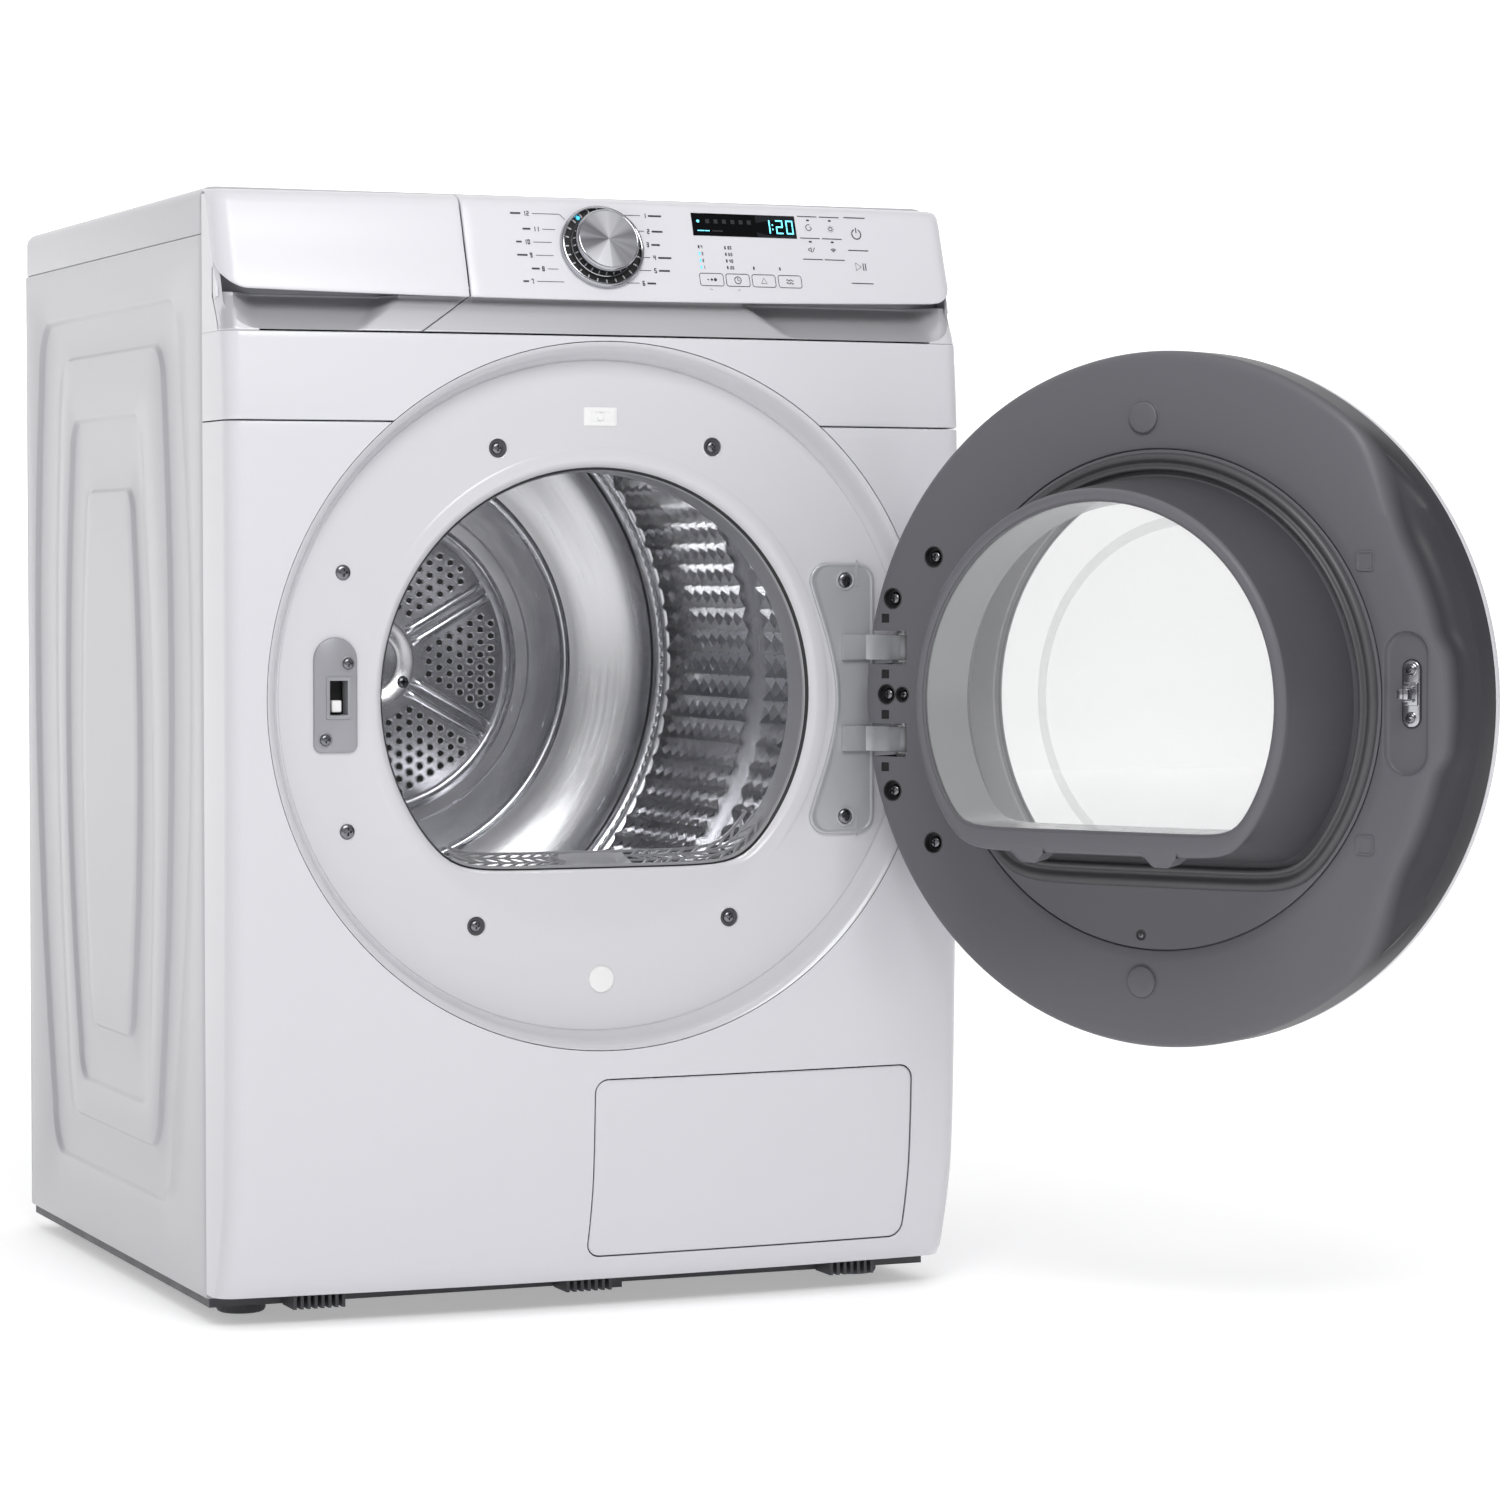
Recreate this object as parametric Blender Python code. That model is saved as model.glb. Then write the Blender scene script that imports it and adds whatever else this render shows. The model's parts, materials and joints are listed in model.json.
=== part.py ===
"""Front-loading 27 inch clothes dryer with its door open.

Metres, +Z up, the front faces -Y. The origin is on the floor, under the centre of the cabinet.
"""

import math

import bmesh
import bpy
from mathutils import Matrix, Vector

# Cabinet
HALF_WIDTH = 0.343
HALF_DEPTH = 0.3225
HEIGHT = 0.984
TOP_PLATE_BOTTOM = 0.943
SIDE_BOTTOM = 0.022
SHEET = 0.0015
MOULDING = 0.0025
GAP = 0.0004
SEAM = 0.0012

# Front: how far each height stands in front of the side panels' front edges, at the corners
FRONT_PROFILE = (
    (0.026, 0.034), (0.034, 0.042), (0.056, 0.050), (0.083, 0.0585), (0.122, 0.0665),
    (0.200, 0.0715), (0.400, 0.0765), (0.600, 0.0780), (0.781, 0.0765), (0.857, 0.0700),
)
FASCIA_PROFILE = (
    (0.889, 0.0630), (0.905, 0.0580), (0.935, 0.0470), (0.966, 0.0360),
    (0.975, 0.0310), (0.980, 0.0200), (0.981, 0.0015),
)
BAND_PROFILE = ((0.8585, 0.0680), (0.872, 0.0610), (0.8878, 0.0500))
FACE_BOW = 0.0165
CORNER_RADIUS = 0.016
UPPER_SEAM = 0.781
DRAWER_SEAM = -0.1252
RECESS_DEPTH = 0.024

# Round door opening, whose axis runs along Y
AXIS_HEIGHT = 0.543
DISH_RADIUS = 0.310
DISH_FLAT_RADIUS = 0.295
DISH_Y = -0.3825
MOUTH_RADIUS = 0.199
MOUTH_FLOOR = 0.151
TUNNEL_END = -0.340
SEGMENTS = 48

# Drum, whose axis is parallel to the opening's and a little higher
DRUM_HEIGHT = 0.560
DRUM_RADIUS = 0.305
DRUM_FRONT = -0.3225
DRUM_BACK = 0.262
DRUM_LIP_RADIUS = 0.245
DRUM_SHEET = 0.0012
REAR_WALL_RADIUS = 0.2975
REAR_WALL_Y = 0.289

# Door, described closed and then opened about its hinge
HINGE_X = 0.275
HINGE_Y = -0.4225
OPEN_ANGLE = math.radians(123)
DOOR_RADIUS = 0.298
DOOR_INNER_Y = -0.3905
DOOR_FRAME_DEPTH = 0.042
BOWL_FLANGE_RADIUS = 0.2135
BOWL_DEPTH = 0.105
BOWL_RADIUS = 0.180
BOWL_FLOOR = 0.1275
WINDOW_RADIUS = 0.168
WINDOW_FLOOR = 0.107
ARM_HEIGHTS = (0.0415, -0.0405)
ARM_WIDTH = 0.0225
PIN_RADIUS = 0.003

# Knob on the sloping fascia
KNOB_HEIGHT = 0.9355
FASCIA_LEAN = math.radians(20)
KNOB_RADIUS = 0.029

# Flap over the heat exchanger
FLAP_LEFT = -0.015
FLAP_RIGHT = 0.293
FLAP_BOTTOM = 0.049
FLAP_TOP = 0.207

# Drive
MOTOR_X = 0.200
MOTOR_Z = 0.125
PULLEY_RADIUS = 0.012
BELT_WIDTH = 0.012
BELT_THICKNESS = 0.003
ROLLER_RADIUS = 0.030
ROLLER_ANGLE = math.radians(35)

# Feet
FOOT_X = 0.295
FOOT_Y = 0.262


def clear_scene():
    for obj in list(bpy.data.objects):
        bpy.data.objects.remove(obj)


def linear(channel):
    return channel / 12.92 if channel <= 0.04045 else ((channel + 0.055) / 1.055) ** 2.4


def make_material(name, colour, roughness, metallic=0.0, alpha=1.0):
    """A Principled material from an sRGB colour."""
    material = bpy.data.materials.new(name)
    material.use_nodes = True
    shader = material.node_tree.nodes["Principled BSDF"]
    shader.inputs["Base Color"].default_value = (*map(linear, colour), 1)
    shader.inputs["Roughness"].default_value = roughness
    shader.inputs["Metallic"].default_value = metallic
    shader.inputs["Alpha"].default_value = alpha
    return material


def add_solid(name, points, faces, material, parent=None):
    mesh = bpy.data.meshes.new(name)
    mesh.from_pydata([tuple(point) for point in points], [], faces)
    work = bmesh.new()
    work.from_mesh(mesh)
    bmesh.ops.recalc_face_normals(work, faces=work.faces)
    work.to_mesh(mesh)
    work.free()
    if material:
        mesh.materials.append(material)
    mesh.shade_smooth()
    mesh.set_sharp_from_angle(angle=math.radians(32))
    obj = bpy.data.objects.new(name, mesh)
    bpy.context.scene.collection.objects.link(obj)
    if parent:
        obj.parent = parent
    return obj


def add_empty(name, location, rotation=(0, 0, 0)):
    """An empty whose children keep the coordinates that they were made with."""
    empty = bpy.data.objects.new(name, None)
    empty.rotation_euler = rotation
    turn = empty.rotation_euler.to_matrix()
    empty.location = Vector(location) - turn @ Vector(location)
    bpy.context.scene.collection.objects.link(empty)
    return empty


def move_origin(obj, place):
    """Puts an object's origin at a place while its shape stays where it is."""
    obj.data.transform(Matrix.Translation(-Vector(place)))
    obj.location = Vector(place)


def add_loops(name, loops, material, ring, parent=None):
    """Joins closed loops of equal length. A ring joins the last to the first, otherwise both ends are capped."""
    count = len(loops[0])
    points = [point for loop in loops for point in loop]
    faces = []
    spans = len(loops) if ring else len(loops) - 1
    for row in range(spans):
        here = row * count
        after = (row + 1) % len(loops) * count
        for column in range(count):
            step = (column + 1) % count
            faces.append((here + column, here + step, after + step, after + column))
    if not ring:
        faces.append(tuple(range(count)))
        faces.append(tuple(range(len(points) - count, len(points))))
    return add_solid(name, points, faces, material, parent)


def on_plane(axis, first, second, along):
    """A point from its two coordinates across an axis and its place along it."""
    places = {"X": (along, first, second), "Y": (first, along, second), "Z": (first, second, along)}
    return Vector(places[axis])


def add_prism(name, outline, axis, low, high, material, parent=None):
    loops = [[on_plane(axis, u, v, along) for u, v in outline] for along in (low, high)]
    return add_loops(name, loops, material, False, parent)


def add_block(name, low, high, material, parent=None):
    outline = ((low[0], low[1]), (high[0], low[1]), (high[0], high[1]), (low[0], high[1]))
    return add_prism(name, outline, "Z", low[2], high[2], material, parent)


def circle(radius, count=SEGMENTS):
    return [
        (radius * math.cos(math.tau * i / count), radius * math.sin(math.tau * i / count))
        for i in range(count)
    ]


def add_turned(name, profile, centre, axis, material, ring=True, count=SEGMENTS, parent=None):
    """Turns (radius, height) points about an axis, "X", "Y" or "Z", or any direction, through the centre."""
    directions = {"X": (1, 0, 0), "Y": (0, 1, 0), "Z": (0, 0, 1)}
    direction = Vector(directions[axis] if isinstance(axis, str) else axis).normalized()
    turn = direction.to_track_quat("Z", "X")
    loops = [
        [Vector(centre) + turn @ Vector((u, v, height)) for u, v in circle(radius, count)]
        for radius, height in profile
    ]
    return add_loops(name, loops, material, ring, parent)


def combine(obj, tool, operation):
    tool.hide_render = True
    tool.display_type = "WIRE"
    modifier = obj.modifiers.new(f"{operation.lower()} {tool.name}", "BOOLEAN")
    modifier.operation = operation
    modifier.solver = "EXACT"
    modifier.object = tool


def cut(obj, tool):
    combine(obj, tool, "DIFFERENCE")


def unite(obj, tool):
    combine(obj, tool, "UNION")


def flat_bottomed(radius, floor, count=SEGMENTS, sharpness=22):
    """A circle whose bottom is cut flat, with corners that its sharpness rounds."""
    points = []
    for i in range(count):
        angle = math.tau * (i + 0.5) / count - math.pi / 2
        reach = radius
        if math.sin(angle) < -0.05:
            chord = floor / -math.sin(angle)
            reach = (radius**-sharpness + chord**-sharpness) ** (-1 / sharpness)
        points.append((reach * math.cos(angle), reach * math.sin(angle)))
    return points


def around_axis(outline, y):
    """An outline around the drum's axis, at one depth."""
    return [Vector((x, y, AXIS_HEIGHT + z)) for x, z in outline]


def read_profile(profile, height):
    """How far forward a profile stands at a height, by straight lines between its points."""
    for (low, first), (high, second) in zip(profile, profile[1:]):
        if height <= high:
            share = max(0.0, (height - low) / (high - low))
            return first + (second - first) * share
    return profile[-1][1]


def bow(x):
    return FACE_BOW * (1 - (x / HALF_WIDTH) ** 2)


def ramp(value, start, end):
    share = min(1.0, max(0.0, (value - start) / (end - start)))
    return share * share * (3 - 2 * share)


def plan_line(forward, left, right, columns, inset, dent):
    """One height's line along the front: side wall, round corner, bowed face, round corner, side wall."""
    half = HALF_WIDTH - inset
    radius = max(CORNER_RADIUS - inset, 0.001)
    reach = max(forward, 0.0005)
    radius_y = min(radius, reach)
    steps = 4
    line = []
    if left <= -HALF_WIDTH:
        line.append((-half, -HALF_DEPTH))
        for i in range(steps):
            angle = math.pi / 2 * i / steps
            x = -half + radius * (1 - math.cos(angle))
            line.append((x, -HALF_DEPTH - reach - bow(x) + radius_y * (1 - math.sin(angle))))
        left = -half + radius
    end = half - radius if right >= HALF_WIDTH else right
    for i in range(columns + 1):
        x = left + (end - left) * i / columns
        line.append((x, -HALF_DEPTH - reach - bow(x) + dent(x)))
    if right >= HALF_WIDTH:
        for i in reversed(range(steps)):
            angle = math.pi / 2 * i / steps
            x = half - radius * (1 - math.cos(angle))
            line.append((x, -HALF_DEPTH - reach - bow(x) + radius_y * (1 - math.sin(angle))))
        line.append((half, -HALF_DEPTH))
    return line


def no_dent(_):
    return 0.0


def add_front_shell(name, profile, low, high, left, right, material, columns=10, dent=no_dent, lift=0.0,
                    thickness=MOULDING, parent=None):
    """A curved front skin between two heights and two sides, with its thickness behind it."""
    heights = [low] + [z for z, _ in profile if low + 0.002 < z < high - 0.002] + [high]
    loops = []
    for z in heights:
        forward = read_profile(profile, z) + lift
        outer = plan_line(forward, left, right, columns, 0, dent)
        inner = plan_line(max(forward - thickness, 0.0005), left, right, columns, thickness, dent)
        loops.append([(x, y, z) for x, y in outer] + [(x, y, z) for x, y in reversed(inner)])
    return add_loops(name, loops, material, False, parent)


def front_y(x, z, profile=FRONT_PROFILE):
    return -HALF_DEPTH - read_profile(profile, z) - bow(x)


def make_cabinet(mats):
    """Sheet-metal box, top, rear and moulded base."""
    inner = HALF_WIDTH - SHEET
    flange = 0.018
    back = HALF_DEPTH - 0.0022
    for name, side in (("side_panel_left", -1), ("side_panel_right", 1)):
        outline = [
            (HALF_WIDTH, -HALF_DEPTH + GAP), (HALF_WIDTH, back), (inner - flange, back), (inner - flange, back - SHEET),
            (inner, back - SHEET), (inner, -HALF_DEPTH + GAP + SHEET), (inner - flange, -HALF_DEPTH + GAP + SHEET),
            (inner - flange, -HALF_DEPTH + GAP),
        ]
        outline = [(side * x, y) for x, y in outline]
        add_prism(name, outline, "Z", SIDE_BOTTOM, TOP_PLATE_BOTTOM - GAP, mats["side_paint"])

    rear = add_block("rear_panel", (-HALF_WIDTH, HALF_DEPTH - 0.0018, SIDE_BOTTOM),
                     (HALF_WIDTH, HALF_DEPTH, TOP_PLATE_BOTTOM - GAP), mats["side_paint"])
    cut(rear, add_turned("gland_hole", ((0.0103, -0.02), (0.0103, 0.02)), (0.26, HALF_DEPTH, 0.86), "Y", None, False, 16))
    gland_profile = (
        (0.0045, -0.014), (0.0098, -0.014), (0.0098, 0.0003), (0.014, 0.0003), (0.014, 0.004), (0.009, 0.010),
        (0.0045, 0.010),
    )
    add_turned("power_gland", gland_profile, (0.26, HALF_DEPTH, 0.86), "Y", mats["black_plastic"], True, 16)

    top = add_block("top_plate", (-HALF_WIDTH, -HALF_DEPTH, TOP_PLATE_BOTTOM), (HALF_WIDTH, HALF_DEPTH, HEIGHT),
                    mats["front_paint"])
    rounding = top.modifiers.new("rounded edges", "BEVEL")
    rounding.width = 0.008
    rounding.segments = 2
    rounding.limit_method = "ANGLE"
    cut(top, add_block("top_hollow", (-HALF_WIDTH + 0.005, -HALF_DEPTH + 0.005, TOP_PLATE_BOTTOM - 0.01),
                       (HALF_WIDTH - 0.005, HALF_DEPTH - 0.005, HEIGHT - 0.005), None))

    base_top = 0.050
    tray = HALF_WIDTH - 0.0035
    base = add_block("base_pan", (-tray, -HALF_DEPTH + 0.004, 0.0135), (tray, HALF_DEPTH - 0.005, base_top),
                     mats["dark_plastic"])
    cut(base, add_block("base_hollow", (-tray + 0.004, -HALF_DEPTH + 0.008, 0.017),
                        (tray - 0.004, HALF_DEPTH - 0.009, base_top + 0.01), None))
    for index, (x, y, width) in enumerate(((0, 0, 0.08), (0.03, -0.300, 0.03), (0.26, -0.300, 0.02), (-0.25, -0.300, 0.02))):
        unite(base, add_block(f"base_pad_{index}", (x - width / 2, y - 0.015, 0.008), (x + width / 2, y + 0.015, 0.015), None))
    for index, (x, y) in enumerate(foot_places()):
        cut(base, add_turned(f"foot_hole_{index}", ((0.0068, -0.02), (0.0068, 0.03)), (x, y, 0.015), "Z", None, False, 16))


def foot_places():
    return [(side * FOOT_X, end * FOOT_Y) for end in (-1, 1) for side in (-1, 1)]


def make_feet(mats):
    """Levelling feet: a six-sided pad that turns on its threaded stem."""
    names = ("foot_front_left", "foot_front_right", "foot_rear_left", "foot_rear_right")
    profile = ((0.021, 0.0), (0.0225, 0.003), (0.0225, 0.008), (0.006, 0.0128), (0.006, 0.034))
    for name, (x, y) in zip(names, foot_places()):
        foot = add_turned(name, profile, (x, y, 0), "Z", mats["dark_plastic"], False, 12)
        move_origin(foot, (x, y, 0))


def make_front(mats):
    """Main front, upper front, door surround, service flap and handle band."""
    disc = ((DISH_RADIUS + 0.001, -0.2), (DISH_RADIUS + 0.001, 0.2))
    lower = add_front_shell("front_panel", FRONT_PROFILE, 0.026, UPPER_SEAM - SEAM / 2, -HALF_WIDTH, HALF_WIDTH,
                            mats["front_paint"], 12, thickness=SHEET)
    cut(lower, add_turned("dish_cut", disc, (0, DISH_Y, AXIS_HEIGHT), "Y", None, False, 56))
    flap_gap = 0.0015
    cut(lower, add_block("flap_cut", (FLAP_LEFT - flap_gap, -0.5, FLAP_BOTTOM - flap_gap),
                         (FLAP_RIGHT + flap_gap, -0.33, FLAP_TOP + flap_gap), None))
    upper = add_front_shell("front_panel_upper", FRONT_PROFILE, UPPER_SEAM + SEAM / 2, 0.857, -HALF_WIDTH, HALF_WIDTH,
                            mats["front_paint"], 12, thickness=SHEET)
    cut(upper, add_turned("dish_cut_upper", disc, (0, DISH_Y, AXIS_HEIGHT), "Y", None, False, 56))

    add_front_shell("service_flap", FRONT_PROFILE, FLAP_BOTTOM, FLAP_TOP, FLAP_LEFT, FLAP_RIGHT, mats["front_paint"], 6,
                    thickness=SHEET)

    def right_dent(x):
        return RECESS_DEPTH * ramp(x, 0.150, 0.190) * (1 - ramp(x, 0.318, 0.326))

    add_front_shell("handle_band", BAND_PROFILE, 0.8585, 0.8878, DRAWER_SEAM + SEAM / 2, HALF_WIDTH, mats["grey_plastic"],
                    24, right_dent)
    make_door_surround(mats)


def make_door_surround(mats):
    """Round moulding in the front with the loading mouth, its tunnel and the filter slot."""
    back = DISH_Y + 0.0035
    rim = DISH_RADIUS - 0.0004
    core = 0.100
    loops = []
    for radius, share in ((core, 0), (DISH_FLAT_RADIUS, 0), (DISH_FLAT_RADIUS + 0.007, 0.2), (rim - 0.0025, 0.6), (rim, 1)):
        loop = []
        for u, v in circle(radius, 56):
            face = front_y(u, AXIS_HEIGHT + v) + SHEET
            loop.append(Vector((u, DISH_Y + (face - DISH_Y) * share, AXIS_HEIGHT + v)))
        loops.append(loop)
    loops += [around_axis(circle(radius, 56), back) for radius in (rim, core)]
    surround = add_loops("door_surround", loops, mats["dish_plastic"], True)
    outer = flat_bottomed(MOUTH_RADIUS + 0.0045, MOUTH_FLOOR + 0.0045)
    inner = flat_bottomed(MOUTH_RADIUS, MOUTH_FLOOR)
    flare = flat_bottomed(MOUTH_RADIUS + 0.008, MOUTH_FLOOR + 0.004)
    tunnel = [around_axis(outer, DISH_Y + 0.001), around_axis(outer, TUNNEL_END)]
    unite(surround, add_loops("tunnel_outside", tunnel, None, False))
    opening = [
        around_axis(flare, DISH_Y - 0.02), around_axis(flare, DISH_Y), around_axis(inner, DISH_Y + 0.014),
        around_axis(inner, TUNNEL_END + 0.01),
    ]
    cut(surround, add_loops("mouth_cut", opening, None, False))
    cut(surround, add_block("filter_slot", (-0.134, -0.3765, 0.37), (0.134, -0.3445, 0.42), None))
    cut(surround, add_block("latch_hole", (-0.250, -0.40, 0.528), (-0.232, -0.35, 0.560), None))


def make_hinge_side(mats):
    """Plate and arms that carry the door, and the latch plate with its switch lever."""
    face = DISH_Y - 0.0003
    plate_outline = []
    for angle in range(0, 181, 30):
        turn = math.radians(angle)
        plate_outline.append((0.2395 + 0.0275 * math.cos(turn), AXIS_HEIGHT + 0.0935 + 0.0275 * math.sin(turn)))
    plate_outline += [(0.221, AXIS_HEIGHT + 0.062), (0.221, AXIS_HEIGHT - 0.062)]
    for angle in range(180, 361, 30):
        turn = math.radians(angle)
        plate_outline.append((0.2395 + 0.0275 * math.cos(turn), AXIS_HEIGHT - 0.0955 + 0.0275 * math.sin(turn)))
    add_prism("hinge_plate", plate_outline, "Y", face - 0.0025, face, mats["hinge_metal"])

    barrel = 0.0062
    outline = [(0.229, face - 0.0028), (0.2600, face - 0.0028), (HINGE_X + barrel, HINGE_Y + 0.001)]
    for angle in range(-20, -181, -32):
        turn = math.radians(angle)
        outline.append((HINGE_X + barrel * math.cos(turn), HINGE_Y + barrel * math.sin(turn)))
    outline += [(0.2555, face - 0.0058), (0.229, face - 0.0058)]
    for name, height in zip(("hinge_arm_upper", "hinge_arm_lower"), ARM_HEIGHTS):
        middle = AXIS_HEIGHT + height
        arm = add_prism(name, outline, "Z", middle - ARM_WIDTH / 2, middle + ARM_WIDTH / 2, mats["hinge_metal"])
        bore = ((PIN_RADIUS + GAP, -0.03), (PIN_RADIUS + GAP, 0.03))
        cut(arm, add_turned(f"{name}_bore", bore, (HINGE_X, HINGE_Y, middle), "Z", None, False, 16))

    latch_x = -0.2435
    latch_outline = []
    for angle in range(0, 181, 20):
        turn = math.radians(angle)
        latch_outline.append((latch_x + 0.0195 * math.cos(turn), 0.5765 + 0.0195 * math.sin(turn)))
    latch_outline += [(latch_x - 0.0195, 0.503), (latch_x - 0.0155, 0.497), (latch_x + 0.0155, 0.497), (latch_x + 0.0195, 0.503)]
    latch = add_prism("latch_plate", latch_outline, "Y", face - 0.0025, face, mats["latch_plastic"])
    cut(latch, add_block("latch_socket", (-0.249, -0.40, 0.529), (-0.233, -0.36, 0.559), None))
    lever = add_block("latch_lever", (-0.2465, face - 0.0035, 0.5315), (-0.2355, face + 0.022, 0.5445), mats["white_plastic"])
    move_origin(lever, (-0.241, face, 0.538))


def make_door(mats):
    """Door built shut and turned open about its pin."""
    hinge = add_empty("door_hinge", (HINGE_X, HINGE_Y, AXIS_HEIGHT), (0, 0, OPEN_ANGLE))
    centre = (0, DOOR_INNER_Y, AXIS_HEIGHT)
    wall = 0.003
    depth = DOOR_FRAME_DEPTH
    flange = BOWL_FLANGE_RADIUS + 0.001
    profile = (
        (flange, 0), (DOOR_RADIUS - 0.008, 0), (DOOR_RADIUS - 0.0025, -0.0025), (DOOR_RADIUS, -0.008), (DOOR_RADIUS, -depth),
        (DOOR_RADIUS - wall, -depth), (DOOR_RADIUS - wall, -0.0080), (flange, -wall),
    )
    frame = add_turned("door_inner_frame", profile, centre, "Y", mats["door_grey"], True, SEGMENTS, hinge)
    for index, height in enumerate(ARM_HEIGHTS):
        middle = AXIS_HEIGHT + height
        cut(frame, add_block(f"arm_notch_{index}", (0.2520, DOOR_INNER_Y - 0.08, middle - 0.019),
                             (0.33, DOOR_INNER_Y + 0.02, middle + 0.019), None, hinge))

    face = -depth - GAP
    cover_profile = (
        (DOOR_RADIUS, face), (DOOR_RADIUS, face - 0.005), (DOOR_RADIUS - 0.004, face - 0.012),
        (DOOR_RADIUS - 0.014, face - 0.018), (0.250, face - 0.025), (0.206, face - 0.029), (0.203, face - 0.027),
        (0.203, face - 0.023), (0.250, face - 0.0215), (DOOR_RADIUS - 0.0035, face - 0.006), (DOOR_RADIUS - 0.0035, face),
    )
    add_turned("door_outer_cover", cover_profile, centre, "Y", mats["fascia_white"], True, SEGMENTS, hinge)
    glass_profile = ((0.030, face - 0.0300), (0.2020, face - 0.0235), (0.2020, face - 0.0275), (0.120, face - 0.0325),
                     (0.030, face - 0.0340))
    add_turned("door_outer_glass", glass_profile, centre, "Y", mats["glass"], False, 40, hinge)

    make_bowl(mats, hinge)
    plate = add_block("door_striker", (-0.252, DOOR_INNER_Y + 0.0003, 0.511), (-0.228, DOOR_INNER_Y + 0.0018, 0.575),
                      mats["steel"], hinge)
    unite(plate, add_block("striker_neck", (-0.2445, DOOR_INNER_Y + 0.001, 0.5475), (-0.2395, DOOR_INNER_Y + 0.014, 0.5565),
                           None, hinge))
    unite(plate, add_block("striker_hook", (-0.2445, DOOR_INNER_Y + 0.0105, 0.5475), (-0.2345, DOOR_INNER_Y + 0.014, 0.5565),
                           None, hinge))
    pin = ((PIN_RADIUS, -0.066), (PIN_RADIUS, 0.067))
    add_turned("hinge_pin", pin, (HINGE_X, HINGE_Y, AXIS_HEIGHT), "Z", mats["steel"], False, 12, hinge)


def make_bowl(mats, hinge):
    """Window bowl that closes the mouth: flange, tapered wall, end frame and glass."""
    wall = 0.003
    end = DOOR_INNER_Y + BOWL_DEPTH
    base_radius = BOWL_RADIUS + 0.014
    base_floor = BOWL_FLOOR + 0.012
    disc = [(BOWL_FLANGE_RADIUS * u, BOWL_FLANGE_RADIUS * v) for u, v in flat_bottomed(1, 2)]
    loops = [
        around_axis(disc, DOOR_INNER_Y),
        around_axis(flat_bottomed(base_radius, base_floor), DOOR_INNER_Y),
        around_axis(flat_bottomed(BOWL_RADIUS, BOWL_FLOOR), end - 0.006),
        around_axis(flat_bottomed(BOWL_RADIUS - 0.005, BOWL_FLOOR - 0.005), end),
        around_axis(flat_bottomed(WINDOW_RADIUS, WINDOW_FLOOR), end),
        around_axis(flat_bottomed(WINDOW_RADIUS, WINDOW_FLOOR), end - wall),
        around_axis(flat_bottomed(BOWL_RADIUS - 0.006, BOWL_FLOOR - 0.006), end - wall),
        around_axis(flat_bottomed(base_radius - wall, base_floor - wall), DOOR_INNER_Y - wall),
        around_axis(disc, DOOR_INNER_Y - wall),
    ]
    add_loops("door_bowl", loops, mats["door_grey"], True, hinge)
    pane = flat_bottomed(WINDOW_RADIUS - GAP, WINDOW_FLOOR - GAP)
    add_loops("bowl_glass", [around_axis(pane, end - wall), around_axis(pane, end - 0.0002)], mats["glass"], False, hinge)
    seal_in = flat_bottomed(base_radius + 0.0015, base_floor + 0.0015)
    seal_out = flat_bottomed(base_radius + 0.0105, base_floor + 0.0105)
    seal = [
        around_axis(seal_in, DOOR_INNER_Y + 0.0004), around_axis(seal_out, DOOR_INNER_Y + 0.0004),
        around_axis(seal_out, DOOR_INNER_Y + 0.0045), around_axis(seal_in, DOOR_INNER_Y + 0.0060),
    ]
    add_loops("door_seal", seal, mats["rubber"], True, hinge)


def make_controls(mats):
    """Sloping fascia with its knob, display and board."""
    add_front_shell("control_fascia", FASCIA_PROFILE, 0.889, 0.981, DRAWER_SEAM + SEAM / 2, HALF_WIDTH, mats["fascia_white"], 8)
    add_front_shell("display_window", FASCIA_PROFILE, 0.9500, 0.9705, 0.0855, 0.1870, mats["display_glass"], 4, no_dent,
                    0.0012, 0.0008)
    normal = Vector((0, -math.cos(FASCIA_LEAN), math.sin(FASCIA_LEAN)))
    centre = Vector((0, front_y(0, KNOB_HEIGHT, FASCIA_PROFILE), KNOB_HEIGHT)) + normal * 0.0007
    ring_profile = ((0.0305, 0.0), (0.0385, 0.0), (0.0380, 0.0035), (0.0355, 0.0050), (0.0305, 0.0050))
    add_turned("knob_ring", ring_profile, centre, normal, mats["chrome"], True, 24)
    knob_profile = (
        (KNOB_RADIUS, 0.0), (KNOB_RADIUS, 0.0155), (KNOB_RADIUS - 0.0015, 0.0185), (KNOB_RADIUS - 0.0035, 0.0190),
        (KNOB_RADIUS - 0.006, 0.0182),
    )
    knob = add_turned("program_knob", knob_profile, centre, normal, mats["spun_metal"], False, 24)
    move_origin(knob, centre)
    board = 0.0020
    add_block("control_board", (0.030, -0.3450, 0.893), (0.290, -0.3450 + board, 0.955), mats["circuit_green"])


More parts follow.
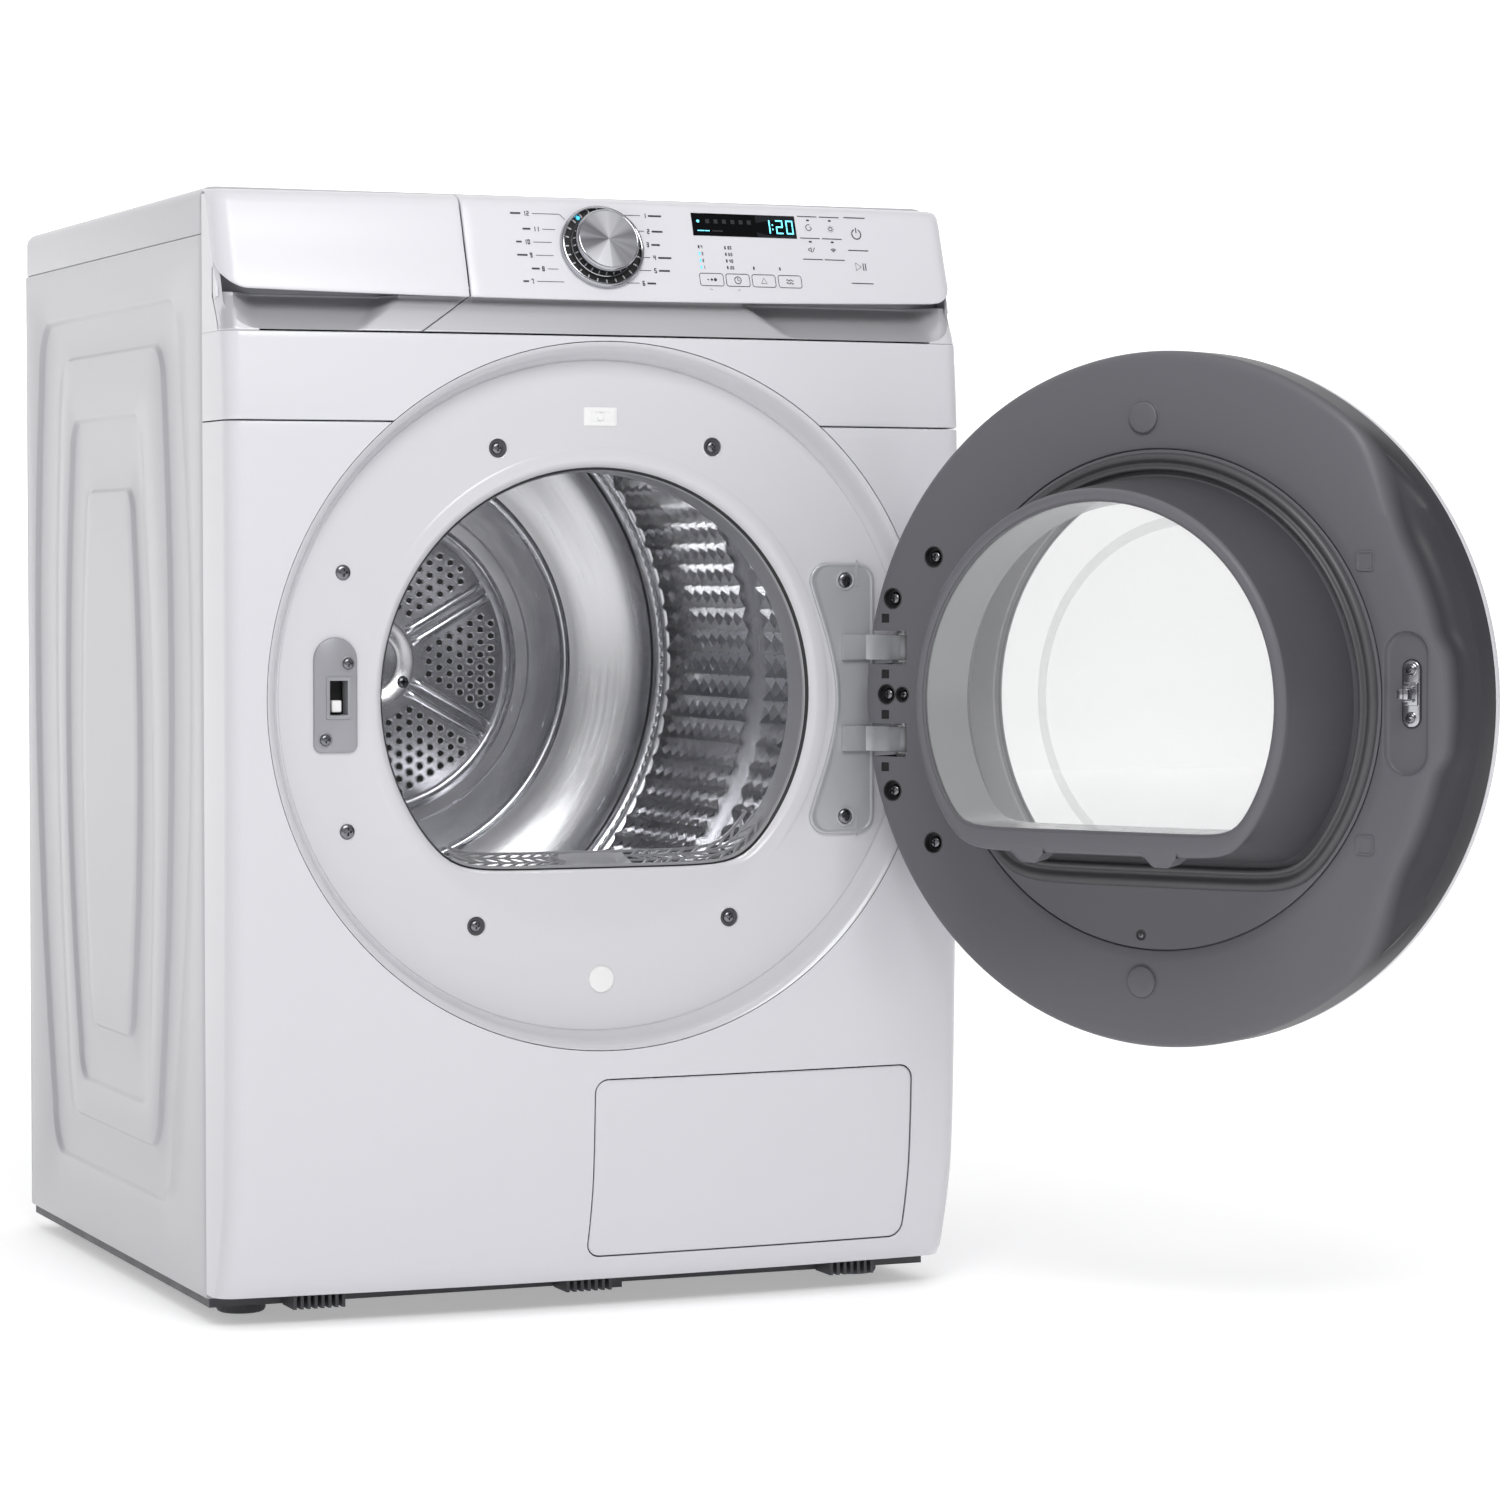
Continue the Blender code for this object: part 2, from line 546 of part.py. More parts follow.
def make_tank_drawer(mats):
    """Condensate tank behind the left end of the fascia."""
    def left_dent(x):
        return RECESS_DEPTH * ramp(-x, 0.160, 0.190) * (1 - ramp(-x, 0.318, 0.326))

    drawer = add_empty("tank_drawer", (0, 0, 0))
    edge = DRAWER_SEAM - SEAM / 2
    add_front_shell("drawer_front", FASCIA_PROFILE, 0.889, 0.981, -HALF_WIDTH, edge, mats["fascia_white"], 5, parent=drawer)
    add_front_shell("drawer_pull", BAND_PROFILE, 0.8585, 0.8878, -HALF_WIDTH, edge, mats["grey_plastic"], 16, left_dent,
                    parent=drawer)
    tank = add_block("water_tank", (-0.3210, -0.3350, 0.8700), (-0.1350, 0.0800, 0.9320), mats["tank_plastic"], drawer)
    cut(tank, add_block("tank_hollow", (-0.3185, -0.3325, 0.8725), (-0.1375, 0.0775, 0.95), None, drawer))
    wall = 0.002
    low = (-0.3250, 0.8640)
    high = (-0.1290, 0.9400)
    outline = (
        low, (high[0], low[1]), high, (high[0] - wall, high[1]), (high[0] - wall, low[1] + wall),
        (low[0] + wall, low[1] + wall), (low[0] + wall, high[1]), (low[0], high[1]),
    )
    add_prism("tank_housing", outline, "Y", -0.3180, 0.1000, mats["grey_plastic"])


def make_drum(mats):
    """Drum shell, dished rear wall, lifters and shaft, turning about the axis along Y."""
    centre = (0, 0, DRUM_HEIGHT)
    sheet = DRUM_SHEET
    outer = [(DRUM_LIP_RADIUS, DRUM_FRONT - 0.0085), (DRUM_RADIUS - 0.004, DRUM_FRONT - 0.001), (DRUM_RADIUS, DRUM_FRONT + 0.006),
             (DRUM_RADIUS, DRUM_BACK), (REAR_WALL_RADIUS + 0.003, DRUM_BACK + 0.006)]
    inner = [(radius - sheet, height) for radius, height in reversed(outer)]
    add_turned("drum_shell", outer + inner, centre, "Y", mats["drum_steel"], True, SEGMENTS)
    front_side = [(REAR_WALL_RADIUS, DRUM_BACK), (0.212, REAR_WALL_Y - 0.005), (0.150, REAR_WALL_Y), (0.0124, REAR_WALL_Y)]
    rear_side = [(radius, height + sheet) for radius, height in reversed(front_side)]
    add_turned("drum_rear_wall", front_side + rear_side, centre, "Y", mats["drum_steel"], True, SEGMENTS)
    shaft_profile = ((0.022, REAR_WALL_Y - 0.005), (0.022, REAR_WALL_Y - GAP), (0.012, REAR_WALL_Y - GAP), (0.012, 0.314))
    add_turned("drum_shaft", shaft_profile, centre, "Y", mats["steel"], False, 16)
    chord = DRUM_RADIUS - 0.0047
    for index in range(3):
        turn = Matrix.Rotation(math.tau * index / 3 - math.radians(30), 3, "Y")
        section = ((-0.036, -chord), (0.036, -chord), (0.030, -chord + 0.018), (0.012, -chord + 0.046), (-0.012, -chord + 0.046),
                   (-0.030, -chord + 0.018))
        loops = []
        for y, size in ((DRUM_FRONT + 0.050, 0.7), (DRUM_FRONT + 0.085, 1.0), (DRUM_BACK - 0.075, 1.0), (DRUM_BACK - 0.040, 0.7)):
            points = [Vector((x * size, y, -chord + (z + chord) * size)) for x, z in section]
            loops.append([turn @ point + Vector(centre) for point in points])
        add_loops(f"drum_lifter_{index + 1}", loops, mats["lifter_plastic"], False)


def make_bulkhead(mats):
    """Fixed plate behind the front: it carries the tunnel's end, felt, rollers and lamp."""
    plate_y = -0.3395
    plate = add_block("front_bulkhead", (-0.335, plate_y, 0.235), (0.335, plate_y + 0.002, 0.853), mats["galvanised"])
    cut(plate, add_turned("bulkhead_hole", ((0.2055, -0.05), (0.2055, 0.05)), (0, plate_y, AXIS_HEIGHT), "Y", None, False, 56))
    felt = ((0.2300, plate_y + 0.0024), (0.2600, plate_y + 0.0024), (0.2600, plate_y + 0.0060), (0.2300, plate_y + 0.0060))
    add_turned("drum_felt", felt, (0, 0, DRUM_HEIGHT), "Y", mats["felt"], True, 32)
    lamp = ((0.0100, 0.0), (0.0100, 0.0040), (0.0070, 0.0070))
    add_turned("drum_lamp", lamp, (0.153, plate_y + 0.0023, 0.695), "Y", mats["lamp_lens"], False, 20)
    reach = DRUM_RADIUS + 0.0006 + ROLLER_RADIUS
    for side, word in ((-1, "left"), (1, "right")):
        place = (side * reach * math.sin(ROLLER_ANGLE), 0, DRUM_HEIGHT - reach * math.cos(ROLLER_ANGLE))
        axle = ((0.0100, plate_y + 0.0023), (0.0100, plate_y + 0.0150), (0.0058, plate_y + 0.0150), (0.0058, -0.2930))
        add_turned(f"roller_axle_{word}", axle, place, "Y", mats["steel"], False, 14)
        wheel = ((0.0062, -0.3150), (ROLLER_RADIUS - 0.002, -0.3150), (ROLLER_RADIUS, -0.3130), (ROLLER_RADIUS, -0.2990),
                 (ROLLER_RADIUS - 0.002, -0.2970), (0.0062, -0.2970))
        roller = add_turned(f"support_roller_{word}", wheel, place, "Y", mats["rubber"], True, 20)
        move_origin(roller, place)


def belt_outline(big, small):
    """Outer line of a belt around the drum and the motor's pulley."""
    offset = Vector((MOTOR_X, MOTOR_Z - DRUM_HEIGHT))
    lean = math.acos((big - small) / offset.length)
    heading = math.atan2(offset.y, offset.x)
    arc = 28
    step = (math.tau - 2 * lean) / arc
    reach = big / math.cos(step / 2)
    points = []
    for i in range(arc + 1):
        angle = heading + lean + step * i
        points.append((reach * math.cos(angle), reach * math.sin(angle)))
    for i in range(7):
        angle = heading - lean + 2 * lean * i / 6
        points.append((offset.x + small * math.cos(angle), offset.y + small * math.sin(angle)))
    return points


def make_drive(mats):
    """Belt, motor with its shaft and pulley, blower and rear bearing."""
    inner = belt_outline(DRUM_RADIUS + 0.0006, PULLEY_RADIUS + 0.0006)
    outer = belt_outline(DRUM_RADIUS + 0.0006 + BELT_THICKNESS, PULLEY_RADIUS + 0.0006 + BELT_THICKNESS)
    half = BELT_WIDTH / 2
    loops = []
    for outline, y in ((inner, -half), (outer, -half), (outer, half), (inner, half)):
        loops.append([Vector((u, y, DRUM_HEIGHT + v)) for u, v in outline])
    add_loops("drum_belt", loops, mats["rubber"], True)
    centre = (MOTOR_X, 0, MOTOR_Z)
    motor = ((0.0068, 0.030), (0.040, 0.030), (0.054, 0.040), (0.054, 0.140), (0.040, 0.150), (0.0068, 0.150))
    add_turned("drive_motor", motor, centre, "Y", mats["galvanised"], True, 20)
    shaft = ((0.0060, -0.020), (0.0060, -0.0075), (PULLEY_RADIUS, -0.0075), (PULLEY_RADIUS, 0.0075), (0.0060, 0.0075),
             (0.0060, 0.215))
    add_turned("motor_shaft", shaft, centre, "Y", mats["steel"], False, 14)
    blades = 12
    star = []
    hub = []
    for i in range(blades * 4):
        angle = math.tau * i / (blades * 4)
        radius = 0.066 if i % 4 < 2 else 0.026
        star.append((radius * math.cos(angle), radius * math.sin(angle)))
        hub.append((0.0064 * math.cos(angle), 0.0064 * math.sin(angle)))
    def placed(outline, y):
        return [Vector((MOTOR_X + u, y, MOTOR_Z + v)) for u, v in outline]
    add_loops("blower_wheel", [placed(hub, 0.176), placed(star, 0.176), placed(star, 0.212), placed(hub, 0.212)],
              mats["black_plastic"], True)
    housing = ((0.0745, 0.168), (0.0780, 0.168), (0.0780, 0.2250), (0.0100, 0.2250), (0.0100, 0.2225), (0.0745, 0.2225))
    add_turned("blower_housing", housing, centre, "Y", mats["grey_plastic"], True, 20)
    bearing = ((0.0124, 0.2960), (0.040, 0.2960), (0.040, 0.3020), (0.100, 0.3070), (0.100, 0.3195), (0.0124, 0.3195))
    add_turned("bearing_bracket", bearing, (0, 0, DRUM_HEIGHT), "Y", mats["galvanised"], True, 20)


def make_air_path(mats):
    """Heat pump parts in the base, the lint filter and its duct."""
    fins = 15
    pitch = 0.0203
    fin = 0.002
    front, spine, rear = -0.3000, -0.0860, -0.0800
    comb = [(-0.003, rear)]
    for index in range(fins):
        x = -0.003 + pitch * index
        if index:
            comb.append((x, spine))
        comb += [(x, front), (x + fin, front)]
        if index < fins - 1:
            comb.append((x + fin, spine))
    comb.append((-0.003 + pitch * (fins - 1) + fin, rear))
    add_prism("heat_exchanger", comb, "Z", 0.0560, 0.2020, mats["aluminium"])
    shell = ((0.030, 0.024), (0.066, 0.040), (0.074, 0.070), (0.074, 0.170), (0.062, 0.200), (0.028, 0.214))
    add_turned("compressor", shell, (-0.200, 0.130, 0), "Z", mats["black_plastic"], False, 20)
    duct = add_block("filter_duct", (-0.1380, -0.3775, 0.2400), (0.1380, -0.3420, 0.3780), mats["grey_plastic"])
    cut(duct, add_block("duct_hollow", (-0.1360, -0.3755, 0.2420), (0.1360, -0.3440, 0.40), None))
    outline = (
        (-0.3635, 0.2520), (-0.3575, 0.2520), (-0.3575, 0.3870), (-0.3465, 0.3870), (-0.3465, 0.3960), (-0.3745, 0.3960),
        (-0.3745, 0.3870), (-0.3635, 0.3870),
    )
    add_prism("lint_filter", outline, "X", -0.1300, 0.1300, mats["grey_plastic"])


def main():
    clear_scene()
    mats = {
        "front_paint": make_material("front_paint", (0.89, 0.89, 0.91), 0.30),
        "fascia_white": make_material("fascia_white", (0.90, 0.90, 0.91), 0.28),
        "side_paint": make_material("side_paint", (0.80, 0.80, 0.82), 0.35),
        "dish_plastic": make_material("dish_plastic", (0.90, 0.90, 0.91), 0.25),
        "white_plastic": make_material("white_plastic", (0.92, 0.92, 0.92), 0.35),
        "grey_plastic": make_material("grey_plastic", (0.70, 0.70, 0.72), 0.40),
        "latch_plastic": make_material("latch_plastic", (0.58, 0.58, 0.60), 0.40),
        "dark_plastic": make_material("dark_plastic", (0.26, 0.26, 0.28), 0.50),
        "black_plastic": make_material("black_plastic", (0.08, 0.08, 0.09), 0.45),
        "tank_plastic": make_material("tank_plastic", (0.86, 0.88, 0.90), 0.35),
        "lifter_plastic": make_material("lifter_plastic", (0.62, 0.63, 0.65), 0.40),
        "door_grey": make_material("door_grey", (0.38, 0.38, 0.40), 0.42),
        "rubber": make_material("rubber", (0.20, 0.20, 0.21), 0.60),
        "felt": make_material("felt", (0.55, 0.54, 0.52), 0.95),
        "hinge_metal": make_material("hinge_metal", (0.62, 0.63, 0.64), 0.35, 1.0),
        "steel": make_material("steel", (0.72, 0.72, 0.73), 0.30, 1.0),
        "drum_steel": make_material("drum_steel", (0.75, 0.75, 0.76), 0.25, 1.0),
        "galvanised": make_material("galvanised", (0.66, 0.67, 0.68), 0.45, 1.0),
        "aluminium": make_material("aluminium", (0.80, 0.80, 0.81), 0.40, 1.0),
        "spun_metal": make_material("spun_metal", (0.78, 0.78, 0.79), 0.25, 1.0),
        "chrome": make_material("chrome", (0.85, 0.85, 0.86), 0.10, 1.0),
        "display_glass": make_material("display_glass", (0.03, 0.03, 0.04), 0.10),
        "circuit_green": make_material("circuit_green", (0.10, 0.35, 0.18), 0.50),
        "lamp_lens": make_material("lamp_lens", (0.95, 0.95, 0.90), 0.15),
        "glass": make_material("glass", (0.93, 0.95, 0.96), 0.03, 0.0, 0.25),
    }
    make_cabinet(mats)
    make_feet(mats)
    make_front(mats)
    make_hinge_side(mats)
    make_door(mats)
    make_controls(mats)
    make_tank_drawer(mats)
    make_drum(mats)
    make_bulkhead(mats)
    make_drive(mats)
    make_air_path(mats)


main()
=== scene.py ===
"""Looks of a front-loading clothes dryer with its door open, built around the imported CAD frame.

Metres, +Z up, the front faces -Y. The origin is on the floor, under the centre of the cabinet.
"""

import json
import math

import bmesh
import bpy
from mathutils import Matrix, Vector

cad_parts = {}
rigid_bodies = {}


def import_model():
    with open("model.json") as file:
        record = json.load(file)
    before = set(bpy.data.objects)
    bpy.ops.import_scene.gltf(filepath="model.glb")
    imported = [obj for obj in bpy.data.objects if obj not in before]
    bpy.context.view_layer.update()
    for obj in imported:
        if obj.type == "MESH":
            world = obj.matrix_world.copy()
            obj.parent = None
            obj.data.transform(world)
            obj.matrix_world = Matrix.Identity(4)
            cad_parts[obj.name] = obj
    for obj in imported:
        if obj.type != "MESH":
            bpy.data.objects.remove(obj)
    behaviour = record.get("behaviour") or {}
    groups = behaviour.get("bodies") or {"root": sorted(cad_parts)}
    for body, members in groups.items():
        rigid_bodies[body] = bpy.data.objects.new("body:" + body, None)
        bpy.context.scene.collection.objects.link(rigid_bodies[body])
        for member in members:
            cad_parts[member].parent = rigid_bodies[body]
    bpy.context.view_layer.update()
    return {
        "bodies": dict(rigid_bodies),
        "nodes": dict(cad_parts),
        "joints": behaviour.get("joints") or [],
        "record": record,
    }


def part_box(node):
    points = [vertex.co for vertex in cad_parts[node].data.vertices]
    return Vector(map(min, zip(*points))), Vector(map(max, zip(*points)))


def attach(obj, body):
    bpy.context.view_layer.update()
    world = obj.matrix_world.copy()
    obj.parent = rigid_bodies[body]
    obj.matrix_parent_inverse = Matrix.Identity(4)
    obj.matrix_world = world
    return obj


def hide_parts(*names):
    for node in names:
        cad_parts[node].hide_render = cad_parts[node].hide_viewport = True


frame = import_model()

NODES = frame["nodes"]
JOINTS = {joint["name"]: joint for joint in frame["joints"]}

# Cabinet, read from the frame
LOW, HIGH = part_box("side_panel_left")
SIDE_FRONT = LOW.y
HALF_WIDTH = -LOW.x
HALF_DEPTH = -SIDE_FRONT
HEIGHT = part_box("top_plate")[1].z
SIDE_TOP = HIGH.z
SIDE_BOTTOM = LOW.z

# Front skin: how far each height stands in front of the side panels, at the corners
FRONT_PROFILE = (
    (0.026, 0.034), (0.034, 0.042), (0.056, 0.050), (0.083, 0.0585), (0.122, 0.0665),
    (0.200, 0.0715), (0.400, 0.0765), (0.600, 0.0780), (0.781, 0.0765), (0.857, 0.0700),
)
FASCIA_PROFILE = (
    (0.885, 0.0642), (0.889, 0.0630), (0.905, 0.0580), (0.935, 0.0470), (0.966, 0.0360),
    (0.975, 0.0310), (0.980, 0.0200), (0.981, 0.0015),
)
BAND_PROFILE = ((0.8585, 0.0680), (0.872, 0.0610), (0.8878, 0.0500))
FACE_BOW = 0.0165
CORNER = 0.016
UPPER_SEAM = 0.781
DRAWER_SEAM = -0.1252
SEAM = 0.0012
FRAME_LIP = 0.018

# Round opening, drum and door
AXIS = 0.543
DISH_Y = -0.3825
DISH_FLAT = 0.2945
DISH_RIM = 0.3096
MOUTH_RADIUS = 0.199
MOUTH_FLOOR = 0.151
TUNNEL_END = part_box("front_bulkhead")[0].y - 0.0005
DRUM_LOW, DRUM_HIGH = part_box("drum_shell")
DRUM_AXIS = (DRUM_LOW.z + DRUM_HIGH.z) / 2
DRUM_RADIUS = DRUM_HIGH.x
WALL_Y = 0.289
HINGE = Vector(JOINTS["door_hinge"]["pos_m"])
OPEN = math.radians(123)
DOOR_Y = -0.3905
DOOR_DEPTH = 0.042
ARM_HEIGHTS = (0.0415, -0.0405)
FLAP = (-0.015, 0.293, 0.049, 0.207)
KNOB = Vector(JOINTS["knob_turn"]["pos_m"])
KNOB_AXIS = Vector(JOINTS["knob_turn"]["axis"])


# ---------------------------------------------------------------- materials

def linear(channel):
    """A display colour channel as linear light."""
    return channel / 12.92 if channel <= 0.04045 else ((channel + 0.055) / 1.055) ** 2.4


def shade(colour, factor=1.0):
    """A display colour as a linear one with alpha."""
    return (*(min(1.0, linear(channel) * factor) for channel in colour), 1)


def basis(axis):
    """Two directions across an axis, and the axis."""
    axis = Vector(axis).normalized()
    side = Vector((0, 0, 1)) if abs(axis.z) < 0.9 else Vector((1, 0, 0))
    first = side.cross(axis).normalized()
    return first, axis.cross(first), axis


class Nodes:
    """Short names for the node tree of one material."""

    def __init__(self, name):
        self.material = bpy.data.materials.new(name)
        self.material.use_nodes = True
        self.tree = self.material.node_tree
        self.shader = self.tree.nodes["Principled BSDF"]
        self.place = self.add("ShaderNodeTexCoord").outputs["Object"]

    def add(self, kind, **settings):
        node = self.tree.nodes.new(kind)
        for key, value in settings.items():
            setattr(node, key, value)
        return node

    def link(self, source, target):
        self.tree.links.new(source, target)

    def noise(self, scale, detail=3.0, stretch=(1, 1, 1), vector=None, distortion=0.0):
        mapping = self.add("ShaderNodeMapping")
        mapping.inputs["Scale"].default_value = stretch
        self.link(vector or self.place, mapping.inputs["Vector"])
        noise = self.add("ShaderNodeTexNoise")
        noise.inputs["Scale"].default_value = scale
        noise.inputs["Detail"].default_value = detail
        noise.inputs["Distortion"].default_value = distortion
        self.link(mapping.outputs["Vector"], noise.inputs["Vector"])
        return noise.outputs["Fac"]

    def to_range(self, value, low, high, start=0.3, end=0.7):
        node = self.add("ShaderNodeMapRange")
        for key, number in (("From Min", start), ("From Max", end), ("To Min", low), ("To Max", high)):
            node.inputs[key].default_value = number
        self.link(value, node.inputs["Value"])
        return node.outputs["Result"]

    def colours(self, value, low, high):
        ramp = self.add("ShaderNodeValToRGB")
        ramp.color_ramp.elements[0].position = 0.3
        ramp.color_ramp.elements[0].color = low
        ramp.color_ramp.elements[1].position = 0.7
        ramp.color_ramp.elements[1].color = high
        self.link(value, ramp.inputs["Fac"])
        self.link(ramp.outputs["Color"], self.shader.inputs["Base Color"])

    def bump(self, value, distance, strength=1.0):
        bump = self.add("ShaderNodeBump")
        bump.inputs["Distance"].default_value = distance
        bump.inputs["Strength"].default_value = strength
        self.link(value, bump.inputs["Height"])
        if self.shader.inputs["Normal"].links:
            self.link(self.shader.inputs["Normal"].links[0].from_socket, bump.inputs["Normal"])
        self.link(bump.outputs["Normal"], self.shader.inputs["Normal"])

    def set(self, **values):
        for key, value in values.items():
            self.shader.inputs[key.replace("_", " ")].default_value = value
        return self.material


def finish_of(name, colour, roughness, metallic=0.0, grain=900, grain_depth=0.00002, cloud=0.02, coat=0.0):
    """Painted or moulded surface: faint clouds in colour and gloss, and a fine grain."""
    made = Nodes(name)
    clouds = made.noise(7.0, 4.0)
    made.colours(clouds, shade(colour, 1 - cloud), shade(colour, 1 + cloud))
    made.link(made.to_range(made.noise(40.0, 5.0), roughness * (1 - 2 * cloud),
                            roughness * (1 + 2 * cloud)), made.shader.inputs["Roughness"])
    made.bump(made.noise(grain, 2.0), grain_depth, 0.5)
    return made.set(Metallic=metallic, Coat_Weight=coat, Coat_Roughness=0.12)


def brushed(name, colour, roughness, stretch, scale=60, depth=0.00004, metallic=1.0, round_axis=None):
    """Metal with long fine scratches. round_axis is the height of a Y axis that they run around."""
    made = Nodes(name)
    vector = made.place
    if round_axis is not None:
        split = made.add("ShaderNodeSeparateXYZ")
        made.link(made.place, split.inputs[0])
        lowered = made.add("ShaderNodeMath", operation="SUBTRACT")
        made.link(split.outputs["Z"], lowered.inputs[0])
        lowered.inputs[1].default_value = round_axis
        turn = made.add("ShaderNodeMath", operation="ARCTAN2")
        made.link(lowered.outputs[0], turn.inputs[0])
        made.link(split.outputs["X"], turn.inputs[1])
        join = made.add("ShaderNodeCombineXYZ")
        made.link(turn.outputs[0], join.inputs["X"])
        made.link(split.outputs["Y"], join.inputs["Y"])
        vector = join.outputs[0]
    lines = made.noise(scale, 3.0, stretch, vector)
    made.colours(lines, shade(colour, 0.96), shade(colour, 1.04))
    made.link(made.to_range(lines, roughness * 0.9, roughness * 1.15), made.shader.inputs["Roughness"])
    made.bump(lines, depth, 0.6)
    return made.set(Metallic=metallic)


def clear(name, colour, alpha, roughness=0.03):
    """Clear pane: mostly see-through, with a faint tint and sharp reflections."""
    made = Nodes(name)
    made.link(made.to_range(made.noise(3.0), roughness, roughness + 0.03), made.shader.inputs["Roughness"])
    made.colours(made.noise(5.0), shade(colour, 0.97), shade(colour, 1.03))
    return made.set(Alpha=alpha, IOR=1.5, Specular_IOR_Level=0.6)


def painted_depth_shade(name, colour, painted_shade_colour):
    """The door's grey with painted shade: it darkens with the depth behind the door's inner face, standing
    in for the shade in the scooped grip and the door's other hollows.
    """
    made = Nodes(name)
    dot = made.add("ShaderNodeVectorMath", operation="DOT_PRODUCT")
    made.link(made.place, dot.inputs[0])
    normal = Vector((-math.sin(OPEN), math.cos(OPEN), 0))
    dot.inputs[1].default_value = normal
    level = normal.dot(HINGE) + DOOR_Y - HINGE.y
    share = made.to_range(dot.outputs["Value"], 0.3, 0.7, level - 0.0150, level - 0.0020)
    mix = made.add("ShaderNodeMath", operation="MULTIPLY_ADD")
    made.link(made.noise(7.0, 4.0), mix.inputs[0])
    mix.inputs[1].default_value = 0.05
    made.link(share, mix.inputs[2])
    made.colours(mix.outputs[0], shade(painted_shade_colour), shade(colour))
    made.bump(made.noise(1500.0, 2.0), 0.00004, 0.5)
    return made.set(Roughness=0.40, Specular_IOR_Level=0.3)


def glowing(name, colour, strength):
    """A lit surface."""
    made = Nodes(name)
    made.colours(made.noise(300.0), shade(colour, 0.9), shade(colour, 1.1))
    return made.set(Emission_Color=shade(colour), Emission_Strength=strength, Roughness=0.4)


def dull(material, level=0.12):
    """A dark surface that hardly mirrors the room."""
    material.node_tree.nodes["Principled BSDF"].inputs["Specular IOR Level"].default_value = level
    return material


def spun_with_painted_sheen(name):
    """Turned metal face: painted highlight and painted shade in sectors round the dial's axis, standing in
    for spun metal's reflections, over fine rings.
    """
    made = Nodes(name)
    first, second, _ = basis(KNOB_AXIS)
    reach = []
    for axis in (first, second):
        dot = made.add("ShaderNodeVectorMath", operation="DOT_PRODUCT")
        offset = made.add("ShaderNodeVectorMath", operation="SUBTRACT")
        offset.inputs[1].default_value = KNOB
        made.link(made.place, offset.inputs[0])
        made.link(offset.outputs[0], dot.inputs[0])
        dot.inputs[1].default_value = axis
        reach.append(dot.outputs["Value"])
    turn = made.add("ShaderNodeMath", operation="ARCTAN2")
    made.link(reach[0], turn.inputs[0])
    made.link(reach[1], turn.inputs[1])
    join = made.add("ShaderNodeCombineXYZ")
    made.link(turn.outputs[0], join.inputs["X"])
    painted_sheen_sectors = made.noise(0.85, 2.0, (1, 1, 1), join.outputs[0])
    wave = made.add("ShaderNodeMath", operation="SINE")
    twice = made.add("ShaderNodeMath", operation="MULTIPLY_ADD")
    made.link(turn.outputs[0], twice.inputs[0])
    twice.inputs[1].default_value = 2.0
    twice.inputs[2].default_value = 1.1
    made.link(twice.outputs[0], wave.inputs[0])
    mix = made.add("ShaderNodeMath", operation="MULTIPLY_ADD")
    made.link(wave.outputs[0], mix.inputs[0])
    mix.inputs[1].default_value = 0.17
    made.link(painted_sheen_sectors, mix.inputs[2])
    # The sectors are painted reflections in the base colour.
    made.colours(mix.outputs[0], shade((0.42, 0.42, 0.44)), shade((0.90, 0.90, 0.92)))
    made.bump(made.noise(900.0, 2.0), 0.000004, 0.4)
    return made.set(Metallic=0.9, Roughness=0.34)


def woven(name, colour):
    """Pressed felt: short matted fibres."""
    made = Nodes(name)
    fibres = made.noise(450.0, 6.0, (1, 1, 1), None, 1.5)
    made.colours(fibres, shade(colour, 0.75), shade(colour, 1.2))
    made.bump(fibres, 0.0004)
    return made.set(Roughness=0.95, Sheen_Weight=0.4)


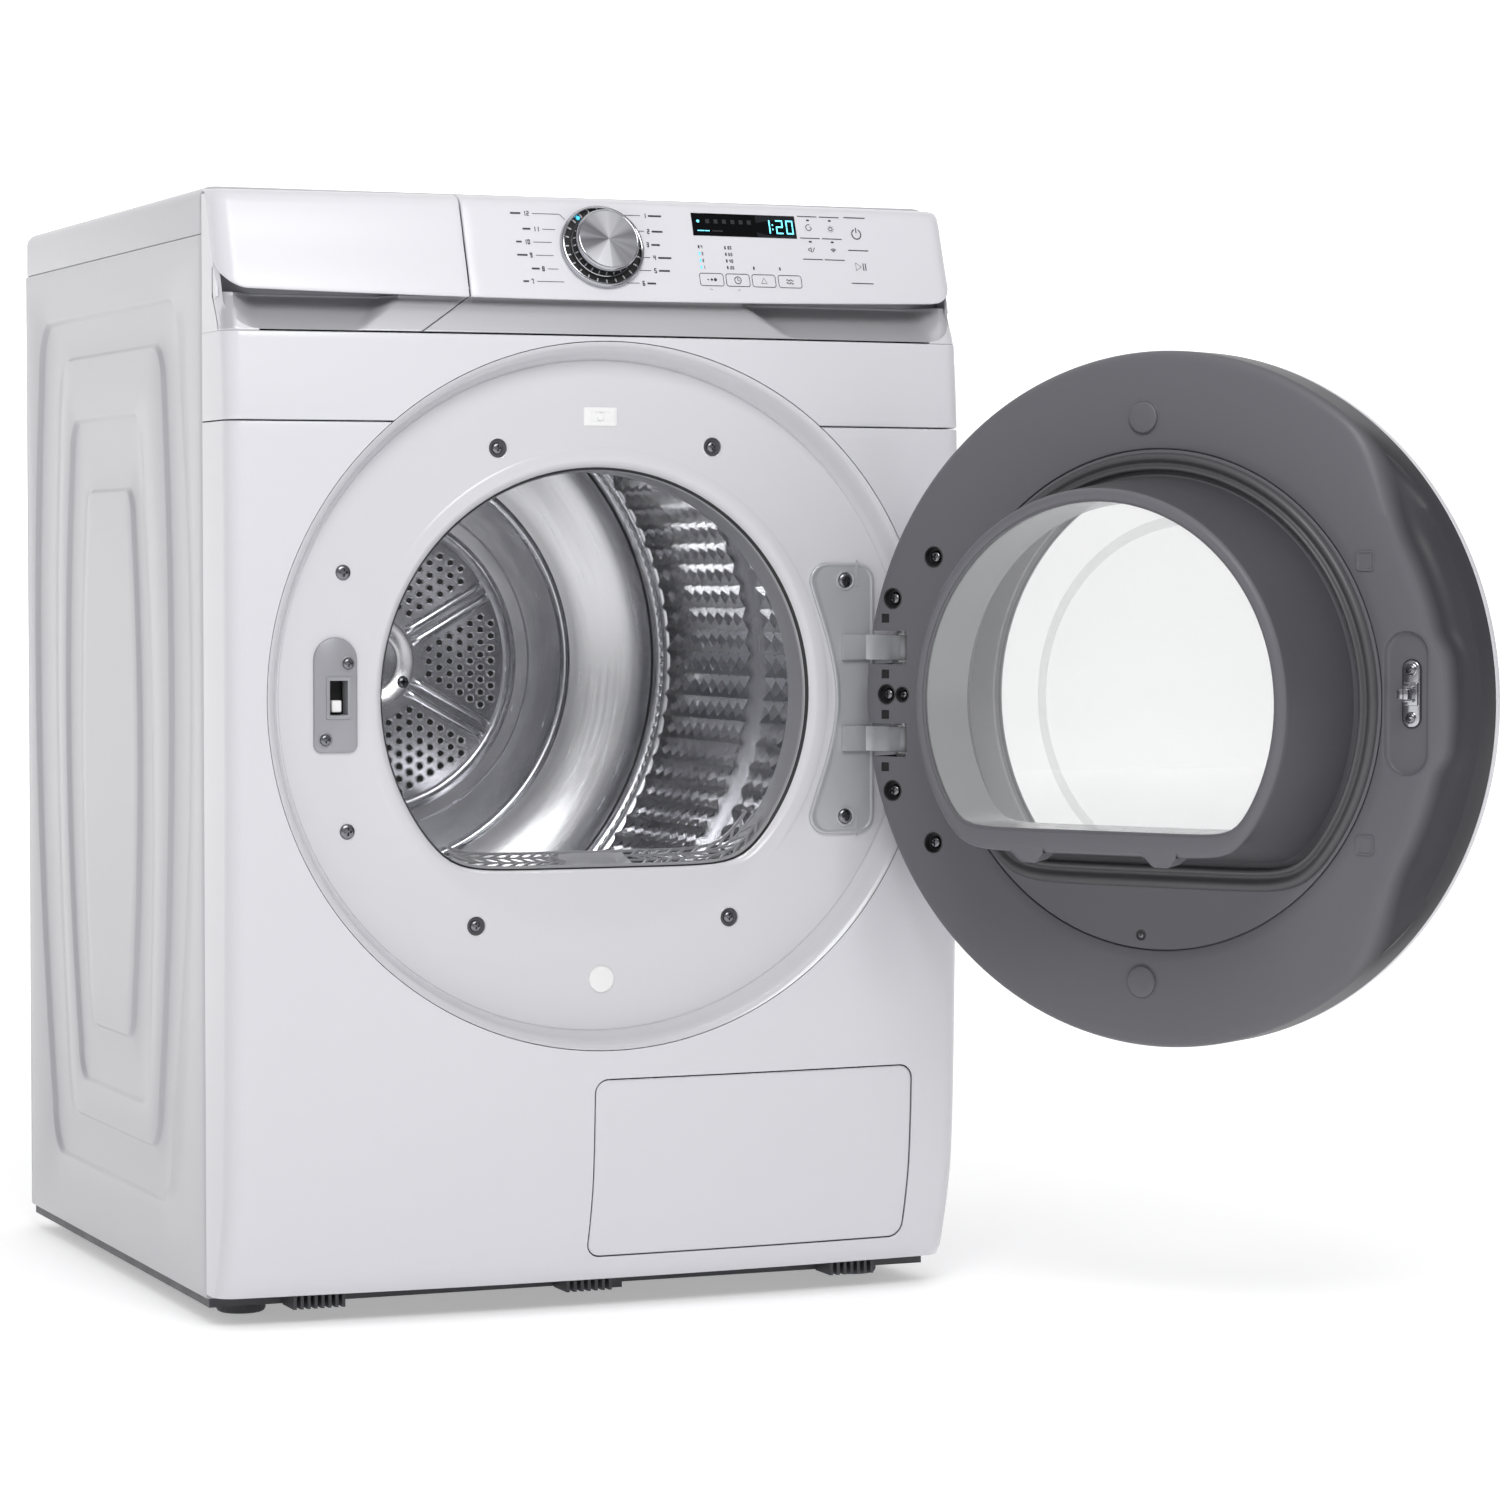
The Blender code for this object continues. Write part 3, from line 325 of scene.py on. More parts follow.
# Painted and moulded surfaces: colour, roughness and settings of finish_of
FINISHES = {
    "front_paint": ((0.825, 0.823, 0.843), 0.30, dict(coat=0.3, cloud=0.003)),
    "fascia_white": ((0.840, 0.838, 0.858), 0.28, dict(grain=1400, cloud=0.003)),
    # Side paint: the front's white made darker as painted shade for the sides, top and rear, which get less
    # light.
    "side_paint": ((0.715, 0.713, 0.733), 0.34, dict(coat=0.25, cloud=0.004)),
    "dish_plastic": ((0.815, 0.813, 0.830), 0.16, dict(grain=1100, grain_depth=0.000008, cloud=0.003)),
    "white_plastic": ((0.92, 0.92, 0.92), 0.35, {}),
    "grey_plastic": ((0.745, 0.743, 0.76), 0.33, dict(metallic=0.3, grain=2200, cloud=0.008)),
    "latch_plastic": ((0.60, 0.60, 0.62), 0.38, dict(metallic=0.2, grain=1800)),
    "dark_plastic": ((0.27, 0.27, 0.29), 0.5, dict(grain=1200, grain_depth=0.00006, cloud=0.06)),
    "black_plastic": ((0.08, 0.08, 0.09), 0.45, dict(grain=1200, cloud=0.1)),
    "tank_plastic": ((0.86, 0.88, 0.90), 0.3, dict(cloud=0.03)),
    "lifter_plastic": ((0.62, 0.63, 0.65), 0.4, dict(grain=1000, grain_depth=0.00006)),
    "rubber": ((0.17, 0.17, 0.18), 0.62, dict(grain=700, grain_depth=0.00008, cloud=0.08)),
    "hinge_metal": ((0.72, 0.725, 0.74), 0.36, dict(metallic=0.3, grain=1600, cloud=0.01)),
    # Painted light: lit, mid and shaded copies of the drum steel, given to the facets by the side they face.
    "facet_light": ((0.88, 0.88, 0.89), 0.17, dict(metallic=1.0, cloud=0.03)),
    "facet_painted_shade": ((0.46, 0.46, 0.475), 0.22, dict(metallic=1.0, cloud=0.06)),
    "facet_flat": ((0.72, 0.72, 0.735), 0.20, dict(metallic=1.0, cloud=0.06)),
    "screw_steel": ((0.50, 0.50, 0.52), 0.26, dict(metallic=1.0, cloud=0.05)),
    "filter_grey": ((0.56, 0.56, 0.575), 0.36, dict(grain=1500, cloud=0.03)),
    # Painted shade: a darker copy of the door's grey for the bowl's side walls and the floors of the dish's
    # screw wells.
    "bowl_painted_shade": ((0.300, 0.298, 0.315), 0.38, dict(grain=1500, grain_depth=0.00004, cloud=0.03)),
    "galvanised": ((0.66, 0.67, 0.68), 0.42, dict(metallic=0.9, grain=120, cloud=0.12)),
    "chrome": ((0.70, 0.70, 0.72), 0.14, dict(metallic=1.0, cloud=0.02)),
    "circuit_green": ((0.10, 0.35, 0.18), 0.5, dict(grain=300, cloud=0.15)),
    "lamp_lens": ((0.95, 0.95, 0.90), 0.15, {}),
    "ink": ((0.20, 0.20, 0.215), 0.5, {}),
    "tunnel_grey": ((0.60, 0.60, 0.615), 0.30, dict(metallic=0.4, cloud=0.01)),
    # Painted shade: a dark grey for recesses, grooves, holes and the sheet under the filter lattice.
    "well_grey": ((0.16, 0.16, 0.17), 0.5, dict(cloud=0.06)),
    "gasket": ((0.30, 0.298, 0.312), 0.42, dict(grain=1500, grain_depth=0.00003, cloud=0.04)),
    # Black for the indicator windows, and painted shade: black sheets and rings standing in for the shade in
    # holes, slots and gaps.
    "hole_black": ((0.05, 0.05, 0.055), 0.6, {}),
}


def make_materials():
    """Every material of the scene by name; names that are slots are those of the CAD record."""
    made = {name: finish_of(name, colour, roughness, **more)
            for name, (colour, roughness, more) in FINISHES.items()}
    made.update({
        # Door grey with painted shade that darkens it behind the door's inner face.
        "door_grey": painted_depth_shade("door_grey", (0.392, 0.389, 0.409), (0.205, 0.202, 0.220)),
        "felt": woven("felt", (0.55, 0.54, 0.52)),
        "steel": brushed("steel", (0.78, 0.78, 0.79), 0.28, (6, 1, 6), 90),
        "drum_steel": brushed("drum_steel", (0.82, 0.82, 0.835), 0.24, (1.2, 260, 1), 3.0, 0.000006,
                              round_axis=DRUM_AXIS),
        "aluminium": brushed("aluminium", (0.80, 0.80, 0.81), 0.36, (1, 1, 12), 60),
        "spun_metal": spun_with_painted_sheen("spun_metal"),
        "display_glass": dull(finish_of("display_glass", (0.03, 0.032, 0.04), 0.12, grain=600,
                                        grain_depth=0.000002, cloud=0.05)),
        "glass": clear("glass", (0.80, 0.805, 0.81), 0.11),
        "digits": glowing("digits", (0.42, 0.86, 0.95), 1.6),
        "led_blue": glowing("led_blue", (0.25, 0.72, 0.86), 1.0),
        "dark_glass": dull(finish_of("dark_glass", (0.13, 0.135, 0.15), 0.15, grain=600,
                                     grain_depth=0.000002, cloud=0.05)),
        "dim_grey": dull(finish_of("dim_grey", (0.20, 0.205, 0.215), 0.3)),
        "smoked": clear("smoked", (0.66, 0.665, 0.675), 0.86, 0.22),
    })
    return made


MATS = make_materials()


# ---------------------------------------------------------------- mesh helpers

def add_mesh(name, points, faces, material, body=None, slot=None, replaces=(), sharp=35):
    """A new piece from points and faces, riding on its body."""
    mesh = bpy.data.meshes.new(name)
    mesh.from_pydata([tuple(point) for point in points], [], faces)
    work = bmesh.new()
    work.from_mesh(mesh)
    bmesh.ops.recalc_face_normals(work, faces=work.faces)
    work.to_mesh(mesh)
    work.free()
    mesh.materials.append(MATS[material])
    mesh.shade_smooth()
    mesh.set_sharp_from_angle(angle=math.radians(sharp))
    piece = bpy.data.objects.new(name, mesh)
    bpy.context.scene.collection.objects.link(piece)
    if body:
        settle(piece, body, replaces)
    return piece


def settle(piece, body, replaces=()):
    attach(piece, body)
    if replaces:
        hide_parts(*replaces)


def bridge(loops, ring=False, caps=True):
    """Faces between consecutive closed loops of equal length."""
    count = len(loops[0])
    points = [point for loop in loops for point in loop]
    faces = []
    pairs = list(zip(range(len(loops) - 1), range(1, len(loops))))
    if ring:
        pairs.append((len(loops) - 1, 0))
    for a, b in pairs:
        for i in range(count):
            j = (i + 1) % count
            faces.append((a * count + i, a * count + j, b * count + j, b * count + i))
    if caps and not ring:
        faces.append(tuple(range(count)))
        faces.append(tuple((len(loops) - 1) * count + i for i in range(count)))
    return points, faces


def grid(rows):
    """Faces of an open grid of rows of points."""
    width = len(rows[0])
    points = [point for row in rows for point in row]
    faces = []
    for a in range(len(rows) - 1):
        for i in range(width - 1):
            faces.append((a * width + i, a * width + i + 1, (a + 1) * width + i + 1, (a + 1) * width + i))
    return points, faces


def add_loops(name, loops, material, body=None, slot=None, replaces=(), ring=False, caps=True, sharp=35):
    """A new piece skinned over closed loops."""
    points, faces = bridge(loops, ring, caps)
    return add_mesh(name, points, faces, material, body, slot, replaces, sharp)


def turned_loops(profile, centre, axis, count=48):
    """Circles from a profile of (radius, height along the axis)."""
    first, second, along = basis(axis)
    loops = []
    for radius, height in profile:
        loop = []
        for i in range(count):
            angle = math.tau * i / count
            loop.append(Vector(centre) + along * height
                        + (first * math.cos(angle) + second * math.sin(angle)) * radius)
        loops.append(loop)
    return loops


def add_turned(name, profile, centre, axis, material, body=None, slot=None, replaces=(), ring=False,
               count=48, sharp=35, caps=True):
    """A new piece turned from a profile of (radius, height along the axis)."""
    return add_loops(name, turned_loops(profile, centre, axis, count), material, body, slot, replaces, ring,
                     caps and not ring, sharp)


def tint(piece, material, chosen):
    """Gives the faces that chosen(centre, normal) picks another material."""
    mesh = piece.data
    mesh.materials.append(MATS[material])
    for face in mesh.polygons:
        if chosen(face.center, face.normal):
            face.material_index = len(mesh.materials) - 1


def join_parts(parts):
    """Puts several (points, faces) lists together as one."""
    points, faces = [], []
    for more_points, more_faces in parts:
        start = len(points)
        points += list(more_points)
        faces += [tuple(start + index for index in face) for face in more_faces]
    return points, faces


def evaluated(piece):
    """Applies the piece's modifiers to its mesh."""
    graph = bpy.context.evaluated_depsgraph_get()
    mesh = bpy.data.meshes.new_from_object(piece.evaluated_get(graph))
    piece.modifiers.clear()
    old = piece.data
    piece.data = mesh
    bpy.data.meshes.remove(old)
    return piece


def cut(piece, *cutters, sharp=35):
    """Takes cutters away from a piece, and removes them."""
    for cutter in cutters:
        modifier = piece.modifiers.new(cutter.name, "BOOLEAN")
        modifier.operation = "DIFFERENCE"
        modifier.object = cutter
    evaluated(piece)
    for cutter in cutters:
        bpy.data.objects.remove(cutter)
    piece.data.shade_smooth()
    piece.data.set_sharp_from_angle(angle=math.radians(sharp))
    return piece


def add_box(name, low, high, material, body=None, replaces=(), bevel=0.0):
    """A box, with rounded edges where it has a bevel."""
    corners = [(x, y, z) for x in (low[0], high[0]) for y in (low[1], high[1]) for z in (low[2], high[2])]
    faces = [(0, 1, 3, 2), (4, 6, 7, 5), (0, 4, 5, 1), (2, 3, 7, 6), (0, 2, 6, 4), (1, 5, 7, 3)]
    piece = add_mesh(name, corners, faces, material)
    if bevel:
        rounding = piece.modifiers.new("rounded", "BEVEL")
        rounding.width = bevel
        rounding.segments = 3
        evaluated(piece)
        piece.data.shade_smooth()
        piece.data.set_sharp_from_angle(angle=math.radians(50))
    if body:
        settle(piece, body, replaces)
    return piece


def rounded_rectangle(left, right, low, high, radius, steps=6):
    """Corner-rounded outline, as (u, v) points."""
    outline = []
    for cx, cz, start in ((right - radius, high - radius, 0), (left + radius, high - radius, 90),
                          (left + radius, low + radius, 180), (right - radius, low + radius, 270)):
        for i in range(steps + 1):
            angle = math.radians(start + 90 * i / steps)
            outline.append((cx + radius * math.cos(angle), cz + radius * math.sin(angle)))
    return outline


def smooth(value):
    value = min(1.0, max(0.0, value))
    return value * value * (3 - 2 * value)


def ramp(value, start, end):
    return smooth((value - start) / (end - start))


# ---------------------------------------------------------------- front surface

def read(profile, height):
    """How far forward a profile stands at a height, along a smooth curve through its points."""
    if height <= profile[0][0]:
        return profile[0][1]
    last = len(profile) - 1
    slopes = []
    for i in range(last + 1):
        before, after = profile[max(0, i - 1)], profile[min(last, i + 1)]
        slopes.append((after[1] - before[1]) / (after[0] - before[0]))
    for i in range(last):
        (low, first), (high, second) = profile[i], profile[i + 1]
        if height <= high:
            span = high - low
            t = (height - low) / span
            return ((2 * t**3 - 3 * t**2 + 1) * first + (t**3 - 2 * t**2 + t) * span * slopes[i]
                    + (3 * t**2 - 2 * t**3) * second + (t**3 - t**2) * span * slopes[i + 1])
    return profile[-1][1]


def bow(x):
    """How far the bowed face stands in front of its corners."""
    return FACE_BOW * (1 - (x / HALF_WIDTH) ** 2)


def front_y(x, z, profile=FRONT_PROFILE):
    """Y of the front surface at (x, z)."""
    return SIDE_FRONT - read(profile, z) - bow(x)


def fascia_y(x, z):
    return front_y(x, z, FASCIA_PROFILE)


def edged(low, high, count, lip):
    """Steps from low to high, with close ones where both ends are rounded."""
    inner = [low + lip + (high - low - 2 * lip) * i / count for i in range(count + 1)]
    return [low, low + lip * 0.12, low + lip * 0.45] + inner + [high - lip * 0.45, high - lip * 0.12, high]


def rolled(distance, lip):
    """How far a rounded edge of that radius falls back, at a distance from the edge."""
    if distance >= lip:
        return 0.0
    return lip - math.sqrt(lip * lip - (lip - max(0.0, distance)) ** 2)


def front_line(z, forward, stations, inset, dent, wall):
    """One height's points: side wall, round corner, bowed face, round corner, side wall."""
    half = HALF_WIDTH - inset
    radius = CORNER - inset
    reach = max(forward, 0.0005)
    radius_y = min(radius, reach)
    line = []
    for kind, value in stations:
        if kind == "face":
            line.append(Vector((value, SIDE_FRONT - reach - bow(value) + dent(value, z), z)))
        else:
            side = -1 if kind == "left" else 1
            if value is None:
                back = 0.0 if wall is None else max(0.0, reach - wall)
                line.append(Vector((side * half, SIDE_FRONT - back, z)))
            else:
                x = side * (half - radius * (1 - math.cos(value)))
                line.append(Vector((x, SIDE_FRONT - reach - bow(x) + radius_y * (1 - math.sin(value)), z)))
    return line


def thick(outer, inner):
    """Closed solid between two grids of rows of the same shape."""
    rows, width = len(outer), len(outer[0])
    points = [p for row in outer for p in row] + [p for row in inner for p in row]
    start = rows * width
    faces = []
    for a in range(rows - 1):
        for i in range(width - 1):
            k = a * width + i
            faces.append((k, k + 1, k + width + 1, k + width))
            faces.append((start + k, start + k + width, start + k + width + 1, start + k + 1))
        for k in (a * width, a * width + width - 1):
            faces.append((k, k + width, start + k + width, start + k))
    for a in (0, rows - 1):
        for i in range(width - 1):
            k = a * width + i
            faces.append((k, k + 1, start + k + 1, start + k))
    return points, faces


def skin(name, profile, low, high, left, right, material, body=None, replaces=(), columns=56, rows=24,
         dent=lambda x, z: 0.0, lift=0.0, thickness=0.0022, wall=None, low_of=None, ends_of=None,
         lip=0.0014, slot=None):
    """A curved front panel with rolled edges. It wraps round the cabinet's corners where it reaches them."""
    wraps_left, wraps_right = left <= -HALF_WIDTH, right >= HALF_WIDTH
    face_left = -HALF_WIDTH + CORNER if wraps_left else left
    face_right = HALF_WIDTH - CORNER if wraps_right else right
    turns = [math.pi / 2 * i / 8 for i in range(8)]
    stations = []
    if wraps_left:
        stations += [("left", None)] + [("left", turn) for turn in turns]
    stations += [("face", x) for x in edged(face_left, face_right, columns, lip)]
    if wraps_right:
        stations += [("right", turn) for turn in reversed(turns)] + [("right", None)]
    outer, inner = [], []
    for z in edged(low, high, rows, lip):
        fall = max(rolled(z - low, lip), rolled(high - z, lip))
        lines = []
        for inset in (0.0, thickness):
            line = front_line(z, read(profile, z) + lift - fall * (inset == 0) - inset, stations, inset,
                              dent, wall)
            for point in line:
                share = (z - low) / (high - low)
                from_left, from_right = point.x - left, right - point.x
                if ends_of:
                    start, end = ends_of(z)
                    x = start + from_left * (end - start) / (right - left)
                    point.y += bow(point.x) - bow(x) + dent(x, z) - dent(point.x, z)
                    point.x = x
                if low_of:
                    z_here = low_of(point.x) + (high - low_of(point.x)) * share
                    point.y += read(profile, z) - read(profile, z_here)
                    point.z = z_here
                if inset == 0 and not wraps_left:
                    point.y += rolled(from_left, lip)
                if inset == 0 and not wraps_right:
                    point.y += rolled(from_right, lip)
            lines.append(line)
        outer.append(lines[0])
        inner.append(lines[1])
    points, faces = thick(outer, inner)
    return add_mesh(name, points, faces, material, body, slot, replaces, 40)


def on_front(outline, offset, profile=FRONT_PROFILE):
    """An outline of (x, z) points laid on the front surface, standing off it."""
    return [Vector((x, front_y(x, z, profile) - offset, z)) for x, z in outline]


def scaled(outline, factor, centre):
    return [(centre[0] + (x - centre[0]) * factor, centre[1] + (z - centre[1]) * factor)
            for x, z in outline]


# ---------------------------------------------------------------- cabinet

def disc_cutter(name, radius, y_low, y_high, count=160, height=AXIS):
    """A round cutter along Y."""
    profile = ((radius, y_low), (radius, y_high))
    return add_turned(name, profile, (0, 0, height), (0, 1, 0), "hole_black", count=count)


def make_front_panels():
    """Lower and upper front, the frame of the fascia, and the walls of the finger pockets."""
    lower = skin("lower_front", FRONT_PROFILE, 0.026, UPPER_SEAM - SEAM / 2, -HALF_WIDTH, HALF_WIDTH,
                 "front_paint",
                 columns=72, rows=80)
    opening = rounded_rectangle(FLAP[0] - 0.0012, FLAP[1] + 0.0012, FLAP[2] - 0.0012, FLAP[3] + 0.0012,
                                0.0132, 8)
    prism = [[Vector((x, y, z)) for x, z in opening] for y in (-0.45, -0.33)]
    cut(lower, disc_cutter("dish_cut", DISH_RIM + 0.0007, -0.6, -0.33),
        add_loops("flap_cut", prism, "hole_black"))
    settle(lower, "cabinet", ("front_panel",))
    upper = skin("upper_front", FRONT_PROFILE, UPPER_SEAM + SEAM / 2, 0.857, -HALF_WIDTH, HALF_WIDTH,
                 "front_paint",
                 columns=72, rows=14)
    cut(upper, disc_cutter("dish_cut_upper", DISH_RIM + 0.0007, -0.6, -0.33))
    settle(upper, "cabinet", ("front_panel_upper",))
    for side, word in ((-1, "left"), (1, "right")):
        outer, inner = [], []
        for i in range(25):
            z = 0.8572 + (0.9765 - 0.8572) * i / 24
            profile = BAND_PROFILE if z < 0.886 else FASCIA_PROFILE
            front = SIDE_FRONT - max(0.001, read(profile, z) - FRAME_LIP - 0.0006)
            depths = [SIDE_FRONT + (front - SIDE_FRONT) * j / 4 for j in range(5)]
            outer.append([Vector((side * HALF_WIDTH, y, z)) for y in depths])
            inner.append([Vector((side * (HALF_WIDTH - 0.002), y, z)) for y in depths])
        add_mesh(f"fascia_frame_{word}", *thick(outer, inner), "front_paint", "cabinet")
        body = "tank_drawer" if side < 0 else "cabinet"
        # Painted shade: a darker sheet behind each finger pocket, where shade falls under the fascia.
        line = [side * (HALF_WIDTH - 0.0030 - 0.200 * j / 16) for j in range(17)]
        rows = [[Vector((x, SIDE_FRONT - 0.0252 - bow(x), z)) for x in line]
                for z in (0.8880, 0.9000, 0.9130, 0.9260)]
        backs = [[point + Vector((0, 0.001, 0)) for point in row] for row in rows]
        add_mesh(f"fascia_back_{word}", *thick(rows, backs), "latch_plastic", body)
        make_band_corner(side, word, body)


def make_band_corner(side, word, body):
    """White corner of the front beside a finger pocket: it ends in a quarter-round edge."""
    strip, round_end, low, high = 0.0045, 0.026, 0.8573, 0.9120
    stations = [("left", None)] + [("left", math.pi / 2 * i / 10) for i in range(10)]
    stations += [("face", -HALF_WIDTH + CORNER + 0.0145 * i / 8) for i in range(9)]

    def top(x):
        inside = HALF_WIDTH - strip - abs(x)
        if inside <= 0:
            return high
        return low + 0.0016 + round_end - math.sqrt(max(0.0,
                round_end**2 - (round_end - min(inside, round_end))**2))

    columns = []
    for j in range(len(stations)):
        reference = front_line(low, read(BAND_PROFILE, low), stations, 0.0, lambda x, z: 0.0, FRAME_LIP)[j]
        column = []
        for i in range(13):
            z = low + (top(reference.x) - low) * i / 12
            forward = read(BAND_PROFILE, z) + 0.0004
            column.append(front_line(z, forward, stations, 0.0, lambda x, z: 0.0, FRAME_LIP)[j])
        columns.append(column)
    outer = [[Vector((-side * point.x, point.y, point.z)) for point in column] for column in columns]
    inner = [[point + Vector((-side * 0.0004, 0.0022, 0)) for point in column] for column in outer]
    add_mesh(f"band_corner_{word}", *thick(outer, inner), "front_paint", body, sharp=40)


def make_flap():
    """Service flap: a rounded rectangle of the front surface, with rolled edges."""
    left, right, low, high = FLAP
    outline = rounded_rectangle(left, right, low, high, 0.012, 8)
    middle = ((left + right) / 2, (low + high) / 2)
    dense = []
    for (x0, z0), (x1, z1) in zip(outline, outline[1:] + outline[:1]):
        steps = max(1, int(math.hypot(x1 - x0, z1 - z0) / 0.012))
        dense += [(x0 + (x1 - x0) * i / steps, z0 + (z1 - z0) * i / steps) for i in range(steps)]
    loops = []
    for depth, inset in ((0.0022, 0.0004), (0.0012, 0), (0.0004, 0.0003), (0, 0.0013)):
        shrunk = [(x - math.copysign(min(inset, abs(x - middle[0])), x - middle[0]),
                   z - math.copysign(min(inset, abs(z - middle[1])), z - middle[1])) for x, z in dense]
        loops.append(on_front(shrunk, -depth))
    for factor in (0.97, 0.9, 0.8, 0.68, 0.55, 0.42, 0.3, 0.18, 0.08):
        loops.append(on_front(scaled(dense, factor, middle), 0))
    loops.reverse()
    add_loops("flap_skin", loops, "front_paint", "flap", replaces=("service_flap",), sharp=50)


def side_outline(top, bottom, top_span, mid_span, bottom_span, radius, steps=10):
    """Barrel-shaped outline on a side panel, as (y, z): bowed sides, straight ends, round corners."""
    def edge(values, z):
        t = (z - bottom) / (top - bottom)
        low, mid, high = values
        return low * (1 - t) * (1 - 2 * t) + 4 * mid * t * (1 - t) + high * t * (2 * t - 1)

    front = lambda z: edge((bottom_span[0], mid_span[0], top_span[0]), z)
    rear = lambda z: edge((bottom_span[1], mid_span[1], top_span[1]), z)
    outline = []
    for i in range(25):
        z = bottom + radius + (top - bottom - 2 * radius) * i / 24
        outline.append((front(z), z))
    for side, line in ((1, front), (-1, rear)):
        z = top - radius
        start = line(z)
        turns = range(1, steps) if side > 0 else range(steps - 1, 0, -1)
        if side < 0:
            y_from, y_to = front(z) + radius * 0.85, start - radius * 0.85
            outline += [(y_from + (y_to - y_from) * i / 14, top) for i in range(15)]
        for i in turns:
            angle = math.pi / 2 * i / steps
            outline.append((start + side * radius * 0.85 * (1 - math.cos(angle)),
                            z + radius * math.sin(angle)))
    for i in range(25):
        z = top - radius - (top - bottom - 2 * radius) * i / 24
        outline.append((rear(z), z))
    z = bottom + radius
    for side, start in ((-1, rear(z)), (1, front(z))):
        turns = range(1, steps) if side < 0 else range(steps - 1, 0, -1)
        if side > 0:
            y_from, y_to = rear(z) - radius * 0.85, start + radius * 0.85
            outline += [(y_from + (y_to - y_from) * i / 14, bottom) for i in range(15)]
        for i in turns:
            angle = math.pi / 2 * i / steps
            outline.append((start + side * radius * 0.85 * (1 - math.cos(angle)),
                            z - radius * math.sin(angle)))
    return outline


def inset_outline(outline, distance):
    """Moves each point of a closed outline inward along its own normal."""
    count = len(outline)
    area = sum(outline[i][0] * outline[(i + 1) % count][1] - outline[(i + 1) % count][0] * outline[i][1]
               for i in range(count))
    sense = 1 if area > 0 else -1
    moved = []
    for i in range(count):
        (x0, z0), (x1, z1) = outline[i - 1], outline[(i + 1) % count]
        length = math.hypot(x1 - x0, z1 - z0) or 1.0
        moved.append((outline[i][0] - sense * (z1 - z0) / length * distance,
                      outline[i][1] + sense * (x1 - x0) / length * distance))
    return moved


PRESSINGS = (
    (0.894, 0.086, (0.086, 0.582), (0.039, 0.611), (0.130, 0.540), 0.048),
    (0.857, 0.131, (0.140, 0.504), (0.113, 0.528), (0.164, 0.480), 0.040),
    (0.797, 0.167, (0.217, 0.464), (0.171, 0.492), (0.199, 0.441), 0.034),
    (0.730, 0.222, (0.246, 0.410), (0.221, 0.433), (0.253, 0.402), 0.028),
)
PRESS_DEPTH = 0.0045
PRESS_STEP = 0.0056


def pressed_loops(outlines, depths, step):
    """Loops of (u, v, depth) that go down and up at nested outlines."""
    loops = []
    depth = 0.0
    for outline, target in zip(outlines, depths):
        for i in range(7):
            t = i / 6
            loops.append([(u, v, depth + (target - depth) * smooth(t))
                          for u, v in inset_outline(outline, step * t)])
        depth = target
    centre = (sum(u for u, v in outlines[-1]) / len(outlines[-1]),
              sum(v for u, v in outlines[-1]) / len(outlines[-1]))
    inner = inset_outline(outlines[-1], step)
    for factor in (0.85, 0.6, 0.3):
        loops.append([(u, v, depth) for u, v in scaled(inner, factor, centre)])
    return loops


def make_side(side, word):
    """Side panel with four nested pressings and folded edges."""
    bottom, top = SIDE_BOTTOM, SIDE_TOP
    front, rear = SIDE_FRONT + 0.0004, HALF_DEPTH - 0.0022
    outlines = []
    for z_top, z_bottom, tops, mids, bottoms, radius in PRESSINGS:
        spans = [tuple(SIDE_FRONT + value for value in span) for span in (tops, mids, bottoms)]
        outlines.append(side_outline(z_top, z_bottom, *spans, radius))
    count = len(outlines[0])
    centre = ((front + rear) / 2, (bottom + top) / 2)

    def border(margin):
        loop = []
        for y, z in outlines[0]:
            dy, dz = y - centre[0], z - centre[1]
            reach_y = (rear - front) / 2 - margin
            reach_z = (top - bottom) / 2 - margin
            factor = min(reach_y / max(abs(dy), 1e-9), reach_z / max(abs(dz), 1e-9))
            loop.append((centre[0] + dy * factor, centre[1] + dz * factor))
        corners = [(sy * reach_y + centre[0], sz * reach_z + centre[1]) for sy in (-1, 1) for sz in (-1, 1)]
        for corner in corners:
            nearest = min(range(count), key=lambda i: math.dist(loop[i], corner))
            loop[nearest] = corner
        return loop

    loops = [[(y, z, 0.0016) for y, z in border(0.0003)], [(y, z, 0.0006) for y, z in border(0.0002)],
             [(y, z, 0.0) for y, z in border(0.0012)], [(y, z, 0.0) for y, z in border(0.012)]]
    loops += pressed_loops(outlines, (PRESS_DEPTH, 0.0006, PRESS_DEPTH, 0.0006), PRESS_STEP)
    placed = [[Vector((side * (HALF_WIDTH - depth), y, z)) for y, z, depth in loop] for loop in loops]
    points, faces = bridge(placed, caps=False)
    faces.append(tuple(range((len(placed) - 1) * count, len(placed) * count)))
    inner = side * (HALF_WIDTH - 0.0100)
    for name_y in (front, rear):
        towards = 1 if name_y == front else -1
        quad = [Vector((side * (HALF_WIDTH - 0.0016), name_y, bottom)),
                Vector((side * (HALF_WIDTH - 0.0016), name_y, top)),
                Vector((side * (HALF_WIDTH - 0.019), name_y, top)),
                Vector((side * (HALF_WIDTH - 0.019), name_y, bottom))]
        start = len(points)
        points += quad + [point + Vector((0, towards * 0.0013, 0)) for point in quad]
        faces += [(start, start + 1, start + 2, start + 3), (start + 4, start + 7, start + 6, start + 5)]
    add_mesh(f"side_skin_{word}", points, faces, "side_paint", "cabinet", replaces=(f"side_panel_{word}",),
             sharp=50)
    liner = ((front + 0.003, bottom), (rear - 0.003, bottom), (rear - 0.003, top), (front + 0.003, top))
    back = [[Vector((x, y, z)) for y, z in liner] for x in (inner, inner - side * 0.0006)]
    add_loops(f"side_liner_{word}", back, "galvanised", "cabinet")


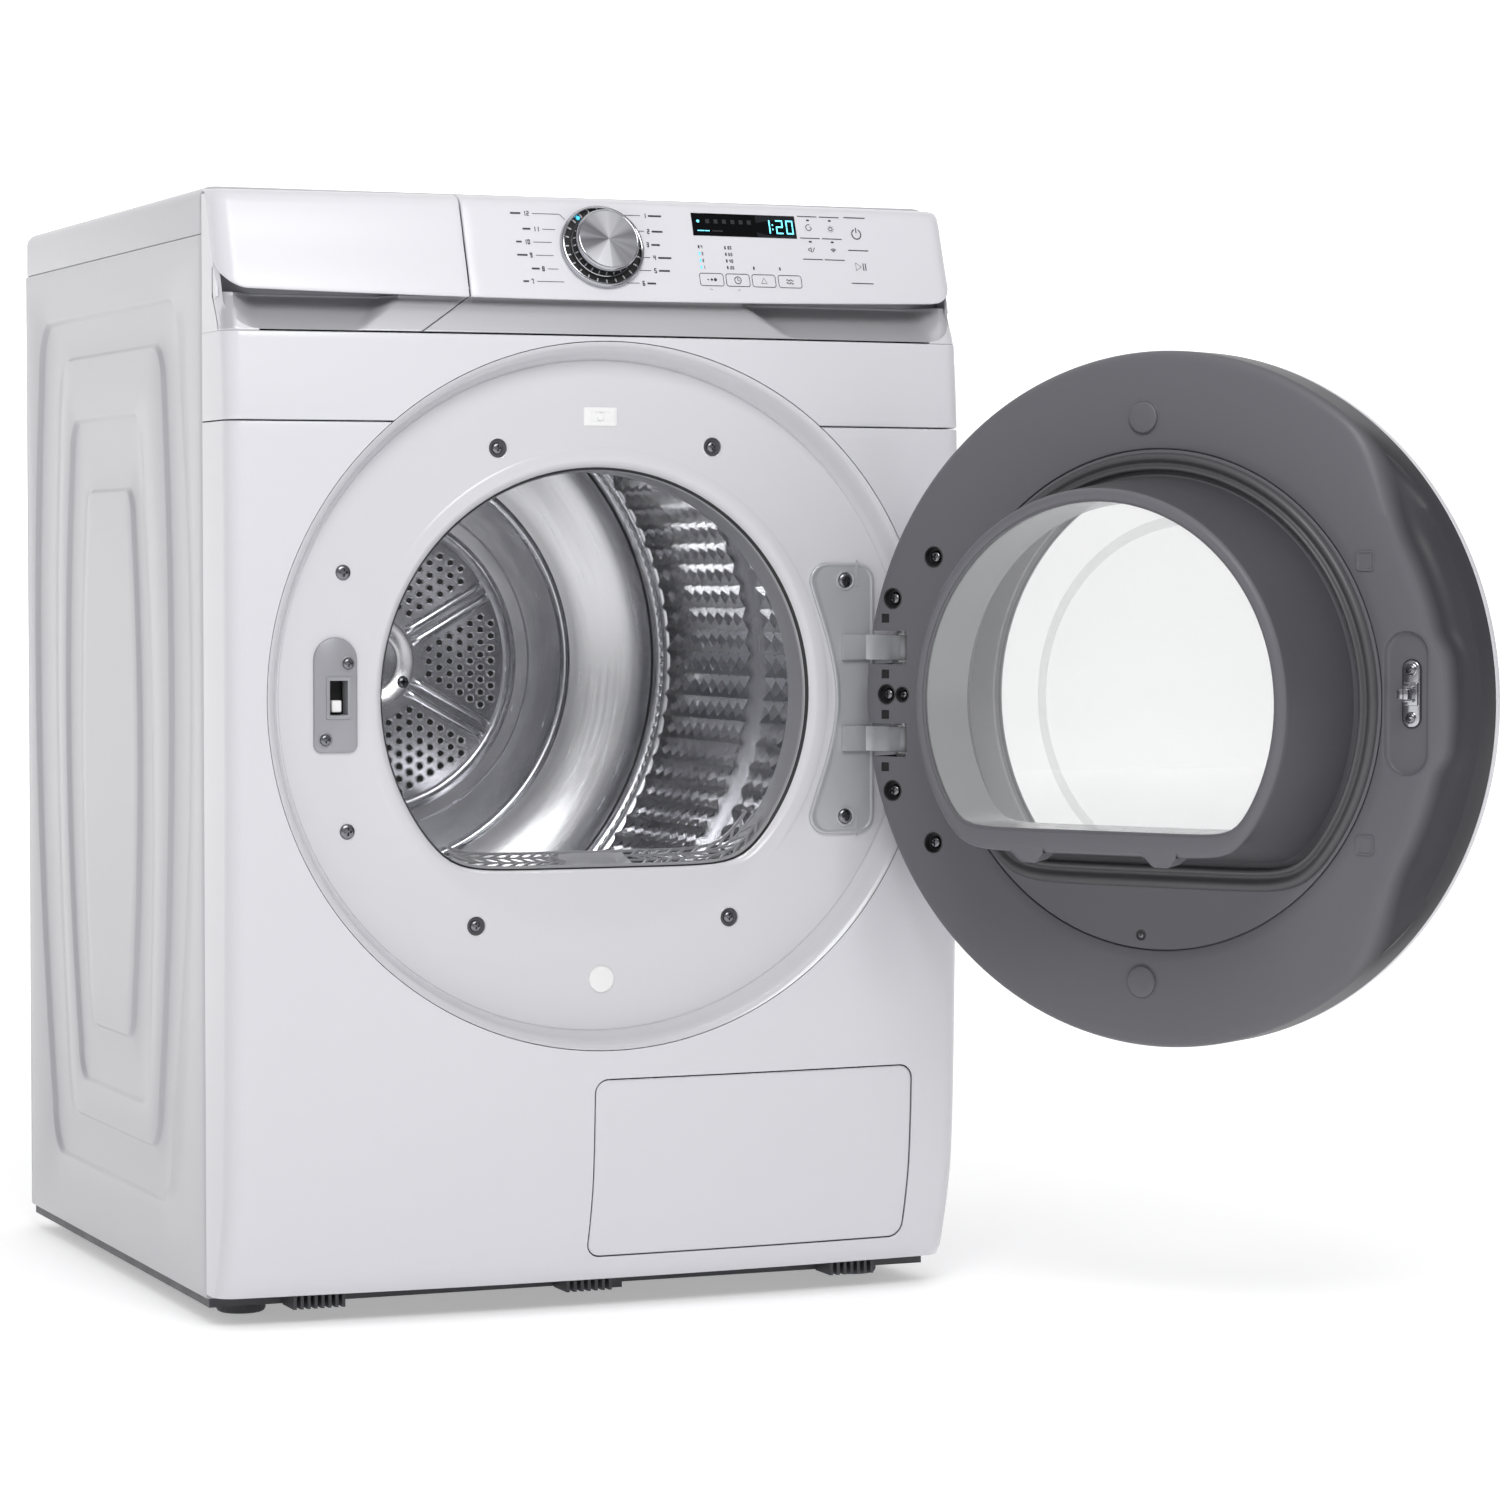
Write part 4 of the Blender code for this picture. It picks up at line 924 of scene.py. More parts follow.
def make_top():
    """Top plate: a deep lid with a soft radius along its upper edges."""
    radius = 0.011
    loops = []
    for drop, inset in [(0, 0.0006), (0.0008, 0)] + [
            (HEIGHT - SIDE_TOP - radius + radius * math.sin(math.pi / 2 * i / 8),
             radius * (1 - math.cos(math.pi / 2 * i / 8)))
            for i in range(9)]:
        outline = rounded_rectangle(-HALF_WIDTH + inset, HALF_WIDTH - inset, SIDE_FRONT + inset * 0.4,
                                    HALF_DEPTH - inset,
                                    max(0.0045, 0.008 - inset * 0.3), 6)
        loops.append([Vector((x, y,
                              SIDE_TOP + 0.0004 + drop * (HEIGHT - SIDE_TOP - 0.0004) / (HEIGHT
                                      - SIDE_TOP))) for x, y in outline])
    for inset in (0.03, 0.034):
        outline = rounded_rectangle(-HALF_WIDTH + inset, HALF_WIDTH - inset, SIDE_FRONT + inset,
                                    HALF_DEPTH - inset, 0.012, 6)
        loops.append([Vector((x, y, HEIGHT - (0 if inset == 0.03 else 0.0008))) for x, y in outline])
    piece = add_loops("top_skin", loops, "side_paint", sharp=45)
    settle(piece, "cabinet", ("top_plate",))


LOUVRE_COLUMNS = (-0.17, 0.0, 0.17)
LOUVRE_ROWS = 9
LOUVRE_FOOT = 0.075
LOUVRE_STEP = 0.024


def make_rear():
    """Rear panel: pressed field, louvres, a service cover and its screws."""
    y = HALF_DEPTH - 0.0001
    left, right, low, high = -HALF_WIDTH + 0.0005, HALF_WIDTH - 0.0005, SIDE_BOTTOM, SIDE_TOP
    outlines = [rounded_rectangle(-0.300, 0.300, 0.330, 0.905, 0.05, 8), rounded_rectangle(-0.240, 0.240,
            0.390, 0.800, 0.09, 8)]
    loops = [rounded_rectangle(left, right, low, high, 0.002, 8), rounded_rectangle(left + 0.001,
            right - 0.001, low + 0.001, high - 0.001, 0.002, 8)]
    loops = [[(u, v, 0.0006 - 0.0006 * i) for u, v in loop] for i, loop in enumerate(loops)]
    loops += pressed_loops(outlines, (0.0016, 0.0004), 0.009)
    placed = [[Vector((u, y - depth, v)) for u, v, depth in loop] for loop in loops]
    points, faces = bridge(placed, caps=False)
    faces.append(tuple(range((len(placed) - 1) * len(placed[0]), len(placed) * len(placed[0]))))
    add_mesh("rear_skin", points, faces, "side_paint", "cabinet", replaces=("rear_panel",), sharp=50)
    louvres, slots = [], []
    slot = ((-0.056, -0.003), (0.056, -0.003), (0.056, -0.0004), (-0.056, -0.0004))
    for column in LOUVRE_COLUMNS:
        for row in range(LOUVRE_ROWS):
            z = LOUVRE_FOOT + row * LOUVRE_STEP
            arch = []
            for i in range(9):
                u = -0.062 + 0.124 * i / 8
                swell = (1 - (u / 0.062) ** 4) ** 0.5 if abs(u) < 0.062 else 0.0
                arch.append([Vector((column + u, y - 0.0008 + 0.0016 * swell * smooth(k / 4),
                                     z + 0.0105 * (1 - k / 4)))
                             for k in range(5)])
            louvres.append(grid(arch))
            slots.append(bridge([[Vector((column + u, y + dy, z + dz)) for u, dz in slot]
                                 for dy in (-0.0003, 0.00015)]))
    add_mesh("rear_louvres", *join_parts(louvres), "side_paint", "cabinet", sharp=60)
    # Painted shade: black slots behind the louvres.
    add_mesh("rear_slots", *join_parts(slots), "hole_black", "cabinet")
    cover = [[Vector((u, y + dy, v)) for u, v in rounded_rectangle(0.17 + i, 0.325 - i, 0.80 + i, 0.925 - i,
            0.008, 5)]
             for dy, i in ((-0.0006, 0), (0.0003, 0.0004), (0.0007, 0.0015))]
    add_loops("service_cover", cover, "side_paint", "cabinet", sharp=45)
    places = [(x, z) for x in (-0.331, 0.331) for z in (0.05, 0.27, 0.5, 0.73, 0.92)]
    places += [(-0.11, 0.93), (0.11, 0.93), (0.182, 0.812), (0.313, 0.812), (0.182, 0.913), (0.313, 0.913)]
    for index, (x, z) in enumerate(places):
        add_screw(f"rear_screw_{index}", (x, y + (0.0009 if 0.17 < x < 0.32 and z > 0.8 else 0.0002), z),
                  (0, 1, 0), 0.0045, "cabinet", 0.0016)


def add_screw(name, place, axis, radius, body, dome=0.002, material="screw_steel"):
    """Cross-recessed screw: a domed head with a four-armed recess."""
    count = 32
    first, second, along = basis(axis)
    place = Vector(place)
    loops = []
    profile = [(1.0, 0.0), (0.97, 0.25), (0.86, 0.55), (0.70, 0.8), (0.58, 0.92)]
    for share, height in profile:
        loops.append([place + along * dome * height + (first * math.cos(math.tau * i / count)
                + second * math.sin(math.tau * i / count)) * radius * share
                      for i in range(count)])

    def cross(reach, height):
        loop = []
        for i in range(count):
            angle = math.tau * i / count
            near = min(abs(math.remainder(angle, math.pi / 2)), math.pi / 4)
            width = 0.17
            share = max(width, min(reach,
                                   width / max(math.sin(near), 1e-6))) if near < 0.75 else width * 1.3
            loop.append(place + along * dome * height + (first * math.cos(angle) + second * math.sin(angle))
                        * radius * share)
        return loop

    loops += [cross(0.55, 0.95), cross(0.46, 0.1), cross(0.2, -0.3)]
    screw = add_loops(name, loops, material, body, "steel", sharp=30)
    # Painted shade in the cross recess.
    screw.data.materials.append(MATS["well_grey"])
    for face in list(screw.data.polygons)[5 * count:7 * count] + [screw.data.polygons[-1]]:
        face.material_index = 1
    return screw


def make_feet():
    """Levelling feet: ribbed pads under a hexagon on the threaded stem."""
    for node in ("foot_front_left", "foot_front_right", "foot_rear_left", "foot_rear_right"):
        low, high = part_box(node)
        centre = Vector(((low.x + high.x) / 2, (low.y + high.y) / 2, 0))
        loops = []
        for radius, height, lobes in ((0.0190, 0.0, 0), (0.0205, 0.0008, 0), (0.0218, 0.0030, 1),
                                      (0.0218, 0.0072, 1),
                                      (0.0200, 0.0085, 0), (0.0130, 0.0088, 0)):
            loop = []
            for i in range(72):
                angle = math.tau * i / 72
                reach = radius - (0.0007 * (i % 3 == 0) if lobes else 0)
                loop.append(centre + Vector((math.cos(angle) * reach, math.sin(angle) * reach, height)))
            loops.append(loop)
        for radius, height in ((0.0105, 0.0090), (0.0105, 0.0132)):
            loop = []
            for i in range(72):
                angle = math.tau * i / 72
                reach = radius / math.cos(math.remainder(angle, math.pi / 3))
                loop.append(centre + Vector((math.cos(angle) * reach, math.sin(angle) * reach, height)))
            loops.append(loop)
        height = 0.0134
        while height < 0.033:
            for radius, step in ((0.0050, 0.0), (0.0059, 0.0005)):
                turns = [math.tau * i / 72 for i in range(72)]
                loops.append([centre + Vector((math.cos(turn) * radius, math.sin(turn) * radius,
                        height + step)) for turn in turns])
            height += 0.00125
        add_loops(f"{node}_pad", loops, "dark_plastic", node, replaces=(node,), sharp=30)


def make_base_ribs():
    """Grilles of short ribs under the front edge."""
    parts = []
    for start, end in ((-0.020, 0.020), (0.235, 0.275), (-0.272, -0.228)):
        steps = int((end - start) / 0.006)
        for i in range(steps + 1):
            x = start + (end - start) * i / steps
            parts.append(bridge([[Vector((x + dx, y, z)) for dx, y in ((-0.0014, -0.318), (0.0014, -0.318),
                    (0.0014, -0.352), (-0.0014, -0.352))]
                                 for z in (0.0125, 0.0255)]))
    add_mesh("base_ribs", *join_parts(parts), "dark_plastic", "cabinet")


def make_cabinet():
    """Everything of the cabinet except its controls and its round opening."""
    make_front_panels()
    make_flap()
    for side, word in ((-1, "left"), (1, "right")):
        make_side(side, word)
    make_top()
    make_rear()
    make_feet()
    make_base_ribs()


# ---------------------------------------------------------------- opening, hinge and latch

def d_shape(radius, floor, count=144, sharpness=22):
    """A circle whose bottom is cut flat, with corners that its sharpness rounds, as (u, v)."""
    points = []
    for i in range(count):
        angle = math.tau * (i + 0.5) / count - math.pi / 2
        reach = radius
        if math.sin(angle) < -0.05:
            chord = floor / -math.sin(angle)
            reach = (radius**-sharpness + chord**-sharpness) ** (-1 / sharpness)
        points.append((reach * math.cos(angle), reach * math.sin(angle)))
    return points


def round_shape(radius, count=144):
    return d_shape(radius, 10.0, count)


def at(outline, y, height=AXIS):
    """An outline of (u, v) placed at a depth."""
    return [Vector((u, y, height + v)) for u, v in outline]


# Screws of the moulding as (x, z, radius of the well); the two without a well sit on the surface
DISH_SCREWS = (
    (-0.0950, 0.7597, 0.0085), (0.1060, 0.7627, 0.0085), (-0.2360, 0.6517, 0.0),
    (-0.2330, 0.4287, 0.0), (-0.1160, 0.3437, 0.0085), (0.1220, 0.3447, 0.0085),
)
PLATE_SCREW = 0.2335

# Opening of the latch socket: left, right, low, high
SOCKET = (-0.249, -0.233, 0.529, 0.559)
LATCH_MIDDLE = -0.2435


def make_dish():
    """Round moulding with its rim, faint bezel ring, rolled mouth and tunnel."""
    rim = []
    for radius, share in ((DISH_RIM, 1.0), (DISH_RIM - 0.0006, 0.985), (DISH_RIM - 0.0030, 0.93),
                          (DISH_RIM - 0.0055, 0.80),
                          (DISH_RIM - 0.0080, 0.55), (DISH_RIM - 0.0100, 0.25), (DISH_RIM - 0.0120, 0.07),
                          (DISH_FLAT + 0.0014, 0.0)):
        loop = []
        for u, v in round_shape(radius):
            face = front_y(u, AXIS + v) + 0.0006
            loop.append(Vector((u, DISH_Y + (face - DISH_Y) * share, AXIS + v)))
        rim.append(loop)
    loops = [at(round_shape(DISH_RIM), DISH_Y + 0.004)] + rim
    for radius, depth in ((DISH_FLAT + 0.0010, 0.0007), (DISH_FLAT, 0.0007), (DISH_FLAT - 0.0006, 0.0),
                          (0.270, 0.0), (0.245, 0.0)):
        loops.append(at(round_shape(radius), DISH_Y + depth))
    bezel = []
    for share in (1.0, 0.97, 0.9, 0.8):
        loop = []
        for u, v in round_shape(0.2185 - 0.0025 * (1 - share) * 5):
            loop.append(Vector((u, DISH_Y - 0.0008 * (1 - share) * 5 * ramp(v, -0.17, -0.10), AXIS + v)))
        bezel.append(loop)
    loops += bezel
    raise_of = lambda v: 0.0008 * ramp(v, -0.17, -0.10)
    for margin, depth in ((0.0085, 0.0), (0.0070, 0.0003), (0.0050, 0.0012), (0.0030, 0.0032),
                          (0.0016, 0.0058),
                          (0.0008, 0.0085), (0.0, 0.012)):
        outline = d_shape(MOUTH_RADIUS + margin, MOUTH_FLOOR + margin * 0.6)
        loops.append([Vector((u, DISH_Y - raise_of(v) * max(0.0, 1 - depth / 0.001) + depth, AXIS + v))
                      for u, v in outline])
    loops.append(at(d_shape(MOUTH_RADIUS, MOUTH_FLOOR), TUNNEL_END))
    loops.append(at(d_shape(MOUTH_RADIUS + 0.003, MOUTH_FLOOR + 0.003), TUNNEL_END))
    loops.append(at(d_shape(MOUTH_RADIUS + 0.004, MOUTH_FLOOR + 0.004), DISH_Y + 0.008))
    loops.append(at(round_shape(DISH_RIM - 0.004), DISH_Y + 0.0042))
    dish = add_loops("dish", loops, "dish_plastic", ring=True, sharp=40)
    sleeve = []
    for margin, y in ((0.0006, -0.3722), (-0.0008, -0.3712), (-0.0016, -0.3690),
                      (-0.0018, TUNNEL_END + 0.001), (0.0006, TUNNEL_END + 0.001)):
        sleeve.append(at(d_shape(MOUTH_RADIUS + margin, MOUTH_FLOOR + margin), y))
    points, faces = bridge(sleeve, caps=False)
    floor = AXIS - MOUTH_FLOOR + 0.0140
    faces = [face for face in faces if max(points[i].z for i in face) > floor or min(points[i].y
            for i in face) < -0.3705]
    sleeve = add_mesh("mouth_sleeve", points, faces, "tunnel_grey", sharp=40)
    # Painted shade: a dark band in the groove round the mouth.
    groove = [at(d_shape(MOUTH_RADIUS + margin, MOUTH_FLOOR + margin * 0.6), DISH_Y + depth)
              for margin, depth in
              ((0.0020, 0.0050), (0.0008, 0.0062), (-0.0002, 0.0082), (0.0004, 0.0086), (0.0018, 0.0068),
               (0.0026, 0.0052))]
    add_loops("mouth_line", groove, "well_grey", "cabinet", slot="dish_plastic", ring=True)
    cut(sleeve, add_box("sleeve_cut", (-0.134, -0.3765, 0.37), (0.134, -0.3450, 0.40), "hole_black"))
    settle(sleeve, "cabinet")
    cutters = [add_box("slot_cut", (-0.134, -0.3765, 0.37), (0.134, -0.3450, 0.40), "hole_black")]
    for x, z, radius in DISH_SCREWS:
        if radius:
            profile = ((radius, DISH_Y - 0.01), (radius, DISH_Y + 0.0030))
            cutters.append(add_turned("screw_well", profile, (x, 0, z), (0, 1, 0), "hole_black", count=32))
    cutters.append(add_box("latch_socket_cut", (SOCKET[0], -0.3900, SOCKET[2]),
                           (SOCKET[1], -0.3732, SOCKET[3]), "hole_black"))
    cut(dish, *cutters)
    settle(dish, "cabinet", ("door_surround",))
    for index, (x, z, radius) in enumerate(DISH_SCREWS):
        place = (x, DISH_Y + (0.0018 if radius else -0.0001), z)
        add_screw(f"dish_screw_{index}", place, (0, -1, 0), 0.0052 if radius else 0.0068, "cabinet", 0.0022)
        if radius:
            # Painted shade on the floor of each screw well.
            well = ((radius - 0.0002, 0.0029), (radius - 0.0002, 0.0024), (0.001, 0.0024))
            well = [(r, DISH_Y + y) for r, y in well]
            add_turned(f"dish_well_{index}", well, (x, 0, z), (0, 1, 0), "bowl_painted_shade", "cabinet",
                       slot="dish_plastic", count=32)
            collar = ((radius + 0.0012, DISH_Y - 0.00005), (radius + 0.0006, DISH_Y - 0.0005),
                      (radius - 0.0001, DISH_Y - 0.0002),
                      (radius - 0.0001, DISH_Y + 0.0005))
            add_turned(f"dish_collar_{index}", collar, (x, 0, z), (0, 1, 0), "dish_plastic", "cabinet",
                       ring=True, count=32)
    pad = []
    for depth, inset in ((0.0, 0.0), (0.0008, 0.0002), (0.0012, 0.0010)):
        pad.append([Vector((u, DISH_Y - depth, v)) for u, v in
                    rounded_rectangle(-0.0155 + inset, 0.0155 - inset, 0.7800 + inset, 0.7965 - inset,
                                      0.0012, 4)])
    pad.append([Vector((u, DISH_Y - 0.0012, v)) for u, v in rounded_rectangle(-0.0095, 0.0095, 0.7840,
            0.7925, 0.0004, 4)])
    pad.append([Vector((u, DISH_Y - 0.0004, v)) for u, v in rounded_rectangle(-0.0090, 0.0090, 0.7843,
            0.7922, 0.0004, 4)])
    add_loops("dish_pad", pad, "white_plastic", "cabinet")
    add_turned("dish_pad_stud", ((0.0036, 0.0), (0.0036, 0.0012), (0.0028, 0.0018)),
               (0, DISH_Y - 0.0004, 0.7883), (0, -1, 0),
               "white_plastic", "cabinet", count=24)
    bump = ((0.0120, 0.0), (0.0118, 0.0010), (0.0112, 0.0016), (0.0060, 0.0022), (0.0020, 0.0023))
    add_turned("dish_bumper", bump, (0.0, DISH_Y - 0.00005, 0.2935), (0, -1, 0), "white_plastic", "cabinet",
               count=40)
    lens = ((0.0100, 0.0), (0.0100, 0.0030), (0.0085, 0.0050), (0.0040, 0.0062))
    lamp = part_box("drum_lamp")
    place = ((lamp[0].x + lamp[1].x) / 2, lamp[0].y, (lamp[0].z + lamp[1].z) / 2)
    add_turned("lamp_dome", lens, place, (0, 1, 0), "lamp_lens", "cabinet", replaces=("drum_lamp",),
               count=32)


def make_hinge_side():
    """Cast hinge plate with a raised border, its arms, and the latch plate."""
    face = DISH_Y - 0.0003
    left, right, radius = 0.1990, 0.2620, 0.0165
    high, low = 0.6600, 0.4170
    outline = [(x, z) for x, z in rounded_rectangle(left, right, low, high, radius, 8)]
    waist = []
    for i in range(1, 40):
        z = high - radius - (high - low - 2 * radius) * i / 40
        away = abs(z - (high + low) / 2) / ((high - low) / 2 - radius)
        waist.append((left + 0.0260 * (1 - smooth(away)) ** 0.6, z))
    upright = [(right, low + radius + (high - low - 2 * radius) * i / 16) for i in range(1, 16)]
    outline = outline[:18] + waist + outline[18:] + upright
    loops = []
    for inset, depth in ((0.0, 0.0), (0.0, 0.0018), (0.0004, 0.0024), (0.0012, 0.0027), (0.0026, 0.0027),
                         (0.0032, 0.0024),
                         (0.0036, 0.0021)):
        loops.append([Vector((u, face - depth, v)) for u, v in inset_outline(outline, inset)])
    inner = inset_outline(outline, 0.0036)
    for factor in (0.9, 0.7, 0.4):
        loops.append([Vector((0.2450 + (u - 0.2450) * factor, face - 0.0021, v)) for u, v in inner])
    add_loops("hinge_plate_cast", loops, "hinge_metal", "cabinet", replaces=("hinge_plate",), sharp=45)
    for index, z in enumerate((0.6445, 0.4325)):
        ring = ((0.0088, 0.0), (0.0088, 0.0010), (0.0078, 0.0012), (0.0070, 0.0004))
        add_turned(f"hinge_boss_{index}", ring, (PLATE_SCREW, face - 0.0021, z), (0, -1, 0), "hinge_metal",
                   "cabinet", ring=True, count=40)
        add_screw(f"hinge_screw_{index}", (PLATE_SCREW, face - 0.0023, z), (0, -1, 0), 0.0066, "cabinet",
                  0.0018)
        foot, head = ((-0.004, 0.018), (-0.018, 0.004))[index]
        rib = ((0, foot), (0.0015, foot), (0.0015, head), (0, head))
        groove = [[Vector((PLATE_SCREW + 0.0105 + dx, face - 0.0023 + dy, z + dz)) for dx, dz in rib]
                  for dy in (0.0, -0.0008)]
        add_loops(f"hinge_rib_{index}", groove, "hinge_metal", "cabinet")
    make_arms(face)
    make_latch(face)


def make_arms(face):
    """Gooseneck arms from the plate to the barrel round the hinge pin."""
    barrel = 0.0062
    for index, node in enumerate(("hinge_arm_upper", "hinge_arm_lower")):
        low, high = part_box(node)
        outline = [(0.2300, face - 0.0030), (0.2540, face - 0.0030), (0.2575, face - 0.0032),
                   (0.2600, face - 0.0040)]
        reach = (HINGE.x + barrel - 0.0004, HINGE.y + 0.006)
        for i in range(1, 8):
            t = i / 8
            outline.append((0.2600 + (reach[0] - 0.2600) * smooth(t) ** 0.8,
                            face - 0.0040 + (reach[1] - face + 0.0040) * t))
        for i in range(21):
            angle = math.radians(10 - 190 * i / 20)
            outline.append((HINGE.x + barrel * math.cos(angle), HINGE.y + barrel * math.sin(angle)))
        for i in range(1, 8):
            t = i / 8
            start = (HINGE.x - barrel, HINGE.y + 0.002)
            outline.append((start[0] + (0.2555 - start[0]) * smooth(t),
                            start[1] + (face - 0.0062 - start[1]) * t))
        outline += [(0.2520, face - 0.0064), (0.2460, face - 0.0066), (0.2300, face - 0.0066)]
        rounding = 0.0009
        loops = []
        for z, inset in ((low.z, rounding), (low.z + rounding * 0.3, rounding * 0.3),
                         (low.z + rounding, 0.0),
                         (high.z - rounding, 0.0), (high.z - rounding * 0.3, rounding * 0.3),
                         (high.z, rounding)):
            loops.append([Vector((x, y, z)) for x, y in inset_outline(outline, inset)])
        arm = add_loops(f"{node}_cast", loops, "hinge_metal", sharp=40)
        settle(arm, "cabinet", (node,))
        washer = ((0.0033, -0.0004), (0.0056, -0.0004), (0.0056, 0.0004), (0.0033, 0.0004))
        for k, z in enumerate((low.z - 0.0008, high.z + 0.0008)):
            add_turned(f"arm_washer_{index}_{k}", washer, (HINGE.x, HINGE.y, z), (0, 0, 1), "white_plastic",
                       "cabinet", ring=True, count=32)


def make_latch(face):
    """Latch plate with a framed socket; the lever behind it is white."""
    outline = []
    for i in range(25):
        turn = math.pi * i / 24
        outline.append((LATCH_MIDDLE + 0.0195 * math.cos(turn), 0.5765 + 0.0195 * math.sin(turn)))
    outline += [(LATCH_MIDDLE - 0.0195, 0.54), (LATCH_MIDDLE - 0.0195, 0.506)]
    for i in range(9):
        turn = math.pi + math.pi / 2 * i / 8
        outline.append((LATCH_MIDDLE - 0.0125 + 0.007 * math.cos(turn), 0.504 + 0.007 * math.sin(turn)))
    for i in range(9):
        turn = 1.5 * math.pi + math.pi / 2 * i / 8
        outline.append((LATCH_MIDDLE + 0.0125 + 0.007 * math.cos(turn), 0.504 + 0.007 * math.sin(turn)))
    outline += [(LATCH_MIDDLE + 0.0195, 0.54)]
    loops = [[Vector((u, face - depth, v)) for u, v in inset_outline(outline, inset)]
             for inset, depth in ((0.0, 0.0), (0.0, 0.0013), (0.0003, 0.0019), (0.0010, 0.0023))]
    plate = add_loops("latch_plate_moulded", loops, "latch_plastic", sharp=40)
    cut(plate, add_box("socket_cut", (SOCKET[0], -0.40, SOCKET[2]), (SOCKET[1], -0.37, SOCKET[3]),
                       "hole_black"))
    settle(plate, "cabinet", ("latch_plate",))
    rows = []
    for margin, depth in ((0.0035, 0.0021), (0.0030, 0.0034), (0.0010, 0.0036), (0.0, 0.0030),
                          (-0.0006, -0.010)):
        rows.append([Vector((u, face - depth, v)) for u, v in
                     rounded_rectangle(SOCKET[0] - margin, SOCKET[1] + margin, SOCKET[2] - margin,
                                       SOCKET[3] + margin, 0.0006, 2)])
    add_mesh("latch_frame", *bridge(rows, caps=False), "latch_plastic", "cabinet")
    # Painted shade: a black sheet at the back of the socket.
    add_box("latch_back", (-0.2485, face + 0.0150, 0.5295), (-0.2335, face + 0.0160, 0.5585), "hole_black",
            "cabinet")
    add_box("latch_lever_moulded", (-0.2463, face + 0.0004, 0.5317), (-0.2375, face + 0.0085, 0.5420),
            "white_plastic", "lever",
            replaces=("latch_lever",), bevel=0.0012)
    for index, (x, z) in enumerate(((-0.2325, 0.5735), (-0.2530, 0.5080))):
        cup = ((0.0066, 0.0), (0.0066, 0.0006), (0.0060, 0.0008), (0.0054, 0.0002))
        add_turned(f"latch_cup_{index}", cup, (x, face - 0.0023, z), (0, -1, 0), "latch_plastic", "cabinet",
                   ring=True, count=32)
        add_screw(f"latch_screw_{index}", (x, face - 0.0024, z), (0, -1, 0), 0.0050, "cabinet", 0.0020)


# ---------------------------------------------------------------- drum

CELLS_ROUND = 84


def drum_point(radius, angle, y):
    """A point of the drum from its radius, angle and y."""
    return Vector((radius * math.cos(angle), y, DRUM_AXIS + radius * math.sin(angle)))


def embossed_band(start, end, columns, height, inside):
    """A ring of four-sided points pressed inward from the sheet."""
    parts = []
    pitch = (end - start) / columns
    for column in range(columns):
        y0 = start + column * pitch
        for i in range(CELLS_ROUND):
            a0, a1 = math.tau * i / CELLS_ROUND, math.tau * (i + 1) / CELLS_ROUND
            middle, y1, y_mid = (a0 + a1) / 2, y0 + pitch, y0 + pitch / 2
            base = [(a0, y0), (a1, y0), (a1, y1), (a0, y1), (middle, y0), (a1, y_mid), (middle, y1),
                    (a0, y_mid)]
            rows = [drum_point(inside, *spot) for spot in base]
            rows += [drum_point(inside - height, middle + (a1 - a0) * da, y_mid + pitch * dy)
                     for da, dy in TIP]
            faces = [(0, 4, 7), (4, 1, 5), (5, 2, 6), (6, 3, 7)]
            faces += [(4, 5, 9, 8), (5, 6, 10, 9), (6, 7, 11, 10), (7, 4, 8, 11), (8, 9, 10, 11)]
            parts.append((rows, faces))
    return join_parts(parts)


TIP = ((0.0, -0.08), (0.07, 0.0), (0.0, 0.08), (-0.07, 0.0))
# Painted light: the tone that each face of an embossed cell takes, by the side it faces.
PAINTED_FACET_TONES = ("facet_flat",) * 4 + ("facet_light", "facet_painted_shade", "facet_painted_shade", "facet_light", "facet_flat")


def bead(centre, height, width, inside):
    """Profile of one rolled bead, as (radius, y)."""
    return [(inside - height * math.cos(math.pi / 12 * i) ** 0.8, centre + width * i / 6)
            for i in range(-6, 7)]


